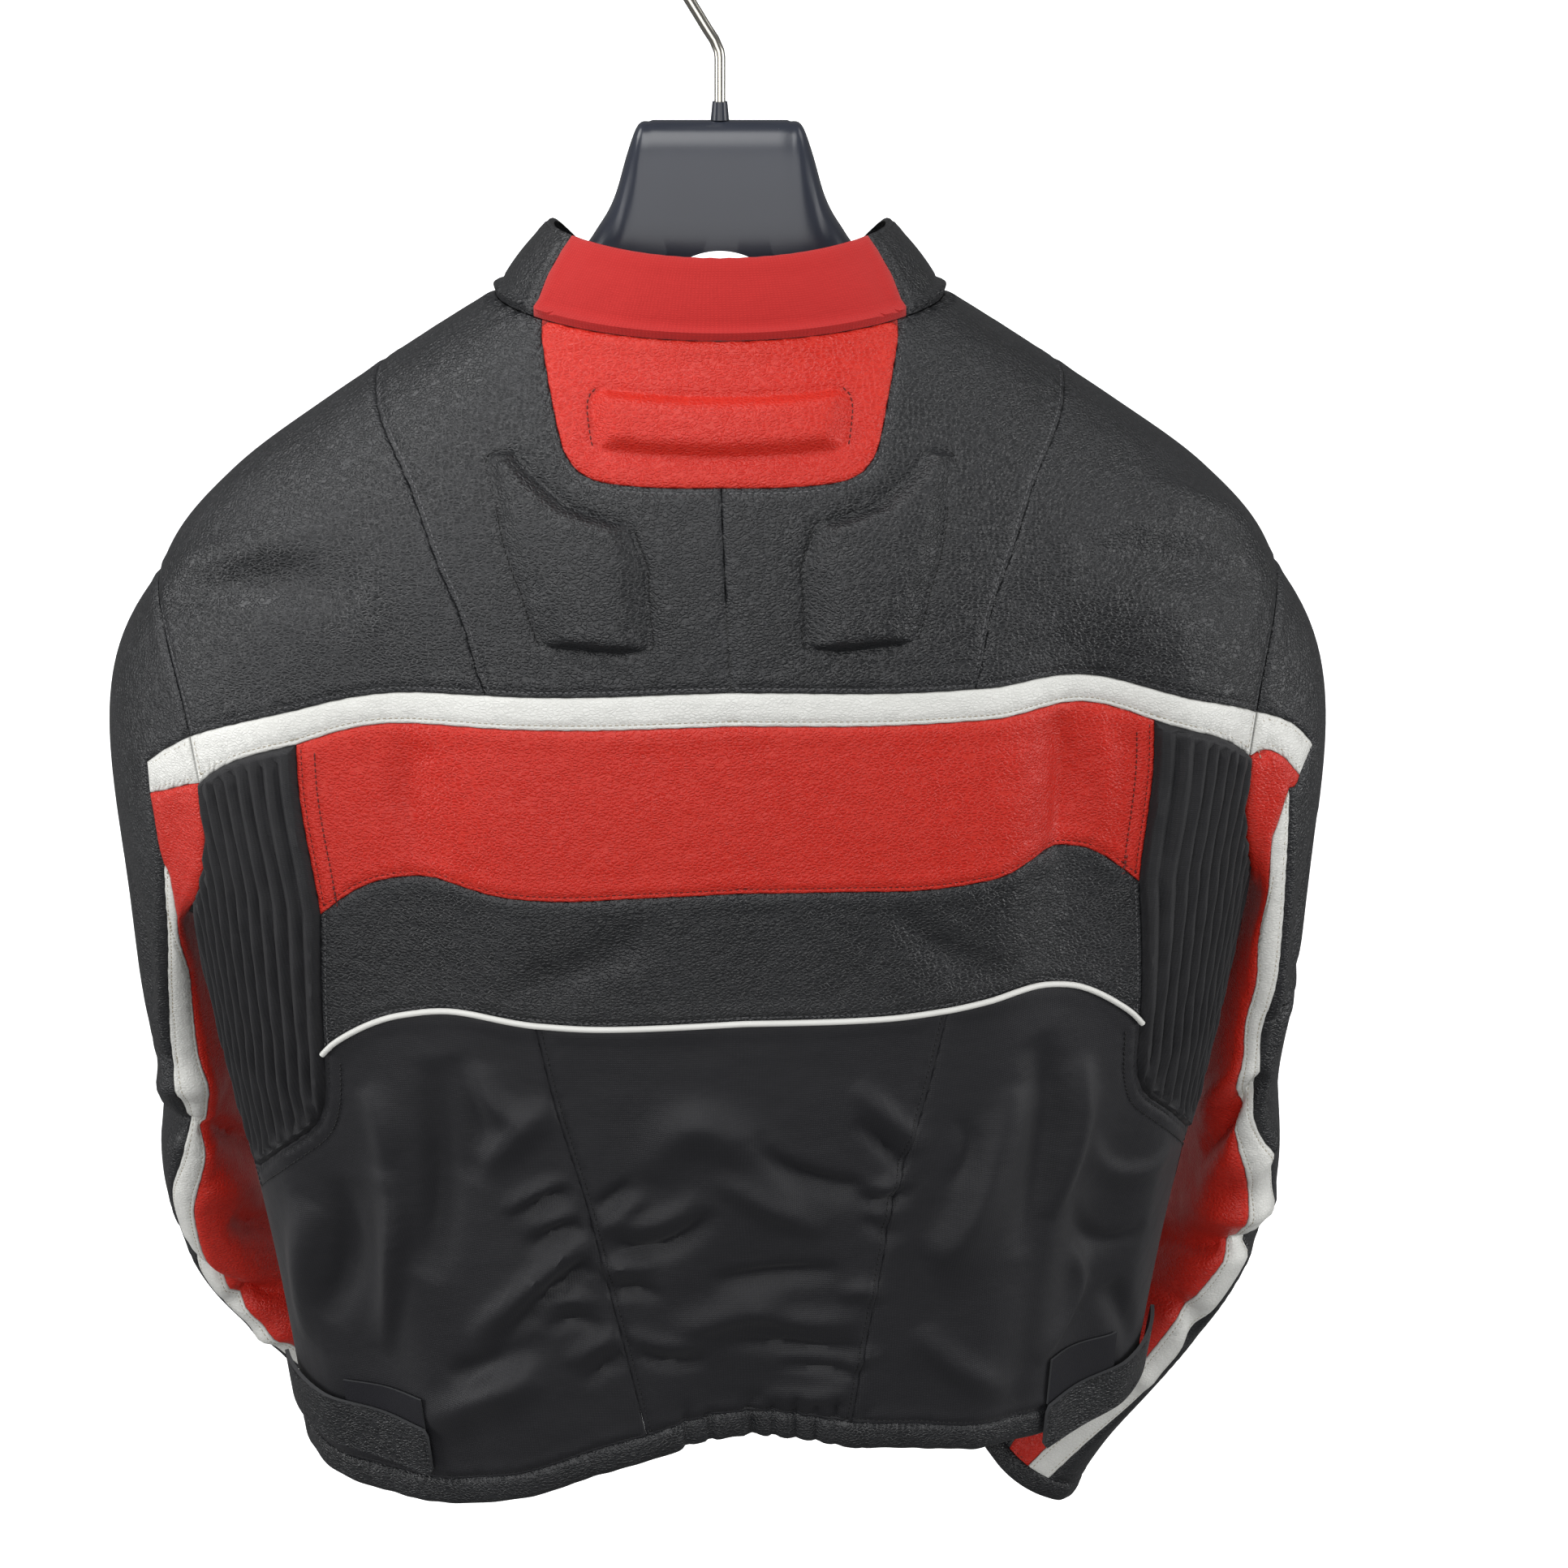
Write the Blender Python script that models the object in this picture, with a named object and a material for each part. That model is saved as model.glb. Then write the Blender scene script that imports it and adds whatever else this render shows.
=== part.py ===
"""Leather motorcycle jacket hanging on a wide moulded hanger.

The frame has its origin at the inside top of the hanger's hook, where the rod carries it. +Z is up, +Y is
the jacket's back and +X is the wearer's left. All lengths are in metres and all angles in degrees.

The torso is a smooth surface worked out from level rings, and each sleeve is a tube from the armhole to the
cuff. A place on either is given by two numbers: `around` and `down` on the torso, `around` and `along` on a
sleeve. Each cut piece is the wall between its seams on one of those surfaces, with a sewing gap all round.
"""

import math

import bmesh
import bpy
import numpy as np
from mathutils import Matrix, Vector
from mathutils.geometry import delaunay_2d_cdt

# Driving sizes
HOOK_TO_NECK = 0.197
BACK_LENGTH = 0.600
LEATHER = 0.0022
COLLAR_WALL = 0.0030
SEAM_GAP = 0.0003
COLLAR_HEIGHT = 0.046
COLLAR_SEAM_LOW = 53.0
COLLAR_SEAM_TOP = 58.0
ZIP_HALF_OPENING = 0.009
ZIP_TAPE = 0.0012
HEM_ROLL_HEIGHT = 0.0165
HEM_ROLL_BULGE = 0.0022
CUFF_ROLL_HEIGHT = 0.0140
PIPING_RADIUS = 0.0016
RIB_PITCH = 2.6
RIB_HEIGHT = 0.0026
PAD_RAISE = 0.0048
PAD_EDGE = 0.0050
PAD_CORNER = 0.0075
LAY_CLEARANCE = 0.0012
GRID = 0.023
LINE_STEP = 0.034

# Torso rings. `back_y`, `mid_y` and `front_y` are where a ring is rearmost, widest and foremost, and `twist`
# turns it about the vertical, because the jacket hangs a little askew.
# down, back_z, side_z, front_z, half_width, back_y, mid_y, front_y, squareness, twist
TORSO_RINGS = np.array([
    (0.000, 0.000, 0.010, -0.064, 0.116, 0.084, 0.000, -0.084, 2.1, 0.0),
    (0.040, -0.038, -0.018, -0.092, 0.162, 0.101, 0.000, -0.098, 2.0, 0.0),
    (0.080, -0.077, -0.047, -0.122, 0.207, 0.116, 0.000, -0.110, 2.0, 0.5),
    (0.130, -0.126, -0.083, -0.162, 0.257, 0.128, 0.004, -0.122, 2.1, 1.5),
    (0.180, -0.175, -0.123, -0.200, 0.291, 0.135, 0.010, -0.130, 2.2, 2.5),
    (0.240, -0.235, -0.190, -0.248, 0.300, 0.139, 0.020, -0.136, 2.3, 4.0),
    (0.300, -0.295, -0.268, -0.302, 0.292, 0.140, 0.028, -0.139, 2.3, 5.0),
    (0.370, -0.365, -0.352, -0.367, 0.280, 0.140, 0.030, -0.140, 2.3, 5.0),
    (0.450, -0.445, -0.440, -0.445, 0.266, 0.140, 0.030, -0.140, 2.3, 5.0),
    (0.530, -0.525, -0.525, -0.525, 0.254, 0.139, 0.026, -0.139, 2.3, 6.0),
    (0.600, -0.598, -0.600, -0.598, 0.246, 0.138, 0.022, -0.138, 2.3, 7.0),
    (0.650, -0.648, -0.650, -0.648, 0.241, 0.137, 0.020, -0.137, 2.3, 7.5),
])

# Top edge of the collar, read as a ring like those above.
# half_width, back_y, front_y, back_z, side_z, front_z, squareness, outward bow halfway up
COLLAR_TOP = (0.087, 0.067, -0.0835, 0.038, 0.047, -0.018, 2.1, 0.0025)

# Broad folds of the hanging torso: troughs are negative. `lift` pulls the cloth up within the fold.
# around, half_width, top, bottom, depth, lift
TORSO_FOLDS = (
    (34, 15, 0.12, 0.42, -0.009, 0.000),
    (-37, 14, 0.10, 0.42, -0.016, 0.005),
    (52, 13, 0.36, 0.68, -0.010, 0.000),
    (-50, 13, 0.36, 0.68, -0.012, 0.000),
    (0, 12, 0.45, 0.75, -0.010, 0.000),
    (26, 9, 0.42, 0.72, 0.006, 0.000),
    (-27, 9, 0.42, 0.72, 0.006, 0.000),
    (128, 13, 0.22, 0.70, -0.010, 0.000),
    (-131, 14, 0.20, 0.68, -0.011, 0.000),
    (152, 11, 0.30, 0.72, 0.006, 0.000),
    (-156, 11, 0.28, 0.72, 0.006, 0.000),
)

# The armhole is an oval on the torso: around 0 is its top, 90 its rear and 180 the armpit.
ARMHOLE_AROUND = 92.0
ARMHOLE_DOWN = 0.262
ARMHOLE_HALF_WIDTH = 27.0
ARMHOLE_HALF_HEIGHT = 0.072
ARMHOLE_LIFT = 0.0006

# Level sections of each sleeve below the armpit, with x outward from the middle of the back.
# along, x, y, z, half_thickness, half_depth
SLEEVE_SECTIONS = {
    "left": np.array([
        (0.150, 0.309, -0.052, -0.360, 0.025, 0.087),
        (0.230, 0.303, -0.070, -0.440, 0.026, 0.084),
        (0.320, 0.307, -0.090, -0.528, 0.029, 0.078),
        (0.385, 0.295, -0.106, -0.590, 0.030, 0.072),
        (0.460, 0.255, -0.123, -0.655, 0.031, 0.066),
        (0.560, 0.196, -0.138, -0.735, 0.031, 0.062),
    ]),
    "right": np.array([
        (0.150, 0.308, -0.054, -0.360, 0.025, 0.087),
        (0.230, 0.303, -0.072, -0.440, 0.026, 0.084),
        (0.320, 0.308, -0.090, -0.528, 0.029, 0.078),
        (0.390, 0.293, -0.102, -0.597, 0.030, 0.072),
        (0.470, 0.254, -0.108, -0.668, 0.031, 0.066),
        (0.520, 0.222, -0.109, -0.711, 0.034, 0.063),
        (0.570, 0.194, -0.108, -0.757, 0.037, 0.060),
    ]),
}
SHOULDER_RUN = 0.150
CAP_BULGE = 0.022
SIDE_BULGE = 0.007
REAR_BULGE = 0.006
SHOULDER_EASE = 0.030
CUFF_ALONG = {"left": 0.545, "right": 0.555}
ELBOW_ALONG = {"left": 0.190, "right": 0.165}

# Seams of the torso's left half, as (around, down). The right half mirrors them.
TORSO_SEAMS = {
    "neck_back": ((0, 0), (49, 0)),
    "neck_corner": ((49, 0), (COLLAR_SEAM_LOW, 0)),
    "neck_side": ((COLLAR_SEAM_LOW, 0), (96, 0)),
    "neck_panel_edge": (
        (49, 0), (39, 0.018), (32.5, 0.034), (27.5, 0.050), (24.5, 0.060), (20.5, 0.068), (15, 0.0705),
        (0, 0.0695),
    ),
    "centre_back": ((0, 0.0695), (0, 0.170)),
    "band_top_inner": ((0, 0.170), (7, 0.172), (22.5, 0.180)),
    "princess": ((22.5, 0.180), (30, 0.136), (46, 0.090), (70, 0.062), (92, 0.052), (100, 0.050)),
    "shoulder_inner": ((96, 0), (100, 0.050)),
    "shoulder_outer": ((100, 0.050), (103, 0.120), (105.5, 0.19965)),
    "band_low_inner": ((0, 0.187), (7, 0.189), (22, 0.196), (31.5, 0.203), (38, 0.212), (45, 0.226)),
    "red_end": ((45, 0.226), (45, 0.304)),
    "red_low": (
        (0, 0.275), (8, 0.277), (15, 0.280), (22, 0.280), (29.5, 0.277), (35.5, 0.282), (40, 0.290),
        (45, 0.304),
    ),
    "black_end": ((45, 0.304), (48.5, 0.377)),
    "piping_inner": ((0, 0.346), (12, 0.348), (19, 0.347)),
    "piping_outer": ((19, 0.347), (28, 0.344), (35, 0.349), (40, 0.356), (45.5, 0.368), (48.5, 0.377)),
    "stretch_low": ((48.5, 0.377), (50.5, 0.402), (54, 0.420), (60, 0.434), (68, 0.449), (76.5, 0.462)),
}
BAND_TOP_OUTER = ((22.5, 0.180), (31, 0.187), (38, 0.197), (46, 0.212), (55, 0.227))
BAND_LOW_OUTER = ((45, 0.226), (55, 0.243))
STRETCH_OUTER = ((76.5, 0.462), (80, 0.416), (81, 0.360))
LOWER_SEAM = ((19, 0.347), (17.5, 0.395), (15, 0.450), (13.5, 0.500), (12, 0.545))
SIDE_SEAM_LOW = (101, 0.450)
LOWER_SEAM_HEM = 10.5
SIDE_SEAM_HEM = 103.0

# Where torso seams end on the armhole.
ARMHOLE_BAND_TOP = 75
ARMHOLE_BAND_LOW = 90
ARMHOLE_STRETCH = 150
ARMHOLE_SIDE_SEAM = 195
ARMHOLE_SHOULDER = 330

# Lower edge of the torso's panels, above the rolled hem, for the whole way round.
# around, down
HEM_LINE = np.array([
    (-180, 0.595), (-140, 0.598), (-103, 0.609), (-60, 0.611), (-40, 0.605), (-20, 0.596), (-5, 0.587),
    (0, 0.584), (10.5, 0.590), (20, 0.602), (34, 0.618), (60, 0.623), (103, 0.615), (140, 0.601), (180, 0.595),
], dtype=float)

# Both edges of the stripe down the rear of each sleeve, below the seam where it starts.
# along, outer edge, inner edge
STRIPE = {
    "left": np.array([
        (0.0575, 86, 112), (0.070, 88, 113), (0.100, 91, 118), (0.130, 91, 121), (0.155, 90, 117),
        (0.190, 83, 110), (0.235, 87, 108), (0.265, 82, 106), (0.300, 62, 90), (0.340, 54, 80),
        (0.400, 56, 80), (0.460, 64, 88), (0.560, 84, 106),
    ]),
    "right": np.array([
        (0.0425, 72, 100), (0.054, 76, 107), (0.075, 80, 120), (0.100, 81, 118), (0.135, 84, 109),
        (0.170, 92, 112), (0.200, 86, 104), (0.235, 86, 110), (0.270, 68, 96), (0.310, 56, 88),
        (0.340, 54, 88), (0.400, 66, 96), (0.460, 66, 94), (0.570, 90, 108),
    ]),
}
STRIPE_TOP = {
    "left": ((86, 0.0575), (95, 0.060), (104, 0.064), (113, 0.070)),
    "right": ((72, 0.0425), (82, 0.0445), (92, 0.0475), (107, 0.054)),
}
# The sleeve's band runs on from the torso's, over the rear to the outer panel.
SLEEVE_BAND_TOP = {
    "left": ((75, 0.0), (71, 0.010), (66, 0.022), (61, 0.034)),
    "right": ((75, 0.0), (59, 0.0265), (52.5, 0.0385), (46, 0.050)),
}
SLEEVE_BAND_LOW = {
    "left": ((90, 0.0), (77, 0.026), (67.5, 0.041)),
    "right": ((90, 0.0), (76, 0.0185), (62, 0.0475)),
}
RED_FOLD = {
    "left": ((67.5, 0.041), (74.5, 0.0465), (81.5, 0.0545), (86, 0.0575)),
    "right": ((62, 0.0475), (66, 0.0480), (72, 0.0425)),
}
RED_INNER_TOP = 150.0
RED_INNER_CUFF = 130.0
OUTER_FRONT = 285.0

# Raised shapes, as corners (around, down).
NECK_PAD = ((-26, 0.026), (26, 0.026), (20, 0.0555), (-20, 0.0555))
YOKE_PAD = (
    (37, 0.067), (33, 0.0625), (28, 0.072), (21, 0.083), (12, 0.089), (9, 0.108), (7, 0.149), (10, 0.152),
    (18, 0.152), (22, 0.127), (30.5, 0.089),
)

# Waist straps: free end nearest the back, fixed end at the side. The right strap hangs a little lower.
# side, around at free end, around at fixed end, down of middle at free end, at fixed end
STRAPS = (("left", 41.5, 84.0, 0.603, 0.592), ("right", 40.5, 84.0, 0.614, 0.598))
STRAP_WIDTH = 0.028
STRAP_THICK = 0.0022
PATCH_WIDTH = 0.028
PATCH_THICK = 0.0012
PATCH_REACH = 19.0
PATCH_DOWN = 0.587

# Hanger, as sections across its width. `taper` narrows a section's top.
# across, top, bottom, half_depth, taper
HANGER_SECTIONS = np.array([
    (0.0000, 0.0960, -0.040, 0.031, 0.42),
    (0.0340, 0.0955, -0.040, 0.031, 0.42),
    (0.0425, 0.0920, -0.040, 0.031, 0.42),
    (0.0470, 0.0800, -0.041, 0.031, 0.40),
    (0.0530, 0.0600, -0.042, 0.031, 0.36),
    (0.0640, 0.0400, -0.044, 0.031, 0.30),
    (0.0800, 0.0200, -0.048, 0.031, 0.22),
    (0.1020, 0.0000, -0.054, 0.032, 0.15),
    (0.1350, -0.0220, -0.066, 0.034, 0.10),
    (0.1700, -0.0440, -0.084, 0.036, 0.08),
    (0.2000, -0.0640, -0.104, 0.036, 0.08),
    (0.2150, -0.0760, -0.110, 0.032, 0.08),
    (0.2220, -0.0870, -0.108, 0.022, 0.08),
])
HANGER_RING = 16
HANGER_HOLE_Z = 0.010
HANGER_HOLE_HALF_WIDTH = 0.030
HANGER_HOLE_HALF_HEIGHT = 0.024
HANGER_RECESS_MARGIN = 0.008
HANGER_RECESS_DEPTH = 0.005
BOSS_HEIGHT = 0.009
BOSS_LOW_RADIUS = 0.0047
BOSS_TOP_RADIUS = 0.0038
HOOK_WIRE = 0.00275
HOOK_STRAIGHT_TOP = 0.133
HOOK_LEAN = 34.0
HOOK_RADIUS = 0.024
HOOK_CENTRE = 0.17575
HOOK_END = 212.0

# Zip slider and its pull, near the top of the collar at the front.
SLIDER_UP = 0.034
SLIDER_SIZE = (0.011, 0.0025, 0.014)
SLIDER_LIFT = 0.0010
LUG_SIZE = (0.0012, 0.0040, 0.0040)
LUG_APART = 0.0072
PIN_RADIUS = 0.0009
PIN_LIFT = 0.0027
PULL_BARREL = 0.0021
PULL_HOLE = 0.00125
PULL_SIZE = (0.0054, 0.0018, 0.024)
PULL_EYE_WIDTH = 0.0054

# name: colour, roughness, metallic
MATERIALS = {
    "black_leather": ((0.025, 0.026, 0.029), 0.45, 0.0),
    "red_leather": ((0.66, 0.045, 0.028), 0.45, 0.0),
    "white_leather": ((0.80, 0.79, 0.76), 0.45, 0.0),
    "red_knit": ((0.56, 0.016, 0.014), 0.85, 0.0),
    "stretch_textile": ((0.020, 0.020, 0.023), 0.85, 0.0),
    "nylon_textile": ((0.013, 0.013, 0.019), 0.70, 0.0),
    "white_piping": ((0.82, 0.82, 0.80), 0.40, 0.0),
    "hook_and_loop": ((0.016, 0.016, 0.018), 0.95, 0.0),
    "zip_tape": ((0.018, 0.018, 0.020), 0.80, 0.0),
    "zip_metal": ((0.35, 0.35, 0.36), 0.30, 1.0),
    "hanger_plastic": ((0.042, 0.048, 0.062), 0.25, 0.0),
    "hook_steel": ((0.62, 0.60, 0.57), 0.28, 1.0),
}


# Surfaces

def read_rows(rows, at):
    """The columns after the first, at these values of the first, on a smooth curve through the rows."""
    keys, values = rows[:, 0], rows[:, 1:]
    at = np.clip(np.asarray(at, float), keys[0], keys[-1])
    low = np.clip(np.searchsorted(keys, at, side="right") - 1, 0, len(keys) - 2)
    step = (keys[low + 1] - keys[low])[..., None]
    t = (at - keys[low])[..., None] / step
    slope = np.gradient(values, keys, axis=0)
    rise = values[low] * (2 * t**3 - 3 * t**2 + 1) + values[low + 1] * (3 * t**2 - 2 * t**3)
    return rise + step * (slope[low] * (t**3 - 2 * t**2 + t) + slope[low + 1] * (t**3 - t**2))


def ease(x):
    """x where it is positive and 0 where it is negative, with the corner rounded off."""
    rounded = (x + SHOULDER_EASE) ** 2 / (4 * SHOULDER_EASE)
    return np.where(x > SHOULDER_EASE, x, np.where(x < -SHOULDER_EASE, 0, rounded))


def swell(x):
    """1 at 0, falling smoothly to 0 at -1 and 1."""
    return (1 - np.clip(x, -1, 1) ** 2) ** 2


def signed_power(value, power):
    return np.sign(value) * np.abs(value) ** power


def torso(places):
    """Points of the torso at (around, down)."""
    around, down = np.asarray(places, float).T
    ring = read_rows(TORSO_RINGS, down)
    back_z, side_z, front_z, half, back_y, mid_y, front_y, square, twist = ring.T
    sine, cosine = np.sin(np.radians(around)), np.cos(np.radians(around))
    x = half * signed_power(sine, 2 / square)
    y = mid_y + np.where(cosine > 0, back_y - mid_y, mid_y - front_y) * signed_power(cosine, 2 / square)
    end_z = np.where(cosine > 0, back_z, front_z)
    z = end_z + (side_z - end_z) * sine**2
    for middle, half_width, top, bottom, depth, lift in TORSO_FOLDS:
        reach = swell((around - middle) / half_width) * swell((2 * down - top - bottom) / (bottom - top))
        x = x + depth * reach * sine
        y = y + depth * reach * cosine
        z = z + lift * reach
    turn = np.radians(twist)
    return np.stack([
        x * np.cos(turn) - y * np.sin(turn), x * np.sin(turn) + y * np.cos(turn), z - HOOK_TO_NECK
    ], axis=-1)


def collar(places):
    """Points of the collar at (around, down), where down is 0 at the neck seam and negative above it."""
    around, down = np.asarray(places, float).T
    rise = -down / COLLAR_HEIGHT
    half, back_y, front_y, back_z, side_z, front_z, square, bow = COLLAR_TOP
    sine, cosine = np.sin(np.radians(around)), np.cos(np.radians(around))
    low = torso(np.stack([around, np.zeros_like(around)], axis=-1))
    end_z = np.where(cosine > 0, back_z, front_z)
    top = np.stack([
        half * signed_power(sine, 2 / square),
        np.where(cosine > 0, back_y, -front_y) * signed_power(cosine, 2 / square),
        end_z + (side_z - end_z) * sine**2 - HOOK_TO_NECK,
    ], axis=-1)
    out = np.stack([sine, cosine, np.zeros_like(sine)], axis=-1)
    return low + (top - low) * rise[:, None] + out * (bow * np.sin(np.pi * np.clip(rise, 0, 1)))[:, None]


def zip_around(across, down):
    """The angle on the torso where the front is this far across from the middle."""
    ring = read_rows(TORSO_RINGS, np.maximum(down, 0)).T
    half = ring[3] + (COLLAR_TOP[0] - ring[3]) * np.clip(-down / COLLAR_HEIGHT, 0, 1)
    sine = np.clip(np.abs(across) / half, 0, 1) ** (ring[7] / 2)
    return np.where(across < 0, -1, 1) * (180 - np.degrees(np.arcsin(sine)))


def zip_strip(places):
    """Points of the front opening at (across, down), on the collar above the neck seam and the torso below."""
    across, down = np.asarray(places, float).T
    around = zip_around(across, down)
    on_torso = torso(np.stack([around, np.maximum(down, 0)], axis=-1))
    on_collar = collar(np.stack([around, np.minimum(down, 0)], axis=-1))
    return np.where(down[:, None] < 0, on_collar, on_torso)


def armhole(around):
    """Places on the torso, as (around, down), of the left armhole's seam."""
    angle = np.radians(around)
    return np.stack([
        ARMHOLE_AROUND - ARMHOLE_HALF_WIDTH * np.sin(angle), ARMHOLE_DOWN - ARMHOLE_HALF_HEIGHT * np.cos(angle)
    ], axis=-1)


def sleeve_oval(rows, around, along):
    """Points of a left-hand sleeve below the armpit."""
    section = read_rows(rows, along)
    centre, half_thick, half_depth = section[:, :3], section[:, 3:4], section[:, 4:5]
    run = read_rows(rows, along + 0.01)[:, :3] - read_rows(rows, along - 0.01)[:, :3]
    run = run / np.linalg.norm(run, axis=1, keepdims=True)
    rear = np.array([0, 1, 0]) - run * run[:, 1:2]
    rear = rear / np.linalg.norm(rear, axis=1, keepdims=True)
    out = np.cross(run, rear)
    cosine, sine = np.cos(np.radians(around))[:, None], np.sin(np.radians(around))[:, None]
    return centre + out * half_thick * signed_power(cosine, 0.85) + rear * half_depth * signed_power(sine, 0.9)


def sleeve_of(side):
    """The surface of one sleeve, as a function of (around, along)."""
    mirror = 1 if side == "left" else -1
    rows = SLEEVE_SECTIONS[side]

    def sleeve(places):
        around, along = np.asarray(places, float).T
        below = np.minimum(SHOULDER_RUN + ease(along - SHOULDER_RUN), rows[-1, 0] - 0.0101)
        point = sleeve_oval(rows, around, below)
        point[:, 2] -= HOOK_TO_NECK
        point[:, 0] *= mirror
        seam = armhole(around)
        seam[:, 0] *= mirror
        start = torso(seam)
        start[:, 0] += mirror * ARMHOLE_LIFT
        share = np.clip(1 - ease(SHOULDER_RUN - along) / SHOULDER_RUN, 0, 1)
        cap = np.maximum(0, np.cos(np.radians(around)))
        under = (1 - np.cos(np.radians(around))) / 2
        rear = swell((np.mod(around, 360) - 110) / 70)
        bulge = CAP_BULGE * cap + SIDE_BULGE * under + REAR_BULGE * rear
        bulge = bulge * np.sin(np.pi * share * (1.6 - 0.6 * share))
        joined = start + (point - start) * share[:, None]
        joined[:, 0] += mirror * bulge
        joined[:, 2] += 0.4 * bulge * cap
        return joined

    return sleeve


def steps_of(surface, places):
    """How far, and which way, a surface's point moves for one unit of each number."""
    u_step, v_step = np.array([0.01, 0]), np.array([0, 1e-5])
    along_u = (surface(places + u_step) - surface(places - u_step)) / 0.02
    along_v = (surface(places + v_step) - surface(places - v_step)) / 2e-5
    return along_u, along_v


def normals_of(surface, places, outward):
    along_u, along_v = steps_of(surface, places)
    normal = np.cross(along_u, along_v) * outward
    return normal / np.linalg.norm(normal, axis=1, keepdims=True)


# Seams

def smooth_seam(surface, rows, spacing=GRID):
    """Evenly spaced places on a smooth curve through a seam's rows, with both its ends."""
    rows = np.asarray(rows, float)
    if len(rows) == 2:
        fine = rows[0] + (rows[1] - rows[0]) * np.linspace(0, 1, 41)[:, None]
    else:
        keys = np.arange(len(rows), dtype=float)
        fine = read_rows(np.column_stack([keys, rows]), np.linspace(0, len(rows) - 1, 20 * len(rows)))
    length = np.concatenate([[0], np.cumsum(np.linalg.norm(np.diff(surface(fine), axis=0), axis=1))])
    at = np.linspace(0, length[-1], max(1, round(length[-1] / spacing)) + 1)
    even = np.stack([np.interp(at, length, fine[:, 0]), np.interp(at, length, fine[:, 1])], axis=-1)
    even[0], even[-1] = rows[0], rows[-1]
    return even


def hem_down(around):
    return read_rows(HEM_LINE, around)[..., 0]


def hem_stretch(start, end, spacing=GRID):
    """Places along the hem line from one angle to another."""
    around = np.linspace(start, end, 60)
    return smooth_seam(torso, np.column_stack([around, hem_down(around)]), spacing)


def armhole_stretch(start, end, mirror):
    """Places along the armhole, one each 15 degrees of it."""
    places = armhole(np.arange(start, end + 1, 15, dtype=float))
    places[:, 0] *= mirror
    return places


def torso_seams():
    """Every seam of the torso and collar by name, with .left or .right after it."""
    seams = {}
    for side, mirror in (("left", 1), ("right", -1)):
        rows = dict(TORSO_SEAMS)
        rows["band_top_outer"] = (*BAND_TOP_OUTER, tuple(armhole(float(ARMHOLE_BAND_TOP))))
        rows["band_low_outer"] = (*BAND_LOW_OUTER, tuple(armhole(float(ARMHOLE_BAND_LOW))))
        rows["stretch_outer"] = (*STRETCH_OUTER, tuple(armhole(float(ARMHOLE_STRETCH))))
        rows["shoulder_outer"] = (*rows["shoulder_outer"][:2], tuple(armhole(float(ARMHOLE_SHOULDER))))
        side_hem = float(hem_down(mirror * SIDE_SEAM_HEM))
        rows["side_seam"] = (tuple(armhole(float(ARMHOLE_SIDE_SEAM))), SIDE_SEAM_LOW, (SIDE_SEAM_HEM, side_hem))
        lower_hem = float(hem_down(mirror * LOWER_SEAM_HEM))
        rows["lower_seam"] = (*LOWER_SEAM, (LOWER_SEAM_HEM, lower_hem))
        for name, line in rows.items():
            seams[f"{name}.{side}"] = smooth_seam(torso, np.array(line) * (mirror, 1))
        zip_hem = float(hem_down(zip_around(mirror * ZIP_HALF_OPENING, BACK_LENGTH)))
        down = np.linspace(0, zip_hem, 30)
        across = np.full_like(down, mirror * ZIP_HALF_OPENING)
        seams[f"zip.{side}"] = np.column_stack([zip_around(across, down), down])
        zip_top = float(zip_around(mirror * ZIP_HALF_OPENING, 0.0))
        seams[f"neck_front.{side}"] = smooth_seam(torso, ((mirror * 96, 0), (zip_top, 0)))
        up = np.linspace(0, -COLLAR_HEIGHT, 4)
        across = np.full_like(up, mirror * ZIP_HALF_OPENING)
        seams[f"collar_front.{side}"] = np.column_stack([zip_around(across, up), up])
        collar_front_top = float(seams[f"collar_front.{side}"][-1, 0])
        low, top = mirror * COLLAR_SEAM_LOW, mirror * COLLAR_SEAM_TOP
        seams[f"collar_seam.{side}"] = smooth_seam(collar, ((low, 0), (top, -COLLAR_HEIGHT)), COLLAR_HEIGHT / 3)
        seams[f"collar_back_top.{side}"] = smooth_seam(collar, ((0, -COLLAR_HEIGHT), (top, -COLLAR_HEIGHT)))
        seams[f"collar_side_top.{side}"] = smooth_seam(
            collar, ((top, -COLLAR_HEIGHT), (collar_front_top, -COLLAR_HEIGHT))
        )
        seams[f"hem_front.{side}"] = hem_stretch(seams[f"zip.{side}"][-1, 0], mirror * SIDE_SEAM_HEM)
        seams[f"hem_front.{side}"][0] = seams[f"zip.{side}"][-1]
        seams[f"hem_side.{side}"] = hem_stretch(mirror * SIDE_SEAM_HEM, mirror * LOWER_SEAM_HEM)
        seams[f"hem_back.{side}"] = hem_stretch(mirror * LOWER_SEAM_HEM, 0)
        for name, start, end in (
            ("armhole_top", ARMHOLE_SHOULDER - 360, ARMHOLE_BAND_TOP),
            ("armhole_band", ARMHOLE_BAND_TOP, ARMHOLE_BAND_LOW),
            ("armhole_stretch", ARMHOLE_BAND_LOW, ARMHOLE_STRETCH),
            ("armhole_low", ARMHOLE_STRETCH, ARMHOLE_SIDE_SEAM),
            ("armhole_front", ARMHOLE_SIDE_SEAM, ARMHOLE_SHOULDER),
        ):
            seams[f"{name}.{side}"] = armhole_stretch(start, end, mirror)
    return seams


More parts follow.
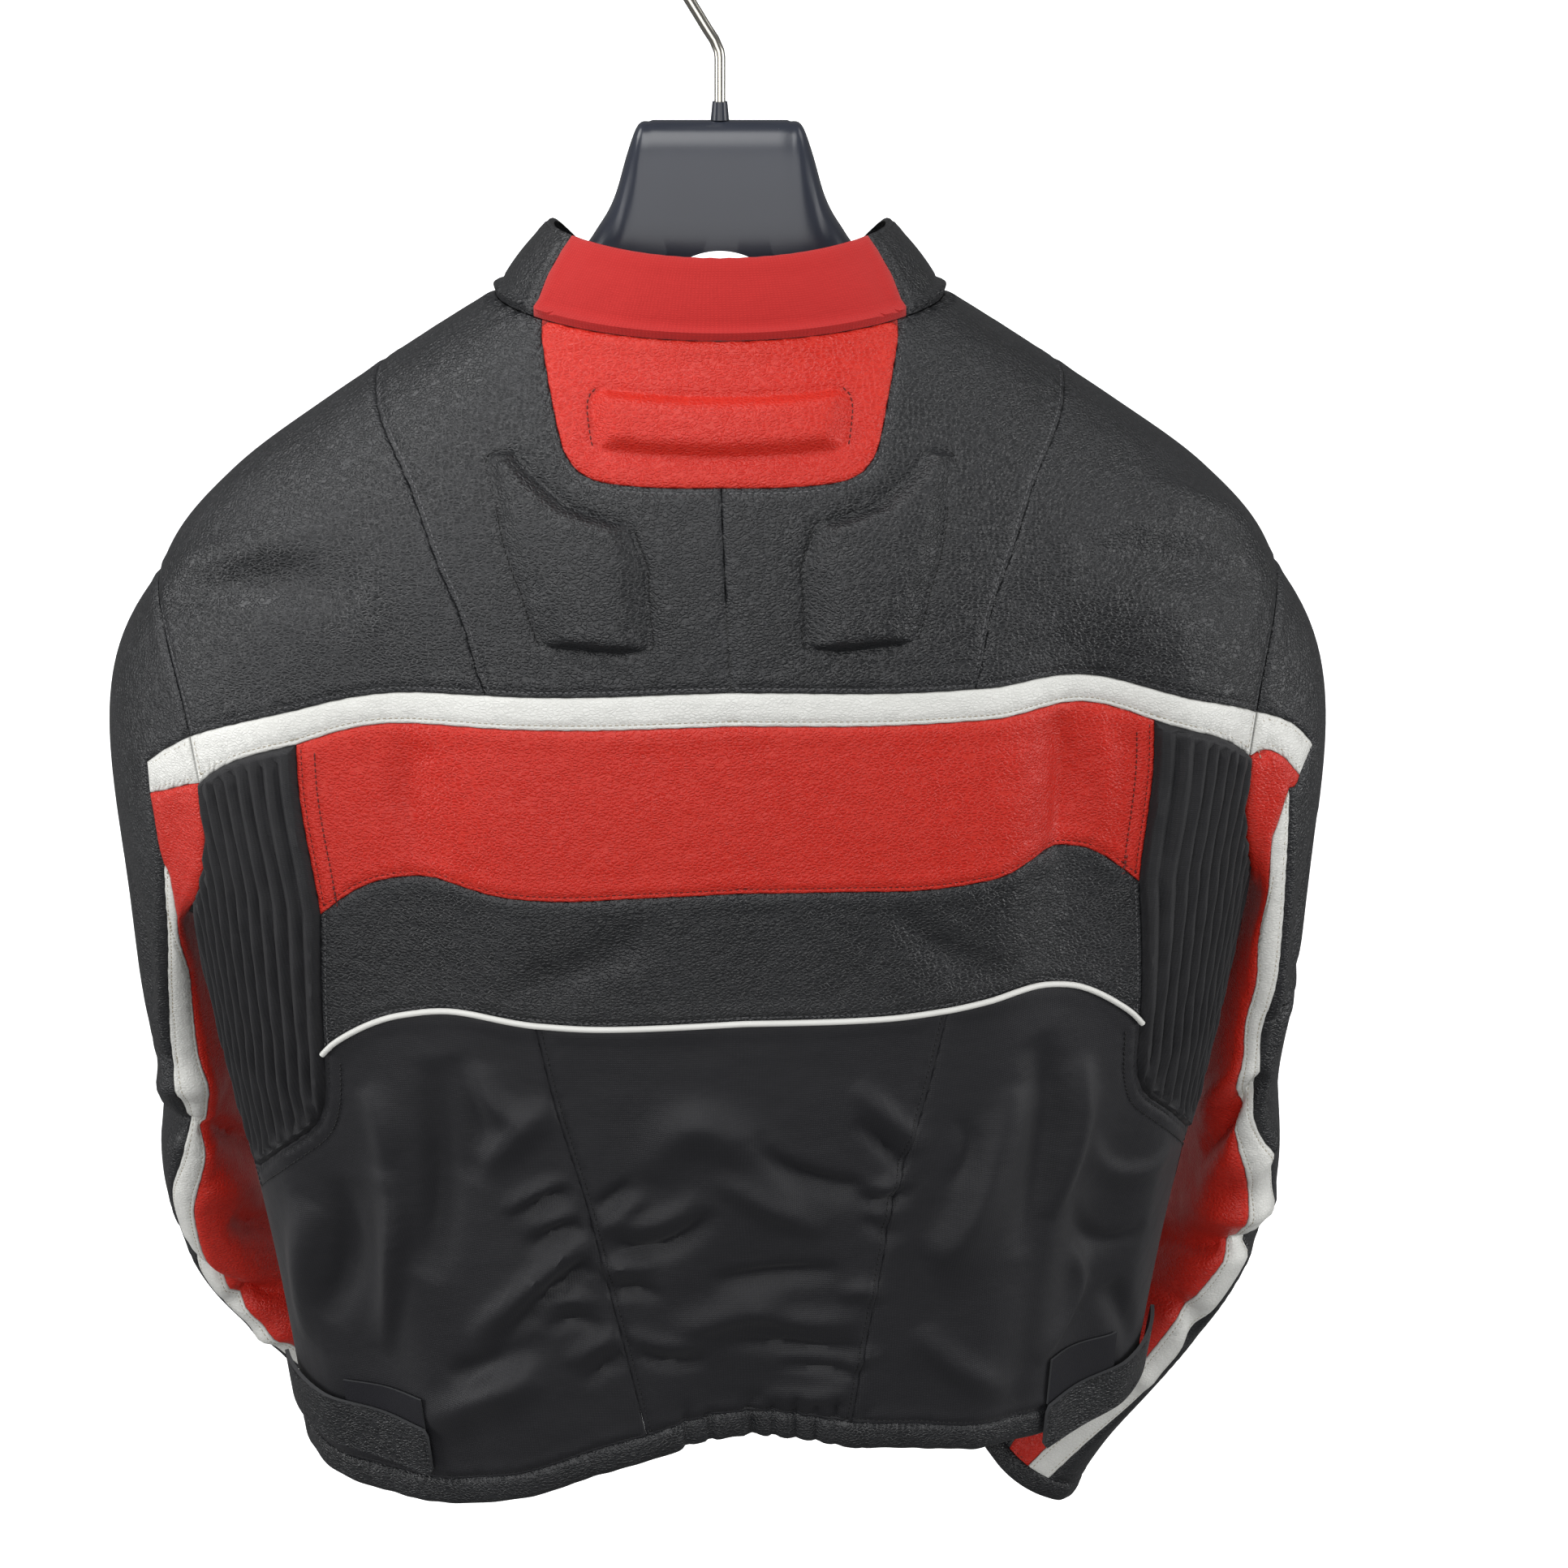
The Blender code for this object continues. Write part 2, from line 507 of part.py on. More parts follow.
def sleeve_seams(side, surface):
    """Every seam of one sleeve by name."""
    cuff, elbow = CUFF_ALONG[side], ELBOW_ALONG[side]
    rows = STRIPE[side]

    def stripe_edge(column, start, end):
        along = np.linspace(start[1], end, 40)
        around = read_rows(rows, along)[:, column]
        around[0] = start[0]
        return smooth_seam(surface, np.column_stack([around, along]), 0.016)

    def ring(start, end, along):
        count = max(1, round(abs(end - start) / 15))
        return np.column_stack([np.linspace(start, end, count + 1), np.full(count + 1, along)])

    band_ends = np.array([SLEEVE_BAND_TOP[side][-1], SLEEVE_BAND_LOW[side][-1]])
    seams = {
        "band_top": smooth_seam(surface, SLEEVE_BAND_TOP[side]),
        "band_end": band_ends,
        "band_low": smooth_seam(surface, SLEEVE_BAND_LOW[side]),
        "fold": smooth_seam(surface, RED_FOLD[side]),
        "stripe_top": smooth_seam(surface, STRIPE_TOP[side], 0.011),
        "stripe_outer_upper": stripe_edge(0, STRIPE_TOP[side][0], elbow),
        "stripe_inner": stripe_edge(1, STRIPE_TOP[side][-1], cuff),
    }
    elbow_start = seams["stripe_outer_upper"][-1]
    seams["stripe_outer_lower"] = stripe_edge(0, elbow_start, cuff)
    front = OUTER_FRONT - 360
    seams["elbow"] = ring(seams["stripe_outer_upper"][-1, 0], front, elbow)
    seams["front_upper"] = smooth_seam(surface, ((front, 0), (front, elbow)))
    seams["front_lower"] = smooth_seam(surface, ((front, elbow), (front, cuff)))
    seams["red_inner"] = smooth_seam(surface, ((RED_INNER_TOP, 0), (RED_INNER_CUFF, cuff)))
    seams["top_cap"] = ring(front, ARMHOLE_BAND_TOP, 0)
    seams["top_band"] = ring(ARMHOLE_BAND_TOP, ARMHOLE_BAND_LOW, 0)
    seams["top_red"] = ring(ARMHOLE_BAND_LOW, RED_INNER_TOP, 0)
    seams["top_inner"] = ring(RED_INNER_TOP, OUTER_FRONT, 0)
    seams["cuff_outer"] = ring(front, seams["stripe_outer_lower"][-1, 0], cuff)
    seams["cuff_stripe"] = ring(seams["stripe_outer_lower"][-1, 0], seams["stripe_inner"][-1, 0], cuff)
    seams["cuff_red"] = ring(seams["stripe_inner"][-1, 0], RED_INNER_CUFF, cuff)
    seams["cuff_inner"] = ring(RED_INNER_CUFF, OUTER_FRONT, cuff)
    for part in ("upper", "lower"):
        seams[f"inner_front_{part}"] = seams[f"front_{part}"] + (360, 0)
    return seams


def outline(seams, names):
    """One closed outline from named seams in order. A name with a minus sign is followed backwards."""
    places = []
    for name in names.split():
        line = seams[name.lstrip("-")]
        line = line[::-1] if name.startswith("-") else line
        if places and np.abs(places[-1] - line[0]).max() > 1e-6:
            raise ValueError(f"seam {name} doesn't start where the one before it ends")
        places.extend(line if not places else line[1:])
    if np.abs(places[0] - places[-1]).max() > 1e-6:
        raise ValueError(f"the outline {names} isn't closed")
    return np.array(places[:-1])


# Walls

def flat_area(places):
    x, y = places.T
    return 0.5 * np.sum(x * np.roll(y, -1) - y * np.roll(x, -1))


def inside(places, edge):
    """Which places lie inside a closed outline."""
    x, y = places[:, 0:1], places[:, 1:2]
    x0, y0 = edge.T
    x1, y1 = np.roll(edge, -1, axis=0).T
    crosses = (y0 > y) != (y1 > y)
    slope = np.where(y1 == y0, 1, y1 - y0)
    return (np.sum(crosses & (x < (x1 - x0) * (y - y0) / slope + x0), axis=1) % 2).astype(bool)


def edge_distance(places, edge):
    """How far each place is from a closed outline."""
    start, end = edge, np.roll(edge, -1, axis=0)
    way = end - start
    share = np.einsum("ijk,jk->ij", places[:, None] - start, way) / np.maximum(np.sum(way**2, axis=1), 1e-18)
    nearest = start + np.clip(share, 0, 1)[..., None] * way
    return np.linalg.norm(places[:, None] - nearest, axis=2).min(axis=1)


def inset(edge, gap):
    """The outline moved inwards by this much, in metres."""
    way = np.roll(edge, -1, axis=0) - edge
    way /= np.linalg.norm(way, axis=1, keepdims=True)
    side = np.stack([-way[:, 1], way[:, 0]], axis=-1)
    corner = side + np.roll(side, 1, axis=0)
    corner /= np.maximum(np.sum(corner * corner, axis=1, keepdims=True) / 2, 0.5)
    return edge + corner * gap


def mesh_object(name, points, faces, material, collection, smooth=True):
    mesh = bpy.data.meshes.new(name)
    mesh.from_pydata([tuple(point) for point in points], [], faces)
    mesh.validate()
    mesh.materials.append(material)
    if smooth:
        mesh.shade_smooth()
        mesh.set_sharp_from_angle(angle=math.radians(32))
    obj = bpy.data.objects.new(name, mesh)
    collection.objects.link(obj)
    return obj


def wall(name, surface, edge, outward, material, collection, thickness=LEATHER, spacing=GRID, gap=SEAM_GAP,
         lift=0.0, relief=None, marks=(), lines=None):
    """A wall between its seams: the outer face on the surface and a plain inner face `thickness` inside it.

    `relief` gives how far outer points stand proud, from their places in metres. `marks` are outlines that the
    mesh follows, and `lines` are runs of places that it follows instead of an even grid.
    """
    scale_u, scale_v = (np.linalg.norm(step, axis=1).mean() for step in steps_of(surface, edge))
    scale = np.array([scale_u, scale_v])
    if flat_area(edge) < 0:
        edge = edge[::-1]
    rim = inset(edge * scale, gap / 2)
    points = [tuple(place) for place in rim]
    ties = [(i, (i + 1) % len(rim)) for i in range(len(rim))]
    kept = rim
    for mark in marks:
        mark = np.asarray(mark) * scale
        ties += [(len(points) + i, len(points) + (i + 1) % len(mark)) for i in range(len(mark))]
        points += [tuple(place) for place in mark]
        kept = np.concatenate([kept, mark])
    if lines is None:
        low, high = rim.min(axis=0), rim.max(axis=0)
        rows = np.arange(low[1] + spacing / 2, high[1], spacing * 0.87)
        for number, v in enumerate(rows):
            u = np.arange(low[0] + spacing * (0.5 + 0.5 * (number % 2)), high[0], spacing)
            grid = np.column_stack([u, np.full_like(u, v)])
            if not len(grid):
                continue
            near = np.linalg.norm(grid[:, None] - kept, axis=2).min(axis=1)
            grid = grid[inside(grid, rim) & (edge_distance(grid, rim) > 0.45 * spacing) & (near > 0.45 * spacing)]
            points += [tuple(place) for place in grid]
    else:
        for line in lines:
            line = np.asarray(line) * scale
            line = line[inside(line, rim) & (edge_distance(line, rim) > 0.0024)]
            if len(line) < 3:
                continue
            picked = np.linspace(0, len(line) - 1, max(2, round(np.ptp(line[:, 1]) / LINE_STEP) + 1)).astype(int)
            ties += [(len(points) + i, len(points) + i + 1) for i in range(len(picked) - 1)]
            points += [tuple(place) for place in line[picked]]
    found = delaunay_2d_cdt([Vector(point) for point in points], ties, [], 1, 1e-9)
    flat = np.array([tuple(point) for point in found[0]])
    triangles = [face if flat_area(flat[list(face)]) > 0 else face[::-1] for face in found[2]]
    places = flat / scale
    normals = normals_of(surface, places, outward)
    base = surface(places) + normals * lift
    height = np.zeros(len(flat)) if relief is None else relief(flat, rim)
    outer = base + normals * height[:, None]
    inner = base - normals * thickness
    count = len(flat)
    turned = flipped(surface, places[list(triangles[0])], normals[list(triangles[0])])
    faces = []
    used = {}
    for a, b, c in triangles:
        faces.append((a, c, b) if turned else (a, b, c))
        faces.append((a + count, b + count, c + count) if turned else (a + count, c + count, b + count))
        for start, end in ((a, b), (b, c), (c, a)):
            used[(start, end)] = True
    for start, end in used:
        if (end, start) in used:
            continue
        # Neighbouring panels split their facing rims the same way, so that the gap stays open.
        if np.dot(outer[start] - outer[end], (0.37, 0.11, 1)) > 0:
            pair = ((start, start + count, end + count), (start, end + count, end))
        else:
            pair = ((start, start + count, end), (start + count, end + count, end))
        faces.extend(half[::-1] if turned else half for half in pair)
    return mesh_object(name, np.concatenate([outer, inner]), faces, material, collection)


def flipped(surface, corners, normals):
    """Whether a triangle that runs anticlockwise in places runs clockwise seen from outside."""
    a, b, c = surface(corners)
    return bool(np.dot(np.cross(b - a, c - a), normals[0]) < 0)


def raised(marks, height, width):
    """A relief that rises by `height` over `width` inside each of these outlines."""
    def relief(flat, _):
        tall = np.zeros(len(flat))
        for mark in marks:
            share = np.clip(edge_distance(flat, mark) / width, 0, 1) * inside(flat, mark)
            tall = np.maximum(tall, height * share * share * (3 - 2 * share))
        return tall
    return relief


def raised_wall(name, surface, edge, corners, material, collection, **settings):
    """A torso panel with one or more padded shapes standing proud of it."""
    scale = np.array([np.linalg.norm(step, axis=1).mean() for step in steps_of(surface, edge)])
    marks, rings = [], []
    for corner_rows in corners:
        shape = np.array(corner_rows, float) * scale
        shape = shape if flat_area(shape) > 0 else shape[::-1]
        shape = rounded_run(shape, PAD_CORNER, 0.018)
        marks.append(shape)
        rings += [shape / scale, inset(shape, PAD_EDGE) / scale]
    return wall(name, surface, edge, 1, material, collection, relief=raised(marks, PAD_RAISE, PAD_EDGE * 0.98),
                marks=rings, **settings)


def rounded_run(corners, radius, spacing):
    """Places along a closed outline whose corners are rounded, with spacing along its straight sides."""
    places = []
    for before, corner, after in zip(np.roll(corners, 1, axis=0), corners, np.roll(corners, -1, axis=0)):
        ways = [(end - corner) / np.linalg.norm(end - corner) for end in (before, after)]
        half_angle = math.acos(float(np.clip(ways[0] @ ways[1], -1, 1))) / 2
        reach = min(radius / math.tan(half_angle), 0.4 * np.linalg.norm(before - corner),
                    0.4 * np.linalg.norm(after - corner))
        start, end = corner + ways[0] * reach, corner + ways[1] * reach
        if places:
            count = max(1, round(np.linalg.norm(start - places[-1]) / spacing))
            places += [places[-1] + (start - places[-1]) * i / count for i in range(1, count)]
        share = np.linspace(0, 1, 3)[:, None]
        places += list(start * (1 - share) ** 2 + 2 * corner * share * (1 - share) + end * share**2)
    count = max(1, round(np.linalg.norm(places[0] - places[-1]) / spacing))
    places += [places[-1] + (places[0] - places[-1]) * i / count for i in range(1, count)]
    return np.array(places)


def loft(name, rings, material, collection, closed=False):
    """A solid through rings of equally many points: capped at both ends, or joined end to end."""
    count, around = len(rings), len(rings[0])
    points = np.concatenate(rings)
    faces = []
    for i in range(count if closed else count - 1):
        for j in range(around):
            k = (j + 1) % around
            a, b = i * around, (i + 1) % count * around
            faces.append((a + j, a + k, b + k, b + j))
    if not closed:
        faces.append(tuple(range(around))[::-1])
        faces.append(tuple(range((count - 1) * around, count * around)))
    obj = mesh_object(name, points, faces, material, collection)
    mesh = bmesh.new()
    mesh.from_mesh(obj.data)
    bmesh.ops.recalc_face_normals(mesh, faces=mesh.faces)
    mesh.to_mesh(obj.data)
    mesh.free()
    return obj


def roll_ring(surface, place, outward, height, thickness, bulge, sides=8):
    """One section of a rolled edge that hangs from a wall's lower edge."""
    normal = normals_of(surface, place[None], outward)[0]
    downward = steps_of(surface, place[None])[1][0]
    downward -= normal * np.dot(downward, normal)
    downward /= np.linalg.norm(downward)
    middle = surface(place[None])[0] - normal * thickness / 2 + downward * (SEAM_GAP + height / 2)
    ring = []
    for turn in np.linspace(0, 2 * math.pi, sides, endpoint=False) + math.pi / sides:
        across = signed_power(math.cos(turn), 0.7) * (thickness / 2 + bulge)
        ring.append(middle + normal * across + downward * signed_power(math.sin(turn), 0.6) * height / 2)
    return np.array(ring)


# Pieces

def build_back(seams, materials, collection):
    black, red, white = (materials[f"{colour}_leather"] for colour in ("black", "red", "white"))
    raised_wall("neck_panel", torso, outline(
        seams, "neck_back.left neck_panel_edge.left -neck_panel_edge.right -neck_back.right"
    ), [NECK_PAD], red, collection)
    for side, mirror in (("left", 1), ("right", -1)):
        names = (
            "centre_back.S band_top_inner.S princess.S -shoulder_inner.S -neck_side.S -neck_corner.S "
            "neck_panel_edge.S"
        ).replace(".S", f".{side}")
        raised_wall(f"back_yoke_{side}", torso, outline(seams, names), [np.array(YOKE_PAD) * (mirror, 1)],
                    black, collection)
        names = "band_top_outer.S -armhole_top.S -shoulder_outer.S -princess.S".replace(".S", f".{side}")
        wall(f"shoulder_{side}", torso, outline(seams, names), 1, black, collection)
    wall("chest_band", torso, outline(
        seams,
        "band_top_inner.left band_top_outer.left armhole_band.left -band_low_outer.left -band_low_inner.left "
        "band_low_inner.right band_low_outer.right -armhole_band.right -band_top_outer.right "
        "-band_top_inner.right",
    ), 1, white, collection)
    wall("back_band_red", torso, outline(
        seams,
        "band_low_inner.left red_end.left -red_low.left red_low.right -red_end.right -band_low_inner.right",
    ), 1, red, collection)
    wall("back_band_black", torso, outline(
        seams,
        "red_low.left black_end.left -piping_outer.left -piping_inner.left piping_inner.right "
        "piping_outer.right -black_end.right -red_low.right",
    ), 1, black, collection)


def build_lower_back(seams, materials, collection):
    nylon = materials["nylon_textile"]
    wall("lower_back_centre", torso, outline(
        seams,
        "piping_inner.left lower_seam.left hem_back.left -hem_back.right -lower_seam.right "
        "-piping_inner.right",
    ), 1, nylon, collection)
    for side in ("left", "right"):
        names = (
            "piping_outer.S stretch_low.S stretch_outer.S armhole_low.S side_seam.S hem_side.S -lower_seam.S"
        ).replace(".S", f".{side}")
        wall(f"lower_back_{side}", torso, outline(seams, names), 1, nylon, collection, spacing=0.029)
    run = np.concatenate([
        seams["piping_outer.right"][::-1], seams["piping_inner.right"][-2::-1],
        seams["piping_inner.left"][1:], seams["piping_outer.left"][1:],
    ])
    centres = torso(run) + normals_of(torso, run, 1) * (PIPING_RADIUS + 0.0005)
    tube("piping", centres, PIPING_RADIUS, materials["white_piping"], collection, resolution=1)


def build_stretch(seams, materials, collection):
    """The accordion panels under the arms: upright ribs that follow the panel's inner edge."""
    inner_edge = np.array([(0.20, 45.0), (0.304, 45.0), (0.377, 48.5), (0.402, 50.5), (0.47, 52.0)])
    for side, mirror in (("left", 1), ("right", -1)):
        names = (
            "band_low_outer.S armhole_stretch.S -stretch_outer.S -stretch_low.S -black_end.S -red_end.S"
        ).replace(".S", f".{side}")
        edge = outline(seams, names)
        scale = np.array([np.linalg.norm(step, axis=1).mean() for step in steps_of(torso, edge)])
        down = np.arange(0.205, 0.470, 0.002)
        lines = []
        for number in range(1, 32):
            around = np.interp(down, *inner_edge.T) + number * RIB_PITCH / 2
            lines.append(np.column_stack([mirror * around, down]))

        def ribs(flat, rim):
            place = flat / scale
            turns = (place[:, 0] * mirror - np.interp(place[:, 1], *inner_edge.T)) / RIB_PITCH
            share = np.clip(edge_distance(flat, rim) / 0.005, 0, 1)
            return RIB_HEIGHT * (0.5 - 0.5 * np.cos(2 * np.pi * turns)) * share

        wall(f"stretch_panel_{side}", torso, edge, 1, materials["stretch_textile"], collection, relief=ribs,
             lines=lines)


def build_front(seams, materials, collection):
    black = materials["black_leather"]
    for side, mirror in (("left", 1), ("right", -1)):
        names = (
            "neck_front.S zip.S hem_front.S -side_seam.S armhole_front.S -shoulder_outer.S -shoulder_inner.S"
        ).replace(".S", f".{side}")
        wall(f"front_{side}", torso, outline(seams, names), 1, black, collection, spacing=0.034)
        down = np.concatenate([seams[f"collar_front.{side}"][:0:-1, 1], seams[f"zip.{side}"][:, 1]])
        outer = np.column_stack([np.full_like(down, mirror * ZIP_HALF_OPENING), down])
        inner = np.column_stack([np.zeros_like(down), down])
        wall(f"zip_tape_{side}", zip_strip, np.concatenate([outer, inner[::-1]]), -1, materials["zip_tape"],
             collection, thickness=ZIP_TAPE, spacing=1.0, lift=-(LEATHER - ZIP_TAPE) / 2)


def build_collar(seams, materials, collection):
    wall("collar_back", collar, outline(
        seams,
        "neck_back.left neck_corner.left collar_seam.left -collar_back_top.left collar_back_top.right "
        "-collar_seam.right -neck_corner.right -neck_back.right",
    ), 1, materials["red_knit"], collection, thickness=COLLAR_WALL, spacing=0.018)
    for side in ("left", "right"):
        names = (
            "neck_side.S neck_front.S collar_front.S -collar_side_top.S -collar_seam.S"
        ).replace(".S", f".{side}")
        wall(f"collar_{side}", collar, outline(seams, names), 1, materials["black_leather"], collection,
             thickness=COLLAR_WALL, spacing=0.018)


def build_hem(seams, materials, collection):
    """The rolled leather edge, from one side of the zip round the back to the other."""
    names = ("hem_front.left", "hem_side.left", "hem_back.left")
    left = np.concatenate([seams[names[0]]] + [seams[name][1:] for name in names[1:]])
    right = np.concatenate([seams["hem_front.right"]] + [
        seams[name.replace("left", "right")][1:] for name in names[1:]
    ])
    run = np.concatenate([left, right[-2::-1]])
    rings = [roll_ring(torso, place, 1, HEM_ROLL_HEIGHT, LEATHER, HEM_ROLL_BULGE) for place in run]
    loft("hem_binding", rings, materials["black_leather"], collection)


def build_straps(materials, collection):
    for side, free, fixed, free_down, fixed_down in STRAPS:
        mirror = 1 if side == "left" else -1
        around = np.linspace(free, fixed, 60)
        middle = free_down + (fixed_down - free_down) * (around - free) / (fixed - free)
        half = STRAP_WIDTH / 2 * np.clip((around - free) / 1.6 + 0.72, 0, 1)
        upper = np.column_stack([around, middle - half]) * (mirror, 1)
        lower = np.column_stack([around, middle + half]) * (mirror, 1)
        edge = np.concatenate([
            smooth_seam(torso, upper, 0.010), smooth_seam(torso, lower[::-1], 0.010)
        ])
        raise_by = PATCH_THICK + 2 * LAY_CLEARANCE + STRAP_THICK
        wall(f"strap_{side}", torso, edge, 1, materials["black_leather"], collection, thickness=STRAP_THICK,
             spacing=0.010, lift=raise_by)
        around = np.linspace(free + 1.0, free + PATCH_REACH, 40)
        middle = np.full_like(around, PATCH_DOWN)
        upper = np.column_stack([around, middle - PATCH_WIDTH / 2]) * (mirror, 1)
        lower = np.column_stack([around, middle + PATCH_WIDTH / 2]) * (mirror, 1)
        edge = np.concatenate([
            smooth_seam(torso, upper, 0.010), smooth_seam(torso, lower[::-1], 0.010)
        ])
        wall(f"strap_patch_{side}", torso, edge, 1, materials["hook_and_loop"], collection,
             thickness=PATCH_THICK, spacing=0.010, lift=PATCH_THICK + LAY_CLEARANCE)


def build_sleeve(side, materials, collection):
    black, red, white = (materials[f"{colour}_leather"] for colour in ("black", "red", "white"))
    surface = sleeve_of(side)
    outward = -1 if side == "left" else 1
    seams = sleeve_seams(side, surface)
    pieces = (
        ("band", white, "band_top band_end -band_low -top_band"),
        ("red", red, "band_low fold stripe_top stripe_inner cuff_red -red_inner -top_red"),
        ("stripe", white, "stripe_top stripe_inner -cuff_stripe -stripe_outer_lower -stripe_outer_upper"),
        ("outer_upper", black,
         "top_cap band_top band_end fold stripe_outer_upper elbow -front_upper"),
        ("outer_lower", black, "elbow front_lower cuff_outer -stripe_outer_lower"),
        ("inner", black, "top_inner inner_front_upper inner_front_lower -cuff_inner -red_inner"),
    )
    for name, material, names in pieces:
        wall(f"sleeve_{side}_{name}", surface, outline(seams, names), outward, material, collection,
             spacing=0.029 if material is black else GRID)
    cuff = np.concatenate([
        seams[name][:-1] for name in ("cuff_outer", "cuff_stripe", "cuff_red", "cuff_inner")
    ])
    rings = [roll_ring(surface, place, outward, CUFF_ROLL_HEIGHT, LEATHER, HEM_ROLL_BULGE) for place in cuff]
    loft(f"sleeve_{side}_cuff", rings, black, collection, closed=True)


def tube(name, points, radius, material, collection, resolution=2):
    """A round bar of this radius along a run of points, as a solid mesh with its ends filled."""
    curve = bpy.data.curves.new(name, "CURVE")
    curve.dimensions = "3D"
    curve.bevel_depth = radius
    curve.bevel_resolution = resolution
    curve.use_fill_caps = True
    spline = curve.splines.new("POLY")
    spline.points.add(len(points) - 1)
    for knot, point in zip(spline.points, points):
        knot.co = (*point, 1)
    curve.materials.append(material)
    obj = bpy.data.objects.new(name, curve)
    collection.objects.link(obj)
    return obj


def primitive(name, mesh, material, collection, place=None):
    data = bpy.data.meshes.new(name)
    mesh.to_mesh(data)
    mesh.free()
    data.materials.append(material)
    obj = bpy.data.objects.new(name, data)
    obj.matrix_world = place or Matrix.Identity(4)
    collection.objects.link(obj)
    return obj


def block(size, bevel=0.0):
    """A bmesh box of this size about the origin, with its edges rounded."""
    mesh = bmesh.new()
    bmesh.ops.create_cube(mesh, size=1, matrix=Matrix.Diagonal((*size, 1)))
    if bevel:
        bmesh.ops.bevel(mesh, geom=mesh.edges[:], offset=bevel, segments=2, profile=0.5, affect="EDGES")
    return mesh


def bar(radius, length, sides=20):
    """A bmesh cylinder along X about the origin."""
    mesh = bmesh.new()
    bmesh.ops.create_cone(mesh, cap_ends=True, segments=sides, radius1=radius, radius2=radius, depth=length,
                          matrix=Matrix.Rotation(math.radians(90), 4, "Y"))
    return mesh


def combine(obj, other, operation):
    other.hide_render = True
    other.display_type = "WIRE"
    modifier = obj.modifiers.new(f"{operation.lower()}_{other.name}", "BOOLEAN")
    modifier.operation = operation
    modifier.solver = "EXACT"
    modifier.object = other


def build_zip_slider(materials, collection, cutters):
    """The slider with its pin, and the pull that swings on that pin."""
    metal = materials["zip_metal"]
    point = zip_strip(np.array([[0.0001, -SLIDER_UP]]))[0]
    frame = Matrix.Translation((0, point[1] - SLIDER_LIFT - SLIDER_SIZE[1] / 2, point[2]))
    slider = primitive("zip_slider", block(SLIDER_SIZE, 0.0008), metal, collection, frame)
    pin_out = SLIDER_SIZE[1] / 2 + PIN_LIFT
    for sign in (-1, 1):
        lug_place = frame @ Matrix.Translation((
            sign * LUG_APART / 2, -(SLIDER_SIZE[1] / 2 + LUG_SIZE[1] / 2 - 0.0004), 0
        ))
        combine(slider, primitive(f"lug_{sign}", block(LUG_SIZE), metal, cutters, lug_place), "UNION")
    pin_place = frame @ Matrix.Translation((0, -pin_out, 0))
    combine(slider, primitive("pin", bar(PIN_RADIUS, LUG_APART), metal, cutters, pin_place), "UNION")
    pull = primitive("zip_pull", bar(PULL_BARREL, PULL_EYE_WIDTH), metal, collection, pin_place)
    tab_place = pin_place @ Matrix.Translation((0, 0, -PULL_SIZE[2] / 2 - 0.0014))
    combine(pull, primitive("tab", block(PULL_SIZE, 0.0006), metal, cutters, tab_place), "UNION")
    combine(pull, primitive("eye", bar(PULL_HOLE, 0.02), metal, cutters, pin_place), "DIFFERENCE")


def hanger_ring(row, mirror):
    """One upright section of the hanger: a rounded form, narrower at its top."""
    across, top, bottom, half_depth, taper = row
    middle, half_height = (top + bottom) / 2, (top - bottom) / 2
    ring = []
    for turn in np.linspace(0, 2 * math.pi, HANGER_RING, endpoint=False):
        up = signed_power(math.sin(turn), 0.55)
        depth = half_depth * signed_power(math.cos(turn), 0.7) * (1 - taper * (up + 1) / 2)
        ring.append((mirror * across, depth, middle + half_height * up - HOOK_TO_NECK))
    return np.array(ring)


def build_hanger(materials, collection, cutters):
    plastic = materials["hanger_plastic"]
    across = np.array(sorted(set(HANGER_SECTIONS[:, 0]) | {0.018, 0.1185, 0.1525, 0.185}))
    rows = np.column_stack([across] + [
        np.interp(across, HANGER_SECTIONS[:, 0], HANGER_SECTIONS[:, column]) for column in range(1, 5)
    ])
    rings = [hanger_ring(row, -1) for row in rows[:0:-1]] + [hanger_ring(row, 1) for row in rows]
    form = loft("hanger_form", rings, plastic, collection)
    for name, margin, depth, shift in (
        ("hole", 0, 0.12, 0), ("recess", HANGER_RECESS_MARGIN, 0.04, 0.044),
    ):
        mesh = bmesh.new()
        bmesh.ops.create_cone(mesh, cap_ends=True, segments=32, radius1=1, radius2=1, depth=depth)
        size = (HANGER_HOLE_HALF_WIDTH + margin, HANGER_HOLE_HALF_HEIGHT + margin, 1, 1)
        place = Matrix.Translation((0, shift, HANGER_HOLE_Z - HOOK_TO_NECK))
        place = place @ Matrix.Rotation(math.radians(90), 4, "X")
        bmesh.ops.transform(mesh, matrix=place @ Matrix.Diagonal(size), verts=mesh.verts)
        combine(form, primitive(name, mesh, plastic, cutters), "DIFFERENCE")
    cap_top = HANGER_SECTIONS[0, 1]
    mesh = bmesh.new()
    bmesh.ops.create_cone(mesh, cap_ends=True, segments=24, radius1=BOSS_LOW_RADIUS, radius2=BOSS_TOP_RADIUS,
                          depth=BOSS_HEIGHT)
    boss_z = cap_top + SEAM_GAP + BOSS_HEIGHT / 2 - HOOK_TO_NECK
    primitive("hanger_boss", mesh, plastic, collection, Matrix.Translation((0, 0, boss_z)))
    build_hook(cap_top + BOSS_HEIGHT + 2 * SEAM_GAP, materials["hook_steel"], collection)


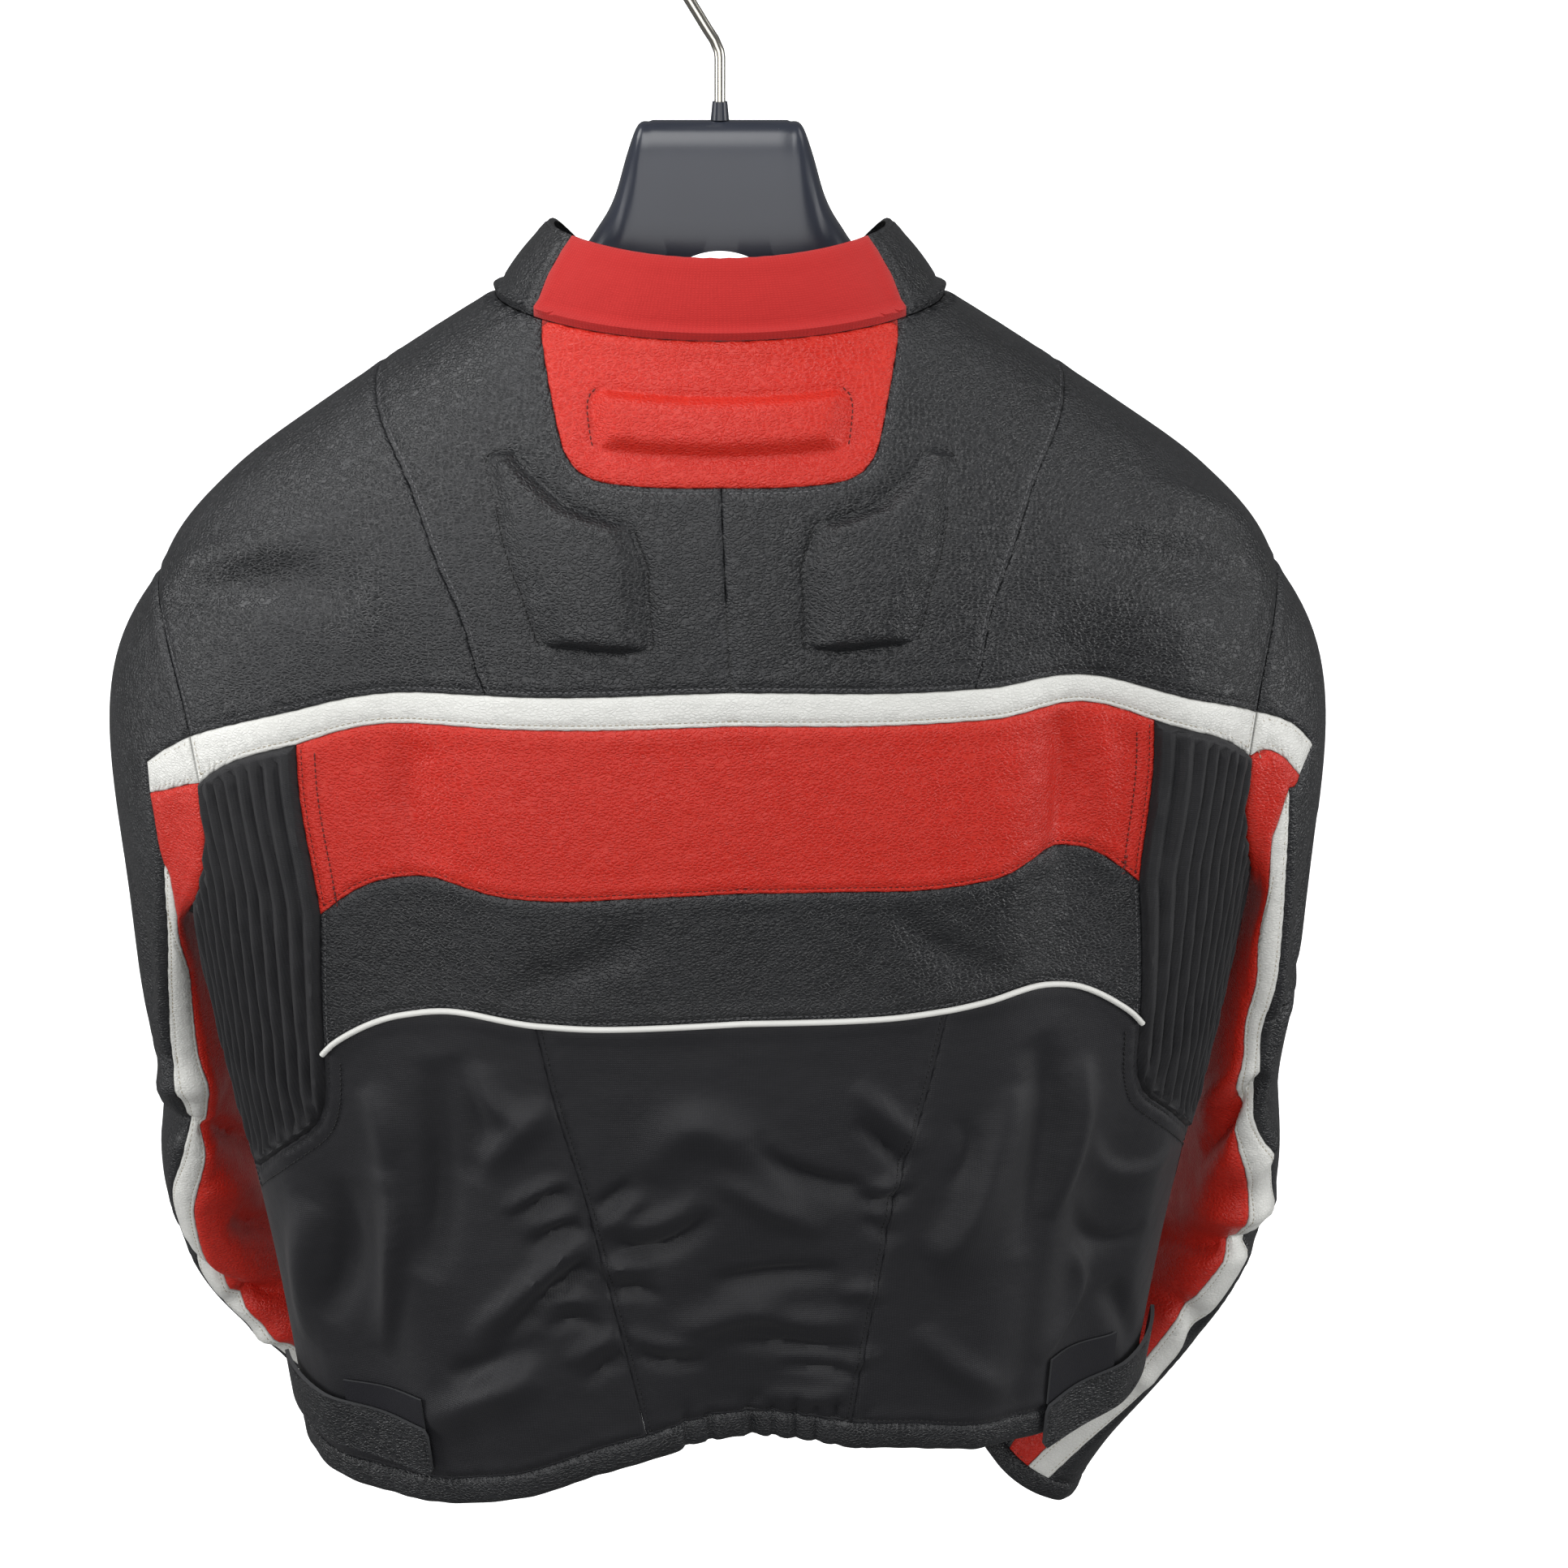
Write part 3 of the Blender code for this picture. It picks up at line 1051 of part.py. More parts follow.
def build_hook(foot, material, collection):
    """The wire: straight up, leaning to the left, then round over the rod."""
    lean = math.radians(HOOK_LEAN)
    start_angle = -math.asin((HOOK_CENTRE - 0.163) / HOOK_RADIUS)
    arc = [
        (HOOK_RADIUS * math.cos(angle), 0, HOOK_CENTRE + HOOK_RADIUS * math.sin(angle))
        for angle in np.linspace(start_angle, math.radians(HOOK_END), 24)
    ]
    bend = [(0, 0, HOOK_STRAIGHT_TOP - 0.006), (0.0004, 0, HOOK_STRAIGHT_TOP - 0.003)]
    bend.append((0.0028, 0, HOOK_STRAIGHT_TOP + 0.0025))
    bend.append((0.0028 + 0.006 * math.sin(lean), 0, HOOK_STRAIGHT_TOP + 0.0025 + 0.006 * math.cos(lean)))
    points = [(0, 0, foot)] + bend + arc
    tube("hanger_hook", [(x, y, z - HOOK_TO_NECK) for x, y, z in points], HOOK_WIRE, material, collection)


def make_materials():
    made = {}
    for name, (colour, roughness, metallic) in MATERIALS.items():
        material = bpy.data.materials.new(name)
        material.use_nodes = True
        shader = material.node_tree.nodes["Principled BSDF"]
        shader.inputs["Base Color"].default_value = (*colour, 1)
        shader.inputs["Roughness"].default_value = roughness
        shader.inputs["Metallic"].default_value = metallic
        material.diffuse_color = (*colour, 1)
        made[name] = material
    return made


def main():
    for obj in list(bpy.data.objects):
        bpy.data.objects.remove(obj)
    jacket = bpy.data.collections.new("motorcycle_jacket_on_hanger")
    cutters = bpy.data.collections.new("cutters")
    for collection in (jacket, cutters):
        bpy.context.scene.collection.children.link(collection)
    materials = make_materials()
    seams = torso_seams()
    build_back(seams, materials, jacket)
    build_lower_back(seams, materials, jacket)
    build_stretch(seams, materials, jacket)
    build_front(seams, materials, jacket)
    build_collar(seams, materials, jacket)
    build_hem(seams, materials, jacket)
    build_straps(materials, jacket)
    for side in ("left", "right"):
        build_sleeve(side, materials, jacket)
    build_zip_slider(materials, jacket, cutters)
    build_hanger(materials, jacket, cutters)
    bpy.context.view_layer.update()


main()
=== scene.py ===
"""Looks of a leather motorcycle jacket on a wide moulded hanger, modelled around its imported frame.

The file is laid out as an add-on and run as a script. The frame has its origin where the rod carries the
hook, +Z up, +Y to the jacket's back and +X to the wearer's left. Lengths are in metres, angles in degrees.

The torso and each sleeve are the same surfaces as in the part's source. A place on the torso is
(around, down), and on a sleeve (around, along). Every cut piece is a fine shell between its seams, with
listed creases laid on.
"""

import math

import bmesh
import bpy
import numpy as np
from mathutils import Matrix, Vector
from mathutils.geometry import delaunay_2d_cdt
from mathutils.kdtree import KDTree


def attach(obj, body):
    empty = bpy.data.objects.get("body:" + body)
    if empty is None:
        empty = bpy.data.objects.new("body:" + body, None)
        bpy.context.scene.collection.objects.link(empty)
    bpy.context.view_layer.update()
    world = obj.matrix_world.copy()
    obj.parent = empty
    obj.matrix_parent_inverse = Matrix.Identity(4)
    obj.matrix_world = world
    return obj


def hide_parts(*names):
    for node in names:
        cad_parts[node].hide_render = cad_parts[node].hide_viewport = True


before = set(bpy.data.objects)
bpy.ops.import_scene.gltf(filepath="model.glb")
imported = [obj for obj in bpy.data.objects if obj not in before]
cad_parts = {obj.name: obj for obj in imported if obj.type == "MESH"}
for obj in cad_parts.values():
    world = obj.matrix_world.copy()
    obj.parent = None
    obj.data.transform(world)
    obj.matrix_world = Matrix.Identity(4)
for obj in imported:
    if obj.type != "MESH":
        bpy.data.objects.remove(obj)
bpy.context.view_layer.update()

bl_info = {
    "name": "Motorcycle jacket looks",
    "version": (1, 0, 0),
    "blender": (4, 5, 0),
    "location": "3D View > Sidebar > Jacket",
    "description": "Dresses the packed frame of a leather motorcycle jacket on its hanger",
    "category": "Object",
}

BODY = "jacket"
SIDES = {"left": 1, "right": -1}

# Sizes shared with the solids
HOOK_TO_NECK = 0.197
BACK_LENGTH = 0.600
LEATHER = 0.0022
COLLAR_WALL = 0.0030
COLLAR_HEIGHT = 0.046
COLLAR_SEAM_LOW = 53.0
COLLAR_SEAM_TOP = 58.0
ZIP_HALF_OPENING = 0.009
ZIP_TAPE = 0.0012
HEM_ROLL_HEIGHT = 0.0165
HEM_ROLL_BULGE = 0.0022
CUFF_ROLL_HEIGHT = 0.0140
PIPING_RADIUS = 0.0016
RIB_PITCH = 2.6
RIB_RELIEF = 0.0031
LAY_CLEARANCE = 0.0012

# Foam pads under the neck panel and the yokes. The rings are where the mesh follows a pad's edge.
PAD_RAISE = 0.0060
PAD_SUNK = 0.0004
PAD_EDGE = 0.0066
PAD_CORNER = 0.0075
PAD_EASE = (0.55, 1.0)
PAD_CROWN = 0.0010
PAD_CROWN_REACH = 0.012
PAD_DENT = 0.0010
PAD_DENT_WIDTH = 0.0016
PAD_RINGS = (-0.0024, -0.0012, 0.0, 0.0009, 0.0019, 0.0030, 0.0042, 0.0056, 0.0080)
PAD_RING_STEP = 0.0032
PAD_STITCHES_OUT = 0.0012
UPRIGHT_SLOPE = 1.2

# The ribs of the accordion panels lean and swell a little along their length, and fade at the seams.
RIB_LEAN = 0.03
RIB_LEAN_LENGTH = 0.011
RIB_SWELL = 0.10
RIB_SWELL_LENGTH = 0.0042
RIB_FADE = 0.0018
RIB_LINES = range(-10, 128)
RIB_INNER_EDGE = ((0.20, 45.0), (0.304, 45.0), (0.377, 48.5), (0.402, 50.5), (0.47, 52.0))

# A soft ridge and a groove run round the collar above its seam: height, place, width
COLLAR_RIDGE = (0.0024, 0.0040, 0.0020)
COLLAR_GROOVE = (0.0007, 0.0085, 0.0012)

# Torso rings. `back_y`, `mid_y` and `front_y` are where a ring is rearmost, widest and foremost, and `twist`
# turns it about the vertical, because the jacket hangs a little askew.
# down, back_z, side_z, front_z, half_width, back_y, mid_y, front_y, squareness, twist
TORSO_RINGS = np.array([
    (0.000, 0.000, 0.010, -0.064, 0.116, 0.084, 0.000, -0.084, 2.1, 0.0),
    (0.040, -0.038, -0.018, -0.092, 0.162, 0.101, 0.000, -0.098, 2.0, 0.0),
    (0.080, -0.077, -0.047, -0.122, 0.207, 0.116, 0.000, -0.110, 2.0, 0.5),
    (0.130, -0.126, -0.083, -0.162, 0.257, 0.128, 0.004, -0.122, 2.1, 1.5),
    (0.180, -0.175, -0.123, -0.200, 0.291, 0.135, 0.010, -0.130, 2.2, 2.5),
    (0.240, -0.235, -0.190, -0.248, 0.300, 0.139, 0.020, -0.136, 2.3, 4.0),
    (0.300, -0.295, -0.268, -0.302, 0.292, 0.140, 0.028, -0.139, 2.3, 5.0),
    (0.370, -0.365, -0.352, -0.367, 0.280, 0.140, 0.030, -0.140, 2.3, 5.0),
    (0.450, -0.445, -0.440, -0.445, 0.266, 0.140, 0.030, -0.140, 2.3, 5.0),
    (0.530, -0.525, -0.525, -0.525, 0.254, 0.139, 0.026, -0.139, 2.3, 6.0),
    (0.600, -0.598, -0.600, -0.598, 0.246, 0.138, 0.022, -0.138, 2.3, 7.0),
    (0.650, -0.648, -0.650, -0.648, 0.241, 0.137, 0.020, -0.137, 2.3, 7.5),
])

# Top edge of the collar, read as a ring like those above.
# half_width, back_y, front_y, back_z, side_z, front_z, squareness, outward bow halfway up
COLLAR_TOP = (0.087, 0.067, -0.0835, 0.038, 0.047, -0.018, 2.1, 0.0025)

# Broad folds of the hanging torso: troughs are negative. `lift` pulls the cloth up within the fold.
# around, half_width, top, bottom, depth, lift
TORSO_FOLDS = (
    (34, 15, 0.12, 0.42, -0.009, 0.000),
    (-37, 14, 0.10, 0.42, -0.016, 0.005),
    (52, 13, 0.36, 0.68, -0.010, 0.000),
    (-50, 13, 0.36, 0.68, -0.012, 0.000),
    (0, 12, 0.45, 0.75, -0.010, 0.000),
    (26, 9, 0.42, 0.72, 0.006, 0.000),
    (-27, 9, 0.42, 0.72, 0.006, 0.000),
    (128, 13, 0.22, 0.70, -0.010, 0.000),
    (-131, 14, 0.20, 0.68, -0.011, 0.000),
    (152, 11, 0.30, 0.72, 0.006, 0.000),
    (-156, 11, 0.28, 0.72, 0.006, 0.000),
)

# The armhole is an oval on the torso: around 0 is its top, 90 its rear and 180 the armpit.
ARMHOLE_AROUND = 92.0
ARMHOLE_DOWN = 0.262
ARMHOLE_HALF_WIDTH = 27.0
ARMHOLE_HALF_HEIGHT = 0.072
ARMHOLE_LIFT = 0.0006
ARMHOLE_STEP = 3.0

# Level sections of each sleeve below the armpit, with x outward from the middle of the back.
# along, x, y, z, half_thickness, half_depth
SLEEVE_SECTIONS = {
    "left": np.array([
        (0.150, 0.309, -0.052, -0.360, 0.025, 0.087),
        (0.230, 0.303, -0.070, -0.440, 0.026, 0.084),
        (0.320, 0.307, -0.090, -0.528, 0.029, 0.078),
        (0.385, 0.295, -0.106, -0.590, 0.030, 0.072),
        (0.460, 0.255, -0.123, -0.655, 0.031, 0.066),
        (0.560, 0.196, -0.138, -0.735, 0.031, 0.062),
    ]),
    "right": np.array([
        (0.150, 0.308, -0.054, -0.360, 0.025, 0.087),
        (0.230, 0.303, -0.072, -0.440, 0.026, 0.084),
        (0.320, 0.308, -0.090, -0.528, 0.029, 0.078),
        (0.390, 0.293, -0.102, -0.597, 0.030, 0.072),
        (0.470, 0.254, -0.108, -0.668, 0.031, 0.066),
        (0.520, 0.222, -0.109, -0.711, 0.034, 0.063),
        (0.570, 0.194, -0.108, -0.757, 0.037, 0.060),
    ]),
}
SHOULDER_RUN = 0.150
CAP_BULGE = 0.022
SIDE_BULGE = 0.007
REAR_BULGE = 0.006
SHOULDER_EASE = 0.030
CUFF_ALONG = {"left": 0.545, "right": 0.555}
ELBOW_ALONG = {"left": 0.190, "right": 0.165}

# Seams of the torso's left half, as (around, down). The right half mirrors them.
TORSO_SEAMS = {
    "neck_back": ((0, 0), (49, 0)),
    "neck_corner": ((49, 0), (COLLAR_SEAM_LOW, 0)),
    "neck_side": ((COLLAR_SEAM_LOW, 0), (96, 0)),
    "neck_panel_edge": (
        (49, 0), (39, 0.018), (32.5, 0.034), (27.5, 0.050), (24.5, 0.060), (20.5, 0.068), (15, 0.0705),
        (0, 0.0695),
    ),
    "centre_back": ((0, 0.0695), (0, 0.170)),
    "band_top_inner": ((0, 0.170), (7, 0.172), (22.5, 0.180)),
    "princess": ((22.5, 0.180), (30, 0.136), (46, 0.090), (70, 0.062), (92, 0.052), (100, 0.050)),
    "shoulder_inner": ((96, 0), (100, 0.050)),
    "shoulder_outer": ((100, 0.050), (103, 0.120), (105.5, 0.19965)),
    "band_low_inner": ((0, 0.187), (7, 0.189), (22, 0.196), (31.5, 0.203), (38, 0.212), (45, 0.226)),
    "red_end": ((45, 0.226), (45, 0.304)),
    "red_low": (
        (0, 0.275), (8, 0.277), (15, 0.280), (22, 0.280), (29.5, 0.277), (35.5, 0.282), (40, 0.290),
        (45, 0.304),
    ),
    "black_end": ((45, 0.304), (48.5, 0.377)),
    "piping_inner": ((0, 0.346), (12, 0.348), (19, 0.347)),
    "piping_outer": ((19, 0.347), (28, 0.344), (35, 0.349), (40, 0.356), (45.5, 0.368), (48.5, 0.377)),
    "stretch_low": ((48.5, 0.377), (50.5, 0.402), (54, 0.420), (60, 0.434), (68, 0.449), (76.5, 0.462)),
}
BAND_TOP_OUTER = ((22.5, 0.180), (31, 0.187), (38, 0.197), (46, 0.212), (55, 0.227))
BAND_LOW_OUTER = ((45, 0.226), (55, 0.243))
STRETCH_OUTER = ((76.5, 0.462), (80, 0.416), (81, 0.360))
LOWER_SEAM = ((19, 0.347), (17.5, 0.395), (15, 0.450), (13.5, 0.500), (12, 0.545))
SIDE_SEAM_LOW = (101, 0.450)
LOWER_SEAM_HEM = 10.5
SIDE_SEAM_HEM = 103.0
ARMHOLE_BAND_TOP = 75
ARMHOLE_BAND_LOW = 90
ARMHOLE_STRETCH = 150
ARMHOLE_SIDE_SEAM = 195
ARMHOLE_SHOULDER = 330

# Lower edge of the torso's panels, above the rolled hem, for the whole way round.
# around, down
HEM_LINE = np.array([
    (-180, 0.595), (-140, 0.598), (-103, 0.609), (-60, 0.611), (-40, 0.605), (-20, 0.596), (-5, 0.587),
    (0, 0.584), (10.5, 0.590), (20, 0.602), (34, 0.618), (60, 0.623), (103, 0.615), (140, 0.601),
    (180, 0.595),
], dtype=float)

# Both edges of the stripe down the rear of each sleeve, below the seam where it starts.
# along, outer edge, inner edge
STRIPE = {
    "left": np.array([
        (0.0575, 86, 112), (0.070, 88, 113), (0.100, 91, 118), (0.130, 91, 121), (0.155, 90, 117),
        (0.190, 83, 110), (0.235, 87, 108), (0.265, 82, 106), (0.300, 62, 90), (0.340, 54, 80),
        (0.400, 56, 80), (0.460, 64, 88), (0.560, 84, 106),
    ]),
    "right": np.array([
        (0.0425, 72, 100), (0.054, 76, 107), (0.075, 80, 120), (0.100, 81, 118), (0.135, 84, 109),
        (0.170, 92, 112), (0.200, 86, 104), (0.235, 86, 110), (0.270, 68, 96), (0.310, 56, 88),
        (0.340, 54, 88), (0.400, 66, 96), (0.460, 66, 94), (0.570, 90, 108),
    ]),
}
STRIPE_TOP = {
    "left": ((86, 0.0575), (95, 0.060), (104, 0.064), (113, 0.070)),
    "right": ((72, 0.0425), (82, 0.0445), (92, 0.0475), (107, 0.054)),
}
SLEEVE_BAND_TOP = {
    "left": ((75, 0.0), (71, 0.010), (66, 0.022), (61, 0.034)),
    "right": ((75, 0.0), (59, 0.0265), (52.5, 0.0385), (46, 0.050)),
}
SLEEVE_BAND_LOW = {
    "left": ((90, 0.0), (77, 0.026), (67.5, 0.041)),
    "right": ((90, 0.0), (76, 0.0185), (62, 0.0475)),
}
RED_FOLD = {
    "left": ((67.5, 0.041), (74.5, 0.0465), (81.5, 0.0545), (86, 0.0575)),
    "right": ((62, 0.0475), (66, 0.0480), (72, 0.0425)),
}
# The seam between the red and the inner panel. It lies further round than the solids' seam above the cuff, so
# that no black shows between the red and the body.
RED_INNER_TOP = 172.0
RED_INNER_LOW = 156.0
RED_INNER_CUFF = 130.0
OUTER_FRONT = 285.0

# Raised shapes, as corners (around, down).
NECK_PAD = ((-26, 0.026), (26, 0.026), (20, 0.0555), (-20, 0.0555))
YOKE_PAD = (
    (37, 0.067), (33, 0.0625), (28, 0.072), (21, 0.083), (12, 0.089), (9, 0.108), (7, 0.149), (10, 0.152),
    (18, 0.152), (22, 0.127), (30.5, 0.089),
)

# Waist straps. The right strap hangs a little lower.
# side, around at free end, around at fixed end, down of middle at free end, at fixed end
STRAPS = (("left", 41.5, 84.0, 0.603, 0.592), ("right", 40.5, 84.0, 0.614, 0.598))
STRAP_WIDTH = 0.028
STRAP_THICK = 0.0022
PATCH_WIDTH = 0.028
PATCH_THICK = 0.0012
PATCH_REACH = 19.0
PATCH_DOWN = 0.587

# Hanger, as sections across its width. `taper` narrows a section's top.
# across, top, bottom, half_depth, taper
HANGER_SECTIONS = np.array([
    (0.0000, 0.0960, -0.040, 0.031, 0.42),
    (0.0340, 0.0955, -0.040, 0.031, 0.42),
    (0.0425, 0.0920, -0.040, 0.031, 0.42),
    (0.0470, 0.0800, -0.041, 0.031, 0.40),
    (0.0530, 0.0600, -0.042, 0.031, 0.36),
    (0.0640, 0.0400, -0.044, 0.031, 0.30),
    (0.0800, 0.0200, -0.048, 0.031, 0.22),
    (0.1020, 0.0000, -0.054, 0.032, 0.15),
    (0.1350, -0.0220, -0.066, 0.034, 0.10),
    (0.1700, -0.0440, -0.084, 0.036, 0.08),
    (0.2000, -0.0640, -0.104, 0.036, 0.08),
    (0.2150, -0.0760, -0.110, 0.032, 0.08),
    (0.2220, -0.0870, -0.108, 0.022, 0.08),
])
HANGER_HOLE_Z = 0.010
HANGER_HOLE_HALF_WIDTH = 0.030
HANGER_HOLE_HALF_HEIGHT = 0.024
HANGER_RECESS_MARGIN = 0.008
BOSS_HEIGHT = 0.009
HOOK_WIRE = 0.00275
HOOK_STRAIGHT_TOP = 0.133
HOOK_LEAN = 34.0
HOOK_RADIUS = 0.024
HOOK_CENTRE = 0.17575
HOOK_END = 212.0

# How the cloth is finished at its seams
HALF_GAP = 0.00002
ROLL_RADIUS = 0.0021
ROLL_DROP = 0.0014
SEAM_PUFF = 0.0007
PUFF_PLACE = 0.0052
PUFF_WIDTH = 0.0030
RIM_RINGS = (0.0005, 0.0011, 0.0018, 0.0026, 0.0036)
STITCH_OFFSET = 0.0026
ROW_APART = 0.0067
SECOND_ROW_UP = 0.0006
STITCH_GROOVE = 0.0007
GROOVE_WIDTH = 0.0009
THREAD_RISE = 0.00035
THREAD_AIM = 0.0008
DENSE_STEP = 0.0008
# How far the seam attribute reaches. The leather paints from it its wear, a highlight along the seams and a
# shade line where edges meet.
SEAM_WEAR_AND_LIGHT_WIDTH = 0.0022
RING_TO_RIM = 0.004

# Small wrinkles across the rolled edges: height, length of one, how far it wanders, length of the wander
ROLL_WRINKLES = ((0.00028, 0.0057, 1.3, 0.031), (0.00022, 0.0029, 2.1, 0.017))

# Zip teeth: half sizes across, along and through the tape, and how much narrower the outer end is
TOOTH_HALF = (0.0021, 0.0009, 0.0012)
TOOTH_TAPER = 0.82
TOOTH_ACROSS = 0.0012

# The hook's wire bends back a little above its straight run before it starts round.
HOOK_BEND = 0.0028
HOOK_SLOPE = 0.006
HOOK_START_Z = 0.163
HANGER_CAP_HALF_WIDTH = 0.034

# The camera stands behind the jacket, level with the yokes, and looks down a little.
CAMERA_LENS = 63.35
CAMERA_SENSOR = 36.0
CAMERA_SHIFT = 0.0409
CAMERA_PITCH = 20.123
CAMERA_BACK = 1.4268
CAMERA_UP = 0.064
LIGHTS_AIM = (0, 0, -0.45)

# place, size, and the setting that holds its power
SOFT_BOXES = {
    "top_soft_box": ((0.15, 0.75, 1.05), 0.8, "top_power"),
    "front_soft_box": ((0.3, 2.7, 0.3), 2.6, "front_power"),
    "left_shoulder_box": ((1.25, -0.1, 1.15), 0.9, "left_shoulder_power"),
    "right_shoulder_box": ((-1.25, -0.1, 1.15), 0.9, "right_shoulder_power"),
    "left_soft_box": ((2.3, 0.5, -0.3), 1.4, "side_power"),
    "right_soft_box": ((-2.3, 0.5, -0.3), 1.4, "side_power"),
}

# Creases of the torso's cloth, each a soft curve through three places. `lean` sharpens one flank and softens
# the other. Heights are proud of the panel, so troughs are negative. Places are (around, down in mm).
# start around, down, middle around, down, end around, down, half_width mm, height mm, lean
TORSO_CREASES = (
    # left of the left lower seam: puckers that run up to it, and long hanging folds
    (28, 431, 22.3, 409, 18.3, 389, 9, 2.4, 0.2),
    (25, 455, 21.8, 444, 17.2, 434, 5, 1.9, 0.3),
    (24, 459, 19.7, 447, 16.7, 442, 4, -1.7, 0),
    (22.2, 466, 19, 457, 16.2, 454, 5, 1.8, 0.2),
    (22.4, 478, 18.9, 466, 15.7, 462, 4, -1.6, 0),
    (32.8, 534, 20, 485, 16.3, 470, 8, 3, 0.3),
    (29, 540, 19.3, 498, 15.2, 485, 6, -2.3, 0),
    (23.5, 515, 18.7, 505, 15.4, 511, 5, 1.8, 0.2),
    (21.5, 526, 18, 519, 15, 525, 4, -1.4, 0),
    (19.3, 546, 15.8, 533, 12.6, 526, 6, 2, 0.2),
    (17.5, 558, 14, 545, 12.4, 540, 4, -1.6, 0),
    (42, 588, 30.6, 562, 22.8, 547, 12, 3.4, 0.2),
    (36, 560, 30, 547, 21.5, 530, 9, -2.4, 0),
    (41, 436, 43, 489, 52, 553, 9, 3.6, 0.3),
    (32, 372, 33, 442, 38, 500, 12, -3.4, 0),
    (42.5, 392, 40.5, 415, 42, 450, 9, 2.2, 0),
    (26.5, 371, 25, 392, 20.5, 402, 9, 2.2, 0.2),
    (29.5, 368, 27, 408, 29.5, 440, 7, -1.9, 0),
    (52, 452, 55, 500, 62, 540, 10, -2.6, 0),
    (60, 470, 66, 510, 70, 560, 12, 2.8, 0),
    # between the left seam and the middle
    (14.4, 452, 12, 445, 10, 436, 4, -1.6, 0),
    (14.2, 466, 11.3, 454, 8.6, 444, 5, 1.7, 0.2),
    (13.4, 459, 7.6, 459, 3.5, 444, 7, 1.8, 0.2),
    (12.6, 472, 7, 476, 2.2, 454, 5.5, -2.7, 0.2),
    (14.2, 491, 11.6, 485, 8.4, 488, 6, 2.2, 0.3),
    (13.8, 505, 10.8, 501, 7.8, 508, 4.5, -1.9, 0),
    (11.4, 526, 7.8, 535, 3, 539, 5, 1.5, 0),
    (11.2, 538, 8, 547, 3.4, 550, 4, -1.7, 0),
    # the middle
    (8.5, 436, 2.5, 404, -4.5, 462, 15, 3.2, 0.2),
    (2, 433, -2.3, 454, -7.5, 470, 8, 2, 0),
    (-0.6, 408, -4.5, 436, -13.5, 446, 8, -2.9, 0.3),
    (2.8, 499, -2.7, 497, -9, 495, 7, -2.5, 0.2),
    (7.4, 530, 2, 522, -3.8, 512, 11, 2.4, 0),
    (0, 518, -5, 526, -11.6, 527, 8, 1.8, 0),
    (1.4, 538, -5, 543, -11.6, 543, 4.5, -1.9, 0.2),
    (-2.4, 556, -7.5, 557, -12, 562, 4, -1.5, 0),
    (-1, 572, -6, 574, -10, 570, 6, 1.4, 0),
    # puckers beside the right lower seam
    (-9.6, 385, -13.5, 404, -18, 426, 7, 2, 0.2),
    (-9.8, 406, -13.6, 425, -17.4, 446, 5, -1.9, 0),
    (-10.6, 440, -13.6, 445, -17, 433, 5, 1.7, 0.2),
    (-10.6, 451, -13.8, 456, -16.8, 447, 4, -1.9, 0),
    (-11, 465, -13.4, 472, -15.6, 479, 5, -1.4, 0),
    (-9, 513, -11.5, 508, -13.9, 516, 6, 1.6, 0),
    (-10, 556, -12, 550, -13, 545, 4, 1.2, 0),
    # right of it: long hanging folds and the arcs below the stretch panel
    (-19.4, 492, -24.4, 467, -28.8, 398, 15, 4, 0.3),
    (-31, 372, -34, 424, -32.5, 500, 12, -3.4, 0),
    (-38, 388, -40.5, 429, -37.5, 482, 9, 2.6, 0.2),
    (-43, 436, -54, 468, -66, 462, 8, 1.4, 0.3),
    (-42.5, 476, -52, 510, -62, 506, 7, -1.6, 0.3),
    (-44, 508, -49, 537, -38, 572, 8, 2.6, 0.2),
    (-56, 540, -60, 560, -66, 590, 9, -2.2, 0),
    (-19, 535, -24, 560, -33, 585, 9, 1.8, 0),
    (-21, 410, -23.5, 430, -21, 452, 5, -1.2, 0),
    # soft folds of the leather above
    (40, 150, 56, 160, 74, 196, 16, -3, 0.2),
    (52, 128, 62, 150, 78, 178, 12, 2.2, 0),
    (-42, 130, -56, 150, -70, 190, 16, -2.6, 0.2),
    (-60, 112, -70, 135, -82, 162, 13, 2, 0),
    (-31.5, 208, -33.5, 245, -32, 286, 9, -2.6, 0.3),
    (-37, 215, -39, 250, -38, 290, 9, 1.8, 0),
    (30, 210, 31, 240, 28, 276, 11, -1.6, 0),
    (8, 290, 12, 312, 22, 330, 12, -1.3, 0),
    (-14, 286, -17, 312, -28, 338, 10, -1.6, 0),
    # the fronts
    (118, 110, 128, 160, 140, 230, 16, -3, 0.2),
    (-116, 112, -127, 165, -138, 225, 15, -2.8, 0.2),
    (120, 330, 134, 372, 150, 388, 10, -2.8, 0.2),
    (124, 350, 138, 396, 156, 410, 8, 2.2, 0),
    (-122, 345, -136, 380, -154, 398, 9, -2.6, 0.2),
    (-118, 420, -132, 452, -150, 462, 8, 2.4, 0.2),
    (116, 470, 130, 500, 148, 508, 8, -2.4, 0),
    (-124, 500, -140, 530, -158, 528, 7, -2.2, 0),
    (122, 540, 138, 552, 156, 566, 9, 2, 0),
    (-118, 250, -126, 285, -142, 300, 11, 2.2, 0),
)

# Short gathers just above the hem, where it is drawn in at the middle of the back: around, length mm
HEM_GATHERS = ((5.6, 16), (3.0, 12), (-0.6, 20), (-2.6, 14), (-4.8, 18), (-7.0, 12), (-9.2, 16), (-12.4, 11))

# Places where the hem's roll is drawn in: around, half_width, depth.
HEM_PINCHES = ((-0.6, 0.0030, 0.0012), (5.6, 0.0040, 0.0006), (-7.0, 0.0040, 0.0006), (22.0, 0.0050, 0.0005),
               (-24.0, 0.0060, 0.0005))

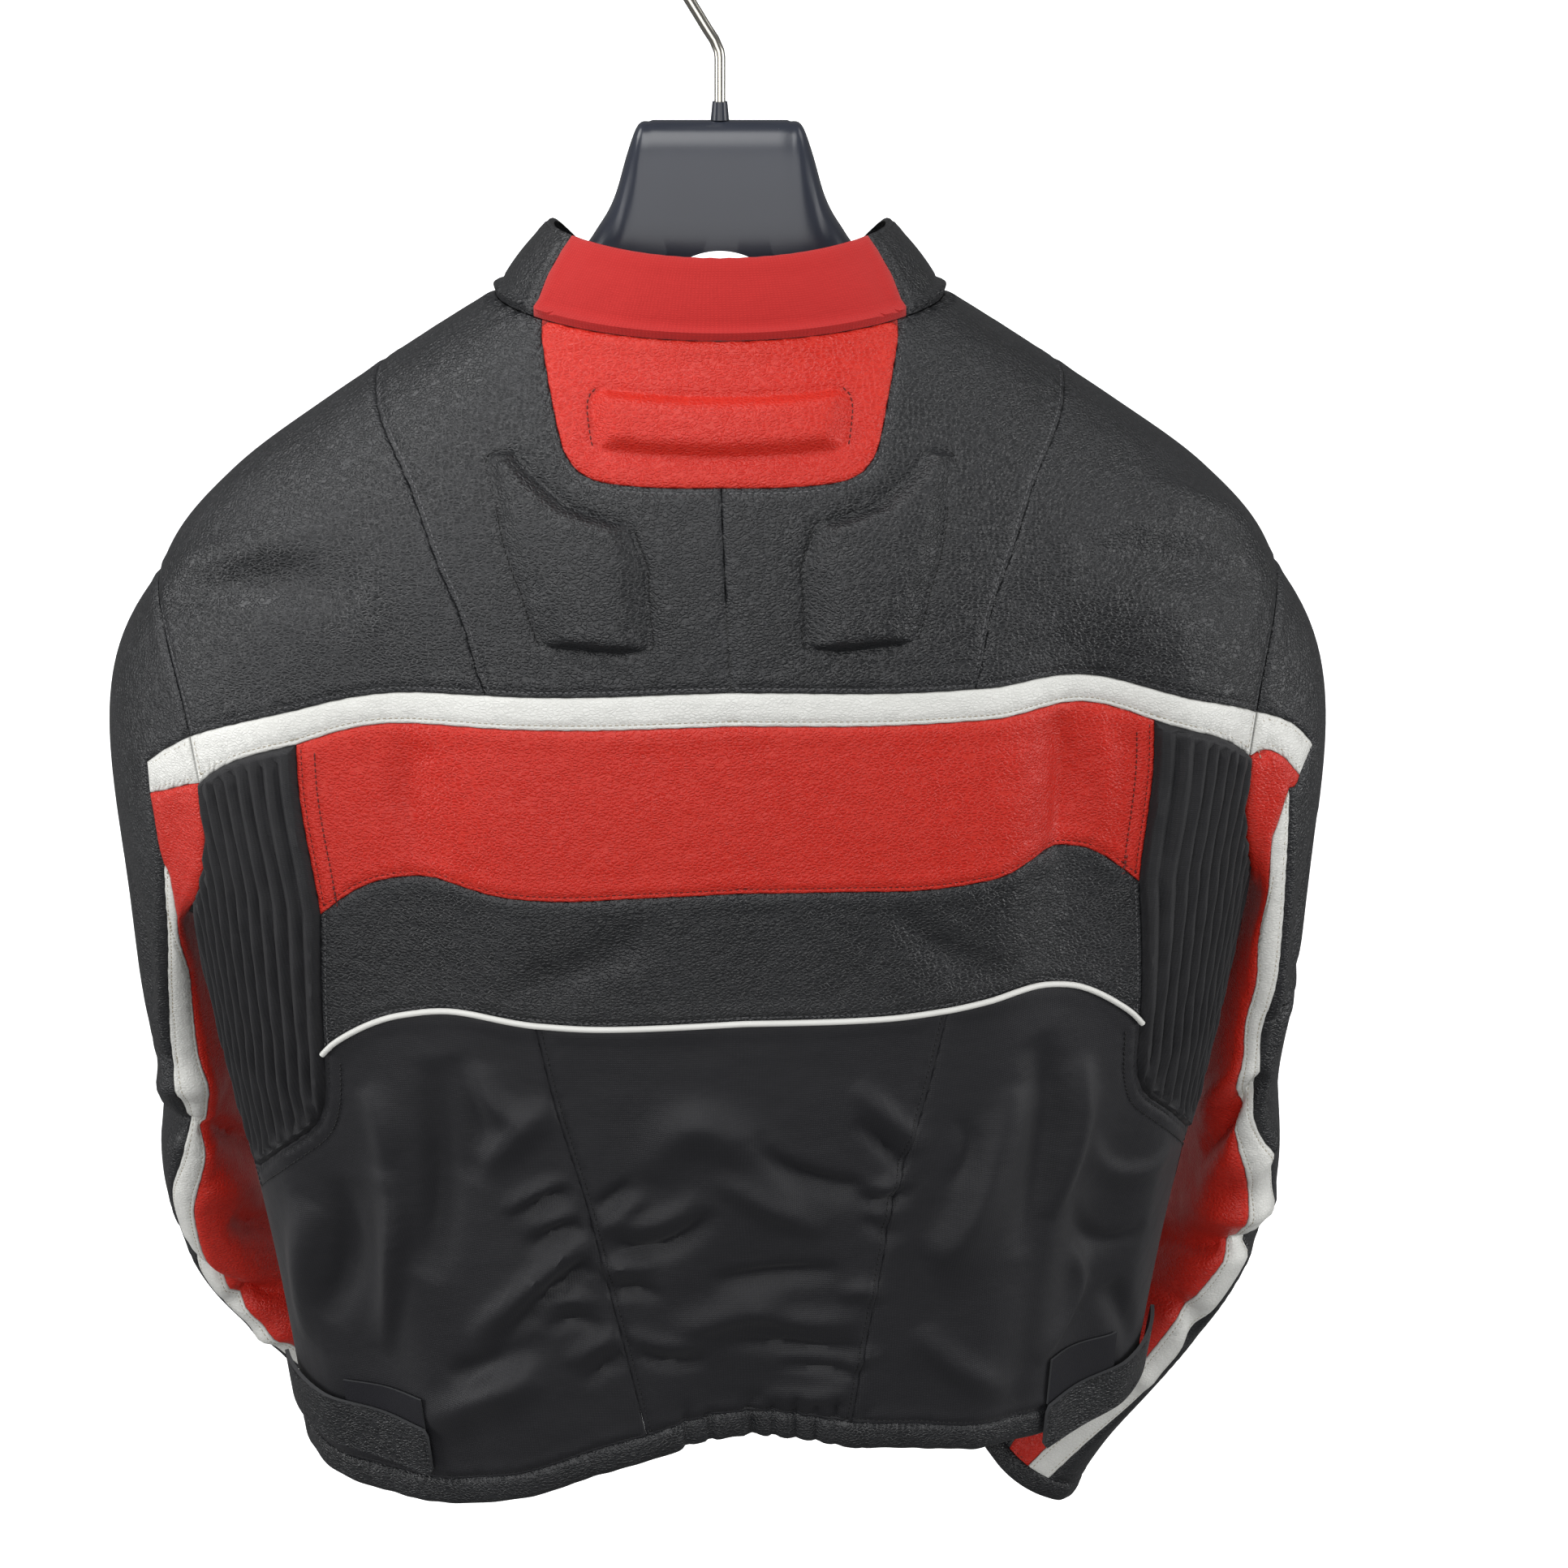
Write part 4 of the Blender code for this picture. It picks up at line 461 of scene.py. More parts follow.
# Creases of each sleeve's leather, with places as (around, along in mm).
# start around, along, middle around, along, end around, along, half_width mm, height mm, lean
SLEEVE_CREASES = {
    "left": (
        (14, 272, 78, 240, 118, 262, 9, -4.6, 0.2),
        (112, 240, 142, 268, 168, 305, 8, -3.8, 0.3),
        (40, 236, 84, 208, 128, 228, 12, 3, 0),
        (104, 288, 134, 306, 158, 330, 12, 2.8, 0),
        (120, 322, 140, 345, 166, 368, 8, -3.6, 0.3),
        (44, 330, 74, 362, 128, 404, 8, -3.2, 0.2),
        (60, 396, 96, 388, 134, 416, 8, -4, 0.3),
        (50, 428, 84, 424, 120, 446, 9, 2.4, 0),
        (70, 470, 100, 462, 136, 478, 8, -2.4, 0.2),
        (-40, 214, -10, 236, 30, 226, 10, -2.6, 0),
        (-36, 318, -6, 330, 36, 318, 10, -2.4, 0),
        (190, 196, 226, 222, 268, 214, 9, -3, 0.2),
        (196, 250, 232, 276, 276, 262, 9, -3.2, 0.2),
        (186, 318, 226, 342, 272, 330, 9, 2.6, 0),
        (180, 402, 224, 426, 276, 414, 8, -2.8, 0.2),
        (150, 140, 182, 168, 226, 160, 10, -2.4, 0),
        (40, 96, 62, 126, 60, 168, 10, -2.2, 0.2),
    ),
    "right": (
        (6, 152, 52, 158, 84, 196, 8, -3.4, 0.2),
        (78, 203, 108, 234, 142, 284, 7, -5, 0.3),
        (92, 196, 122, 224, 150, 262, 9, 2.6, 0),
        (100, 256, 118, 280, 140, 312, 9, 2.4, 0),
        (30, 352, 92, 345, 156, 376, 9, -5.2, 0.3),
        (40, 318, 96, 314, 150, 340, 11, 3, 0),
        (50, 256, 74, 268, 96, 288, 9, 2.2, 0),
        (56, 436, 94, 404, 136, 416, 8, -3.2, 0.2),
        (70, 470, 100, 462, 136, 480, 8, 2.2, 0),
        (-40, 210, -8, 230, 34, 222, 10, -2.6, 0),
        (-34, 322, -4, 336, 34, 330, 10, -2.4, 0),
        (190, 190, 226, 216, 268, 206, 9, -3, 0.2),
        (196, 248, 232, 274, 276, 262, 9, -3, 0.2),
        (186, 322, 226, 346, 272, 336, 9, 2.6, 0),
        (180, 410, 224, 432, 276, 420, 8, -2.8, 0.2),
        (150, 136, 182, 162, 226, 156, 10, -2.4, 0),
        (30, 90, 50, 118, 56, 146, 10, -2, 0.2),
    ),
}


# Surfaces

def read_rows(rows, at):
    """The columns after the first, at these values of the first, on a smooth curve through the rows."""
    keys, values = rows[:, 0], rows[:, 1:]
    at = np.clip(np.asarray(at, float), keys[0], keys[-1])
    low = np.clip(np.searchsorted(keys, at, side="right") - 1, 0, len(keys) - 2)
    step = (keys[low + 1] - keys[low])[..., None]
    t = (at - keys[low])[..., None] / step
    slope = np.gradient(values, keys, axis=0)
    rise = values[low] * (2 * t**3 - 3 * t**2 + 1) + values[low + 1] * (3 * t**2 - 2 * t**3)
    return rise + step * (slope[low] * (t**3 - 2 * t**2 + t) + slope[low + 1] * (t**3 - t**2))


def ease(x):
    """x where it is positive and 0 where it is negative, with the corner rounded off."""
    rounded = (x + SHOULDER_EASE) ** 2 / (4 * SHOULDER_EASE)
    return np.where(x > SHOULDER_EASE, x, np.where(x < -SHOULDER_EASE, 0, rounded))


def swell(x):
    """1 at 0, falling smoothly to 0 at -1 and 1."""
    return (1 - np.clip(x, -1, 1) ** 2) ** 2


def signed_power(value, power):
    return np.sign(value) * np.abs(value) ** power


def torso(places):
    """Points of the torso at (around, down)."""
    around, down = np.asarray(places, float).T
    ring = read_rows(TORSO_RINGS, down)
    back_z, side_z, front_z, half, back_y, mid_y, front_y, square, twist = ring.T
    sine, cosine = np.sin(np.radians(around)), np.cos(np.radians(around))
    x = half * signed_power(sine, 2 / square)
    y = mid_y + np.where(cosine > 0, back_y - mid_y, mid_y - front_y) * signed_power(cosine, 2 / square)
    end_z = np.where(cosine > 0, back_z, front_z)
    z = end_z + (side_z - end_z) * sine**2
    for middle, half_width, top, bottom, depth, lift in TORSO_FOLDS:
        reach = swell((around - middle) / half_width) * swell((2 * down - top - bottom) / (bottom - top))
        x = x + depth * reach * sine
        y = y + depth * reach * cosine
        z = z + lift * reach
    turn = np.radians(twist)
    return np.stack([
        x * np.cos(turn) - y * np.sin(turn), x * np.sin(turn) + y * np.cos(turn), z - HOOK_TO_NECK
    ], axis=-1)


def collar(places):
    """Points of the collar at (around, down), where down is 0 at the neck seam and negative above it."""
    around, down = np.asarray(places, float).T
    rise = -down / COLLAR_HEIGHT
    half, back_y, front_y, back_z, side_z, front_z, square, bow = COLLAR_TOP
    sine, cosine = np.sin(np.radians(around)), np.cos(np.radians(around))
    low = torso(np.stack([around, np.zeros_like(around)], axis=-1))
    end_z = np.where(cosine > 0, back_z, front_z)
    top = np.stack([
        half * signed_power(sine, 2 / square),
        np.where(cosine > 0, back_y, -front_y) * signed_power(cosine, 2 / square),
        end_z + (side_z - end_z) * sine**2 - HOOK_TO_NECK,
    ], axis=-1)
    out = np.stack([sine, cosine, np.zeros_like(sine)], axis=-1)
    outward = bow * np.sin(np.pi * np.clip(rise, 0, 1))
    return low + (top - low) * rise[:, None] + out * outward[:, None]


def zip_around(across, down):
    """The angle on the torso where the front is this far across from the middle."""
    ring = read_rows(TORSO_RINGS, np.maximum(down, 0)).T
    half = ring[3] + (COLLAR_TOP[0] - ring[3]) * np.clip(-down / COLLAR_HEIGHT, 0, 1)
    sine = np.clip(np.abs(across) / half, 0, 1) ** (ring[7] / 2)
    return np.where(across < 0, -1, 1) * (180 - np.degrees(np.arcsin(sine)))


def zip_strip(places):
    """Points of the front opening at (across, down), on the collar above the neck seam or the torso below."""
    across, down = np.asarray(places, float).T
    around = zip_around(across, down)
    on_torso = torso(np.stack([around, np.maximum(down, 0)], axis=-1))
    on_collar = collar(np.stack([around, np.minimum(down, 0)], axis=-1))
    return np.where(down[:, None] < 0, on_collar, on_torso)


def armhole(around):
    """Places on the torso, as (around, down), of the left armhole's seam."""
    angle = np.radians(around)
    return np.stack([
        ARMHOLE_AROUND - ARMHOLE_HALF_WIDTH * np.sin(angle),
        ARMHOLE_DOWN - ARMHOLE_HALF_HEIGHT * np.cos(angle),
    ], axis=-1)


def sleeve_oval(rows, around, along):
    """Points of a left-hand sleeve below the armpit."""
    section = read_rows(rows, along)
    centre, half_thick, half_depth = section[:, :3], section[:, 3:4], section[:, 4:5]
    run = read_rows(rows, along + 0.01)[:, :3] - read_rows(rows, along - 0.01)[:, :3]
    run = run / np.linalg.norm(run, axis=1, keepdims=True)
    rear = np.array([0, 1, 0]) - run * run[:, 1:2]
    rear = rear / np.linalg.norm(rear, axis=1, keepdims=True)
    out = np.cross(run, rear)
    cosine, sine = np.cos(np.radians(around))[:, None], np.sin(np.radians(around))[:, None]
    across = out * half_thick * signed_power(cosine, 0.85)
    return centre + across + rear * half_depth * signed_power(sine, 0.9)


def sleeve_of(side):
    """The surface of one sleeve, as a function of (around, along)."""
    mirror = SIDES[side]
    rows = SLEEVE_SECTIONS[side]

    def sleeve(places):
        around, along = np.asarray(places, float).T
        below = np.minimum(SHOULDER_RUN + ease(along - SHOULDER_RUN), rows[-1, 0] - 0.0101)
        point = sleeve_oval(rows, around, below)
        point[:, 2] -= HOOK_TO_NECK
        point[:, 0] *= mirror
        seam = armhole(around)
        seam[:, 0] *= mirror
        start = torso(seam)
        start[:, 0] += mirror * ARMHOLE_LIFT
        share = np.clip(1 - ease(SHOULDER_RUN - along) / SHOULDER_RUN, 0, 1)
        cap = np.maximum(0, np.cos(np.radians(around)))
        under = (1 - np.cos(np.radians(around))) / 2
        rear = swell((np.mod(around, 360) - 110) / 70)
        bulge = CAP_BULGE * cap + SIDE_BULGE * under + REAR_BULGE * rear
        bulge = bulge * np.sin(np.pi * share * (1.6 - 0.6 * share))
        joined = start + (point - start) * share[:, None]
        joined[:, 0] += mirror * bulge
        joined[:, 2] += 0.4 * bulge * cap
        return joined

    return sleeve


SURFACES = {
    "torso": (torso, 1),
    "collar": (collar, 1),
    "zip": (zip_strip, -1),
    "sleeve_left": (sleeve_of("left"), -1),
    "sleeve_right": (sleeve_of("right"), 1),
}


def steps_of(surface, places):
    """How far, and which way, a surface's point moves for one unit of each number."""
    u_step, v_step = np.array([0.01, 0]), np.array([0, 1e-5])
    along_u = (surface(places + u_step) - surface(places - u_step)) / 0.02
    along_v = (surface(places + v_step) - surface(places - v_step)) / 2e-5
    return along_u, along_v


def unit(vectors):
    return vectors / np.maximum(np.linalg.norm(vectors, axis=-1, keepdims=True), 1e-12)


def run_length(points):
    """How far along a run each of its points is."""
    return np.concatenate([[0], np.cumsum(np.linalg.norm(np.diff(points, axis=0), axis=1))])


def read_run(at, length, points):
    """What a run's columns hold at these distances along it."""
    return np.stack([np.interp(at, length, column) for column in points.T], axis=-1)


def normals_of(cloth, places):
    surface, outward = SURFACES[cloth]
    along_u, along_v = steps_of(surface, places)
    return unit(np.cross(along_u, along_v) * outward)


# Creases

def crease_rows(cloth):
    """The creases of one cloth surface: start, middle and end places, half_width, height and lean."""
    if cloth == "torso":
        table = TORSO_CREASES + tuple(
            (around, 590 - length, around + 0.4, 590 - length / 2, around + 0.3, 592, 2.8, -1.3, 0.0)
            for around, length in HEM_GATHERS
        )
    elif cloth.startswith("sleeve"):
        table = SLEEVE_CREASES[cloth.removeprefix("sleeve_")]
    else:
        table = ()
    for *run, half_width, height, lean in table:
        places = np.array(run, float).reshape(3, 2) * (1, 0.001)
        yield places, half_width * 0.00085, height * 0.001, lean


def crease_lines(cloth):
    """Each crease as points along its curve, ready for measuring how far a point of the cloth is from it."""
    surface, _ = SURFACES[cloth]
    found = []
    for (start, middle, end), half_width, height, lean in crease_rows(cloth):
        bend = 2 * middle - (start + end) / 2
        t = np.linspace(0, 1, 13)[:, None]
        line = surface((1 - t) ** 2 * start + 2 * t * (1 - t) * bend + t**2 * end)
        found.append((line, half_width, height, lean))
    return found


CREASE_LINES = {cloth: crease_lines(cloth) for cloth in SURFACES}
CREASE_LINES["zip"] = CREASE_LINES["torso"]


def crease_height(cloth, points, normals):
    """How far each point of the cloth stands proud for the creases that pass near it."""
    strength = bpy.context.scene.jacket_sizes.crease_strength
    total = np.zeros(len(points))
    for line, half_width, height, lean in CREASE_LINES[cloth]:
        reach = 2.8 * half_width
        near = np.all((points > line.min(0) - reach) & (points < line.max(0) + reach), axis=1)
        if not near.any():
            continue
        place, way = points[near][:, None], np.diff(line, axis=0)
        share = np.clip(np.einsum("ijk,jk->ij", place - line[:-1], way) / np.sum(way**2, axis=1), 0, 1)
        off = place - line[:-1] - share[..., None] * way
        gap = np.linalg.norm(off, axis=2)
        pick = gap.argmin(axis=1)
        rows = np.arange(len(pick))
        along = (pick + share[rows, pick]) / len(way)
        flank = np.sign(np.einsum("ij,ij->i", np.cross(way[pick], normals[near]), off[rows, pick]))
        width = half_width * (1 + lean * flank)
        fade = np.sin(np.pi * np.clip(along, 0, 1)) ** 0.7
        total[near] += height * np.exp(-((gap[rows, pick] / width) ** 2)) * fade
    return total * strength


def lay(cloth, places, proud=0.0):
    """Points and outward directions of the creased cloth at these places, `proud` above its outer face."""
    surface, _ = SURFACES[cloth]
    base, normals = surface(places), normals_of(cloth, places)
    return base + normals * (crease_height(cloth, base, normals) + proud)[:, None], normals


# Seams

def smooth_seam(cloth, rows, spacing=None):
    """Evenly spaced places on a smooth curve through a seam's rows, with both its ends."""
    surface, _ = SURFACES[cloth]
    spacing = spacing or bpy.context.scene.jacket_sizes.seam_step
    rows = np.asarray(rows, float)
    if len(rows) == 2:
        fine = rows[0] + (rows[1] - rows[0]) * np.linspace(0, 1, 81)[:, None]
    else:
        keys = np.arange(len(rows), dtype=float)
        fine = read_rows(np.column_stack([keys, rows]), np.linspace(0, len(rows) - 1, 30 * len(rows)))
    length = run_length(surface(fine))
    at = np.linspace(0, length[-1], max(1, round(length[-1] / spacing)) + 1)
    even = read_run(at, length, fine)
    even[0], even[-1] = rows[0], rows[-1]
    return even


def hem_down(around):
    return read_rows(HEM_LINE, around)[..., 0]


def hem_stretch(start, end):
    """Places along the hem line from one angle to another."""
    around = np.linspace(start, end, 120)
    return smooth_seam("torso", np.column_stack([around, hem_down(around)]))


def torso_seams():
    """Every seam of the torso and collar by name, with .left or .right after it."""
    seams = {}
    for side, mirror in SIDES.items():
        rows = dict(TORSO_SEAMS)
        rows["band_top_outer"] = (*BAND_TOP_OUTER, tuple(armhole(float(ARMHOLE_BAND_TOP))))
        rows["band_low_outer"] = (*BAND_LOW_OUTER, tuple(armhole(float(ARMHOLE_BAND_LOW))))
        rows["stretch_outer"] = (*STRETCH_OUTER, tuple(armhole(float(ARMHOLE_STRETCH))))
        rows["shoulder_outer"] = (*rows["shoulder_outer"][:2], tuple(armhole(float(ARMHOLE_SHOULDER))))
        side_hem = float(hem_down(mirror * SIDE_SEAM_HEM))
        side_top = tuple(armhole(float(ARMHOLE_SIDE_SEAM)))
        rows["side_seam"] = (side_top, SIDE_SEAM_LOW, (SIDE_SEAM_HEM, side_hem))
        lower_hem = float(hem_down(mirror * LOWER_SEAM_HEM))
        rows["lower_seam"] = (*LOWER_SEAM, (LOWER_SEAM_HEM, lower_hem))
        for name, line in rows.items():
            seams[f"{name}.{side}"] = smooth_seam("torso", np.array(line) * (mirror, 1))
        zip_hem = float(hem_down(zip_around(mirror * ZIP_HALF_OPENING, BACK_LENGTH)))
        down = np.linspace(0, zip_hem, 120)
        across = np.full_like(down, mirror * ZIP_HALF_OPENING)
        seams[f"zip.{side}"] = np.column_stack([zip_around(across, down), down])
        zip_top = float(zip_around(mirror * ZIP_HALF_OPENING, 0.0))
        seams[f"neck_front.{side}"] = smooth_seam("torso", ((mirror * 96, 0), (zip_top, 0)))
        up = np.linspace(0, -COLLAR_HEIGHT, 12)
        across = np.full_like(up, mirror * ZIP_HALF_OPENING)
        seams[f"collar_front.{side}"] = np.column_stack([zip_around(across, up), up])
        collar_front_top = float(seams[f"collar_front.{side}"][-1, 0])
        low, top = mirror * COLLAR_SEAM_LOW, mirror * COLLAR_SEAM_TOP
        seams[f"collar_seam.{side}"] = smooth_seam("collar", ((low, 0), (top, -COLLAR_HEIGHT)))
        seams[f"collar_back_top.{side}"] = smooth_seam("collar", ((0, -COLLAR_HEIGHT), (top, -COLLAR_HEIGHT)))
        seams[f"collar_side_top.{side}"] = smooth_seam(
            "collar", ((top, -COLLAR_HEIGHT), (collar_front_top, -COLLAR_HEIGHT))
        )
        seams[f"hem_front.{side}"] = hem_stretch(seams[f"zip.{side}"][-1, 0], mirror * SIDE_SEAM_HEM)
        seams[f"hem_front.{side}"][0] = seams[f"zip.{side}"][-1]
        seams[f"hem_side.{side}"] = hem_stretch(mirror * SIDE_SEAM_HEM, mirror * LOWER_SEAM_HEM)
        seams[f"hem_back.{side}"] = hem_stretch(mirror * LOWER_SEAM_HEM, 0)
        for name, start, end in (
            ("armhole_top", ARMHOLE_SHOULDER - 360, ARMHOLE_BAND_TOP),
            ("armhole_band", ARMHOLE_BAND_TOP, ARMHOLE_BAND_LOW),
            ("armhole_stretch", ARMHOLE_BAND_LOW, ARMHOLE_STRETCH),
            ("armhole_low", ARMHOLE_STRETCH, ARMHOLE_SIDE_SEAM),
            ("armhole_front", ARMHOLE_SIDE_SEAM, ARMHOLE_SHOULDER),
        ):
            places = armhole(np.arange(start, end + 1, ARMHOLE_STEP))
            seams[f"{name}.{side}"] = places * (mirror, 1)
    return seams


def sleeve_seams(side):
    """Every seam of one sleeve by name."""
    cloth = f"sleeve_{side}"
    cuff, elbow = CUFF_ALONG[side], ELBOW_ALONG[side]
    rows = STRIPE[side]

    def stripe_edge(column, start, end):
        along = np.linspace(start[1], end, 80)
        around = read_rows(rows, along)[:, column]
        around[0] = start[0]
        return smooth_seam(cloth, np.column_stack([around, along]))

    def ring(start, end, along):
        count = max(1, round(abs(end - start) / ARMHOLE_STEP))
        return np.column_stack([np.linspace(start, end, count + 1), np.full(count + 1, along)])

    band_ends = np.array([SLEEVE_BAND_TOP[side][-1], SLEEVE_BAND_LOW[side][-1]])
    seams = {
        "band_top": smooth_seam(cloth, SLEEVE_BAND_TOP[side]),
        "band_end": smooth_seam(cloth, band_ends),
        "band_low": smooth_seam(cloth, SLEEVE_BAND_LOW[side]),
        "fold": smooth_seam(cloth, RED_FOLD[side]),
        "stripe_top": smooth_seam(cloth, STRIPE_TOP[side]),
        "stripe_outer_upper": stripe_edge(0, STRIPE_TOP[side][0], elbow),
        "stripe_inner": stripe_edge(1, STRIPE_TOP[side][-1], cuff),
    }
    elbow_start = seams["stripe_outer_upper"][-1]
    seams["stripe_outer_lower"] = stripe_edge(0, elbow_start, cuff)
    front = OUTER_FRONT - 360
    seams["elbow"] = ring(elbow_start[0], front, elbow)
    seams["front_upper"] = smooth_seam(cloth, ((front, 0), (front, elbow)))
    seams["front_lower"] = smooth_seam(cloth, ((front, elbow), (front, cuff)))
    seams["red_inner"] = smooth_seam(cloth, (
        (RED_INNER_TOP, 0), (RED_INNER_TOP, 0.45 * cuff),
        (RED_INNER_LOW, 0.75 * cuff), (RED_INNER_CUFF, cuff),
    ))
    seams["top_cap"] = ring(front, ARMHOLE_BAND_TOP, 0)
    seams["top_band"] = ring(ARMHOLE_BAND_TOP, ARMHOLE_BAND_LOW, 0)
    seams["top_red"] = ring(ARMHOLE_BAND_LOW, RED_INNER_TOP, 0)
    seams["top_inner"] = ring(RED_INNER_TOP, OUTER_FRONT, 0)
    seams["cuff_outer"] = ring(front, seams["stripe_outer_lower"][-1, 0], cuff)
    seams["cuff_stripe"] = ring(seams["stripe_outer_lower"][-1, 0], seams["stripe_inner"][-1, 0], cuff)
    seams["cuff_red"] = ring(seams["stripe_inner"][-1, 0], RED_INNER_CUFF, cuff)
    seams["cuff_inner"] = ring(RED_INNER_CUFF, OUTER_FRONT, cuff)
    for part in ("upper", "lower"):
        seams[f"inner_front_{part}"] = seams[f"front_{part}"] + (360, 0)
    return seams


def outline(seams, names, side=""):
    """A closed outline from named seams in order, and which of its stretches are stitched.

    A minus sign before a name follows that seam backwards, and each plus after it is a row of stitches beside
    it. `side` stands in for .S.
    """
    places, stitched = [], []
    for name in names.replace(".S", f".{side}").split():
        line = seams[name.strip("-+")]
        line = line[::-1] if name.startswith("-") else line
        first = max(0, len(places) - 1)
        places.extend(line if not places else line[1:])
        stitched += [(first, len(places), number) for number in range(name.count("+"))]
    edge = np.array(places)
    if np.abs(edge[0] - edge[-1]).max() > 1e-6:
        raise ValueError(f"the outline {names} isn't closed")
    return edge[:-1], stitched


# Shells

def flat_area(places):
    x, y = places.T
    return 0.5 * np.sum(x * np.roll(y, -1) - y * np.roll(x, -1))


def inside(places, edge):
    """Which places lie inside a closed outline."""
    x, y = places[:, 0:1], places[:, 1:2]
    x0, y0 = edge.T
    x1, y1 = np.roll(edge, -1, axis=0).T
    crosses = (y0 > y) != (y1 > y)
    slope = np.where(y1 == y0, 1, y1 - y0)
    return (np.sum(crosses & (x < (x1 - x0) * (y - y0) / slope + x0), axis=1) % 2).astype(bool)


def edge_distance(places, edge):
    """How far each place is from a closed outline."""
    start, end = edge, np.roll(edge, -1, axis=0)
    way = end - start
    square = np.maximum(np.sum(way**2, axis=1), 1e-18)
    found = []
    for part in np.array_split(places, max(1, len(places) // 3000)):
        share = np.einsum("ijk,jk->ij", part[:, None] - start, way) / square
        nearest = start + np.clip(share, 0, 1)[..., None] * way
        found.append(np.linalg.norm(part[:, None] - nearest, axis=2).min(axis=1))
    return np.concatenate(found)


def mitred(side):
    """How each corner of an outline moves when its sides move inwards by one, each by its own direction."""
    corner = side + np.roll(side, 1, axis=0)
    return corner / np.maximum(np.sum(corner * corner, axis=1, keepdims=True) / 2, 0.5)


def inset(edge, gap):
    """The outline moved inwards by this much, in metres."""
    way = unit(np.roll(edge, -1, axis=0) - edge)
    return edge + mitred(np.stack([-way[:, 1], way[:, 0]], axis=-1)) * gap


def inward(cloth, edge):
    """The change of place that moves each point of a closed outline one metre into its panel."""
    surface, outward = SURFACES[cloth]
    along_u, along_v = steps_of(surface, edge)
    points = surface(edge)
    way = unit(np.roll(points, -1, axis=0) - points)
    up = unit(np.cross(along_u, along_v)) * np.sign(flat_area(edge))
    corner = mitred(np.cross(up, way))
    uu, vv = (np.sum(along * along, axis=1) for along in (along_u, along_v))
    uv = np.sum(along_u * along_v, axis=1)
    cu, cv = np.sum(corner * along_u, axis=1), np.sum(corner * along_v, axis=1)
    bottom = uu * vv - uv * uv
    return np.stack([(cu * vv - cv * uv) / bottom, (cv * uu - cu * uv) / bottom], axis=-1)


def dense(points, closed):
    """Points close together along a run."""
    ends = np.concatenate([points, points[:1]]) if closed else points
    length = run_length(ends)
    return read_run(np.linspace(0, length[-1], max(2, round(length[-1] / DENSE_STEP))), length, ends)


def how_far(points, run, closed=False):
    """How far each point is from a run of points, in space."""
    fine = dense(run, closed)
    tree = KDTree(len(fine))
    for number, point in enumerate(fine):
        tree.insert(point, number)
    tree.balance()
    return np.array([tree.find(point)[2] for point in points])


def rim_height(gap):
    """The turned edge of a panel: it rolls down at the seam and is puffed a little beside it."""
    inner = np.clip(1 - gap / ROLL_RADIUS, 0, 1)
    roll = 1 - np.sqrt(np.clip(1 - inner**2, 0, 1))
    return SEAM_PUFF * np.exp(-(((gap - PUFF_PLACE) / PUFF_WIDTH) ** 2)) - ROLL_DROP * roll


def put(name, data):
    """A new object with this data, in the scene."""
    obj = bpy.data.objects.new(name, data)
    bpy.context.scene.collection.objects.link(obj)
    return obj


def stand_for(node):
    """The piece takes the place of one CAD node, whose own mesh is hidden."""
    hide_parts(node)


def mesh_piece(name, points, faces, material, seam=None, cut=None, sharp=50.0):
    """A smooth mesh with its material, and what the material reads: `seam` is 1 at a panel's edge."""
    mesh = bpy.data.meshes.new(name)
    mesh.from_pydata([tuple(point) for point in points], [], [tuple(face) for face in faces])
    mesh.materials.append(material)
    if seam is not None:
        attribute = mesh.attributes.new("seam", "FLOAT", "POINT")
        attribute.data.foreach_set("value", np.asarray(seam, np.float32))
    if cut is not None:
        layer = mesh.uv_layers.new(name="cut")
        loops = np.empty(len(mesh.loops), np.int32)
        mesh.loops.foreach_get("vertex_index", loops)
        layer.data.foreach_set("uv", np.asarray(cut, np.float32)[loops].ravel())
    mesh.shade_smooth()
    mesh.set_sharp_from_angle(angle=math.radians(sharp))
    obj = put(name, mesh)
    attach(obj, BODY)
    return obj


def joined_copies(name, shape, places, material):
    """One mesh holding a copy of a small shape at each place. A place is an origin and three directions."""
    points, faces = shape
    origins, frames = places
    moved = origins[:, None] + np.einsum("ij,njk->nik", points, frames)
    count = len(points)
    all_faces = [
        tuple(corner + count * number for corner in face) for number in range(len(origins)) for face in faces
    ]
    return mesh_piece(name, moved.reshape(-1, 3), all_faces, material)


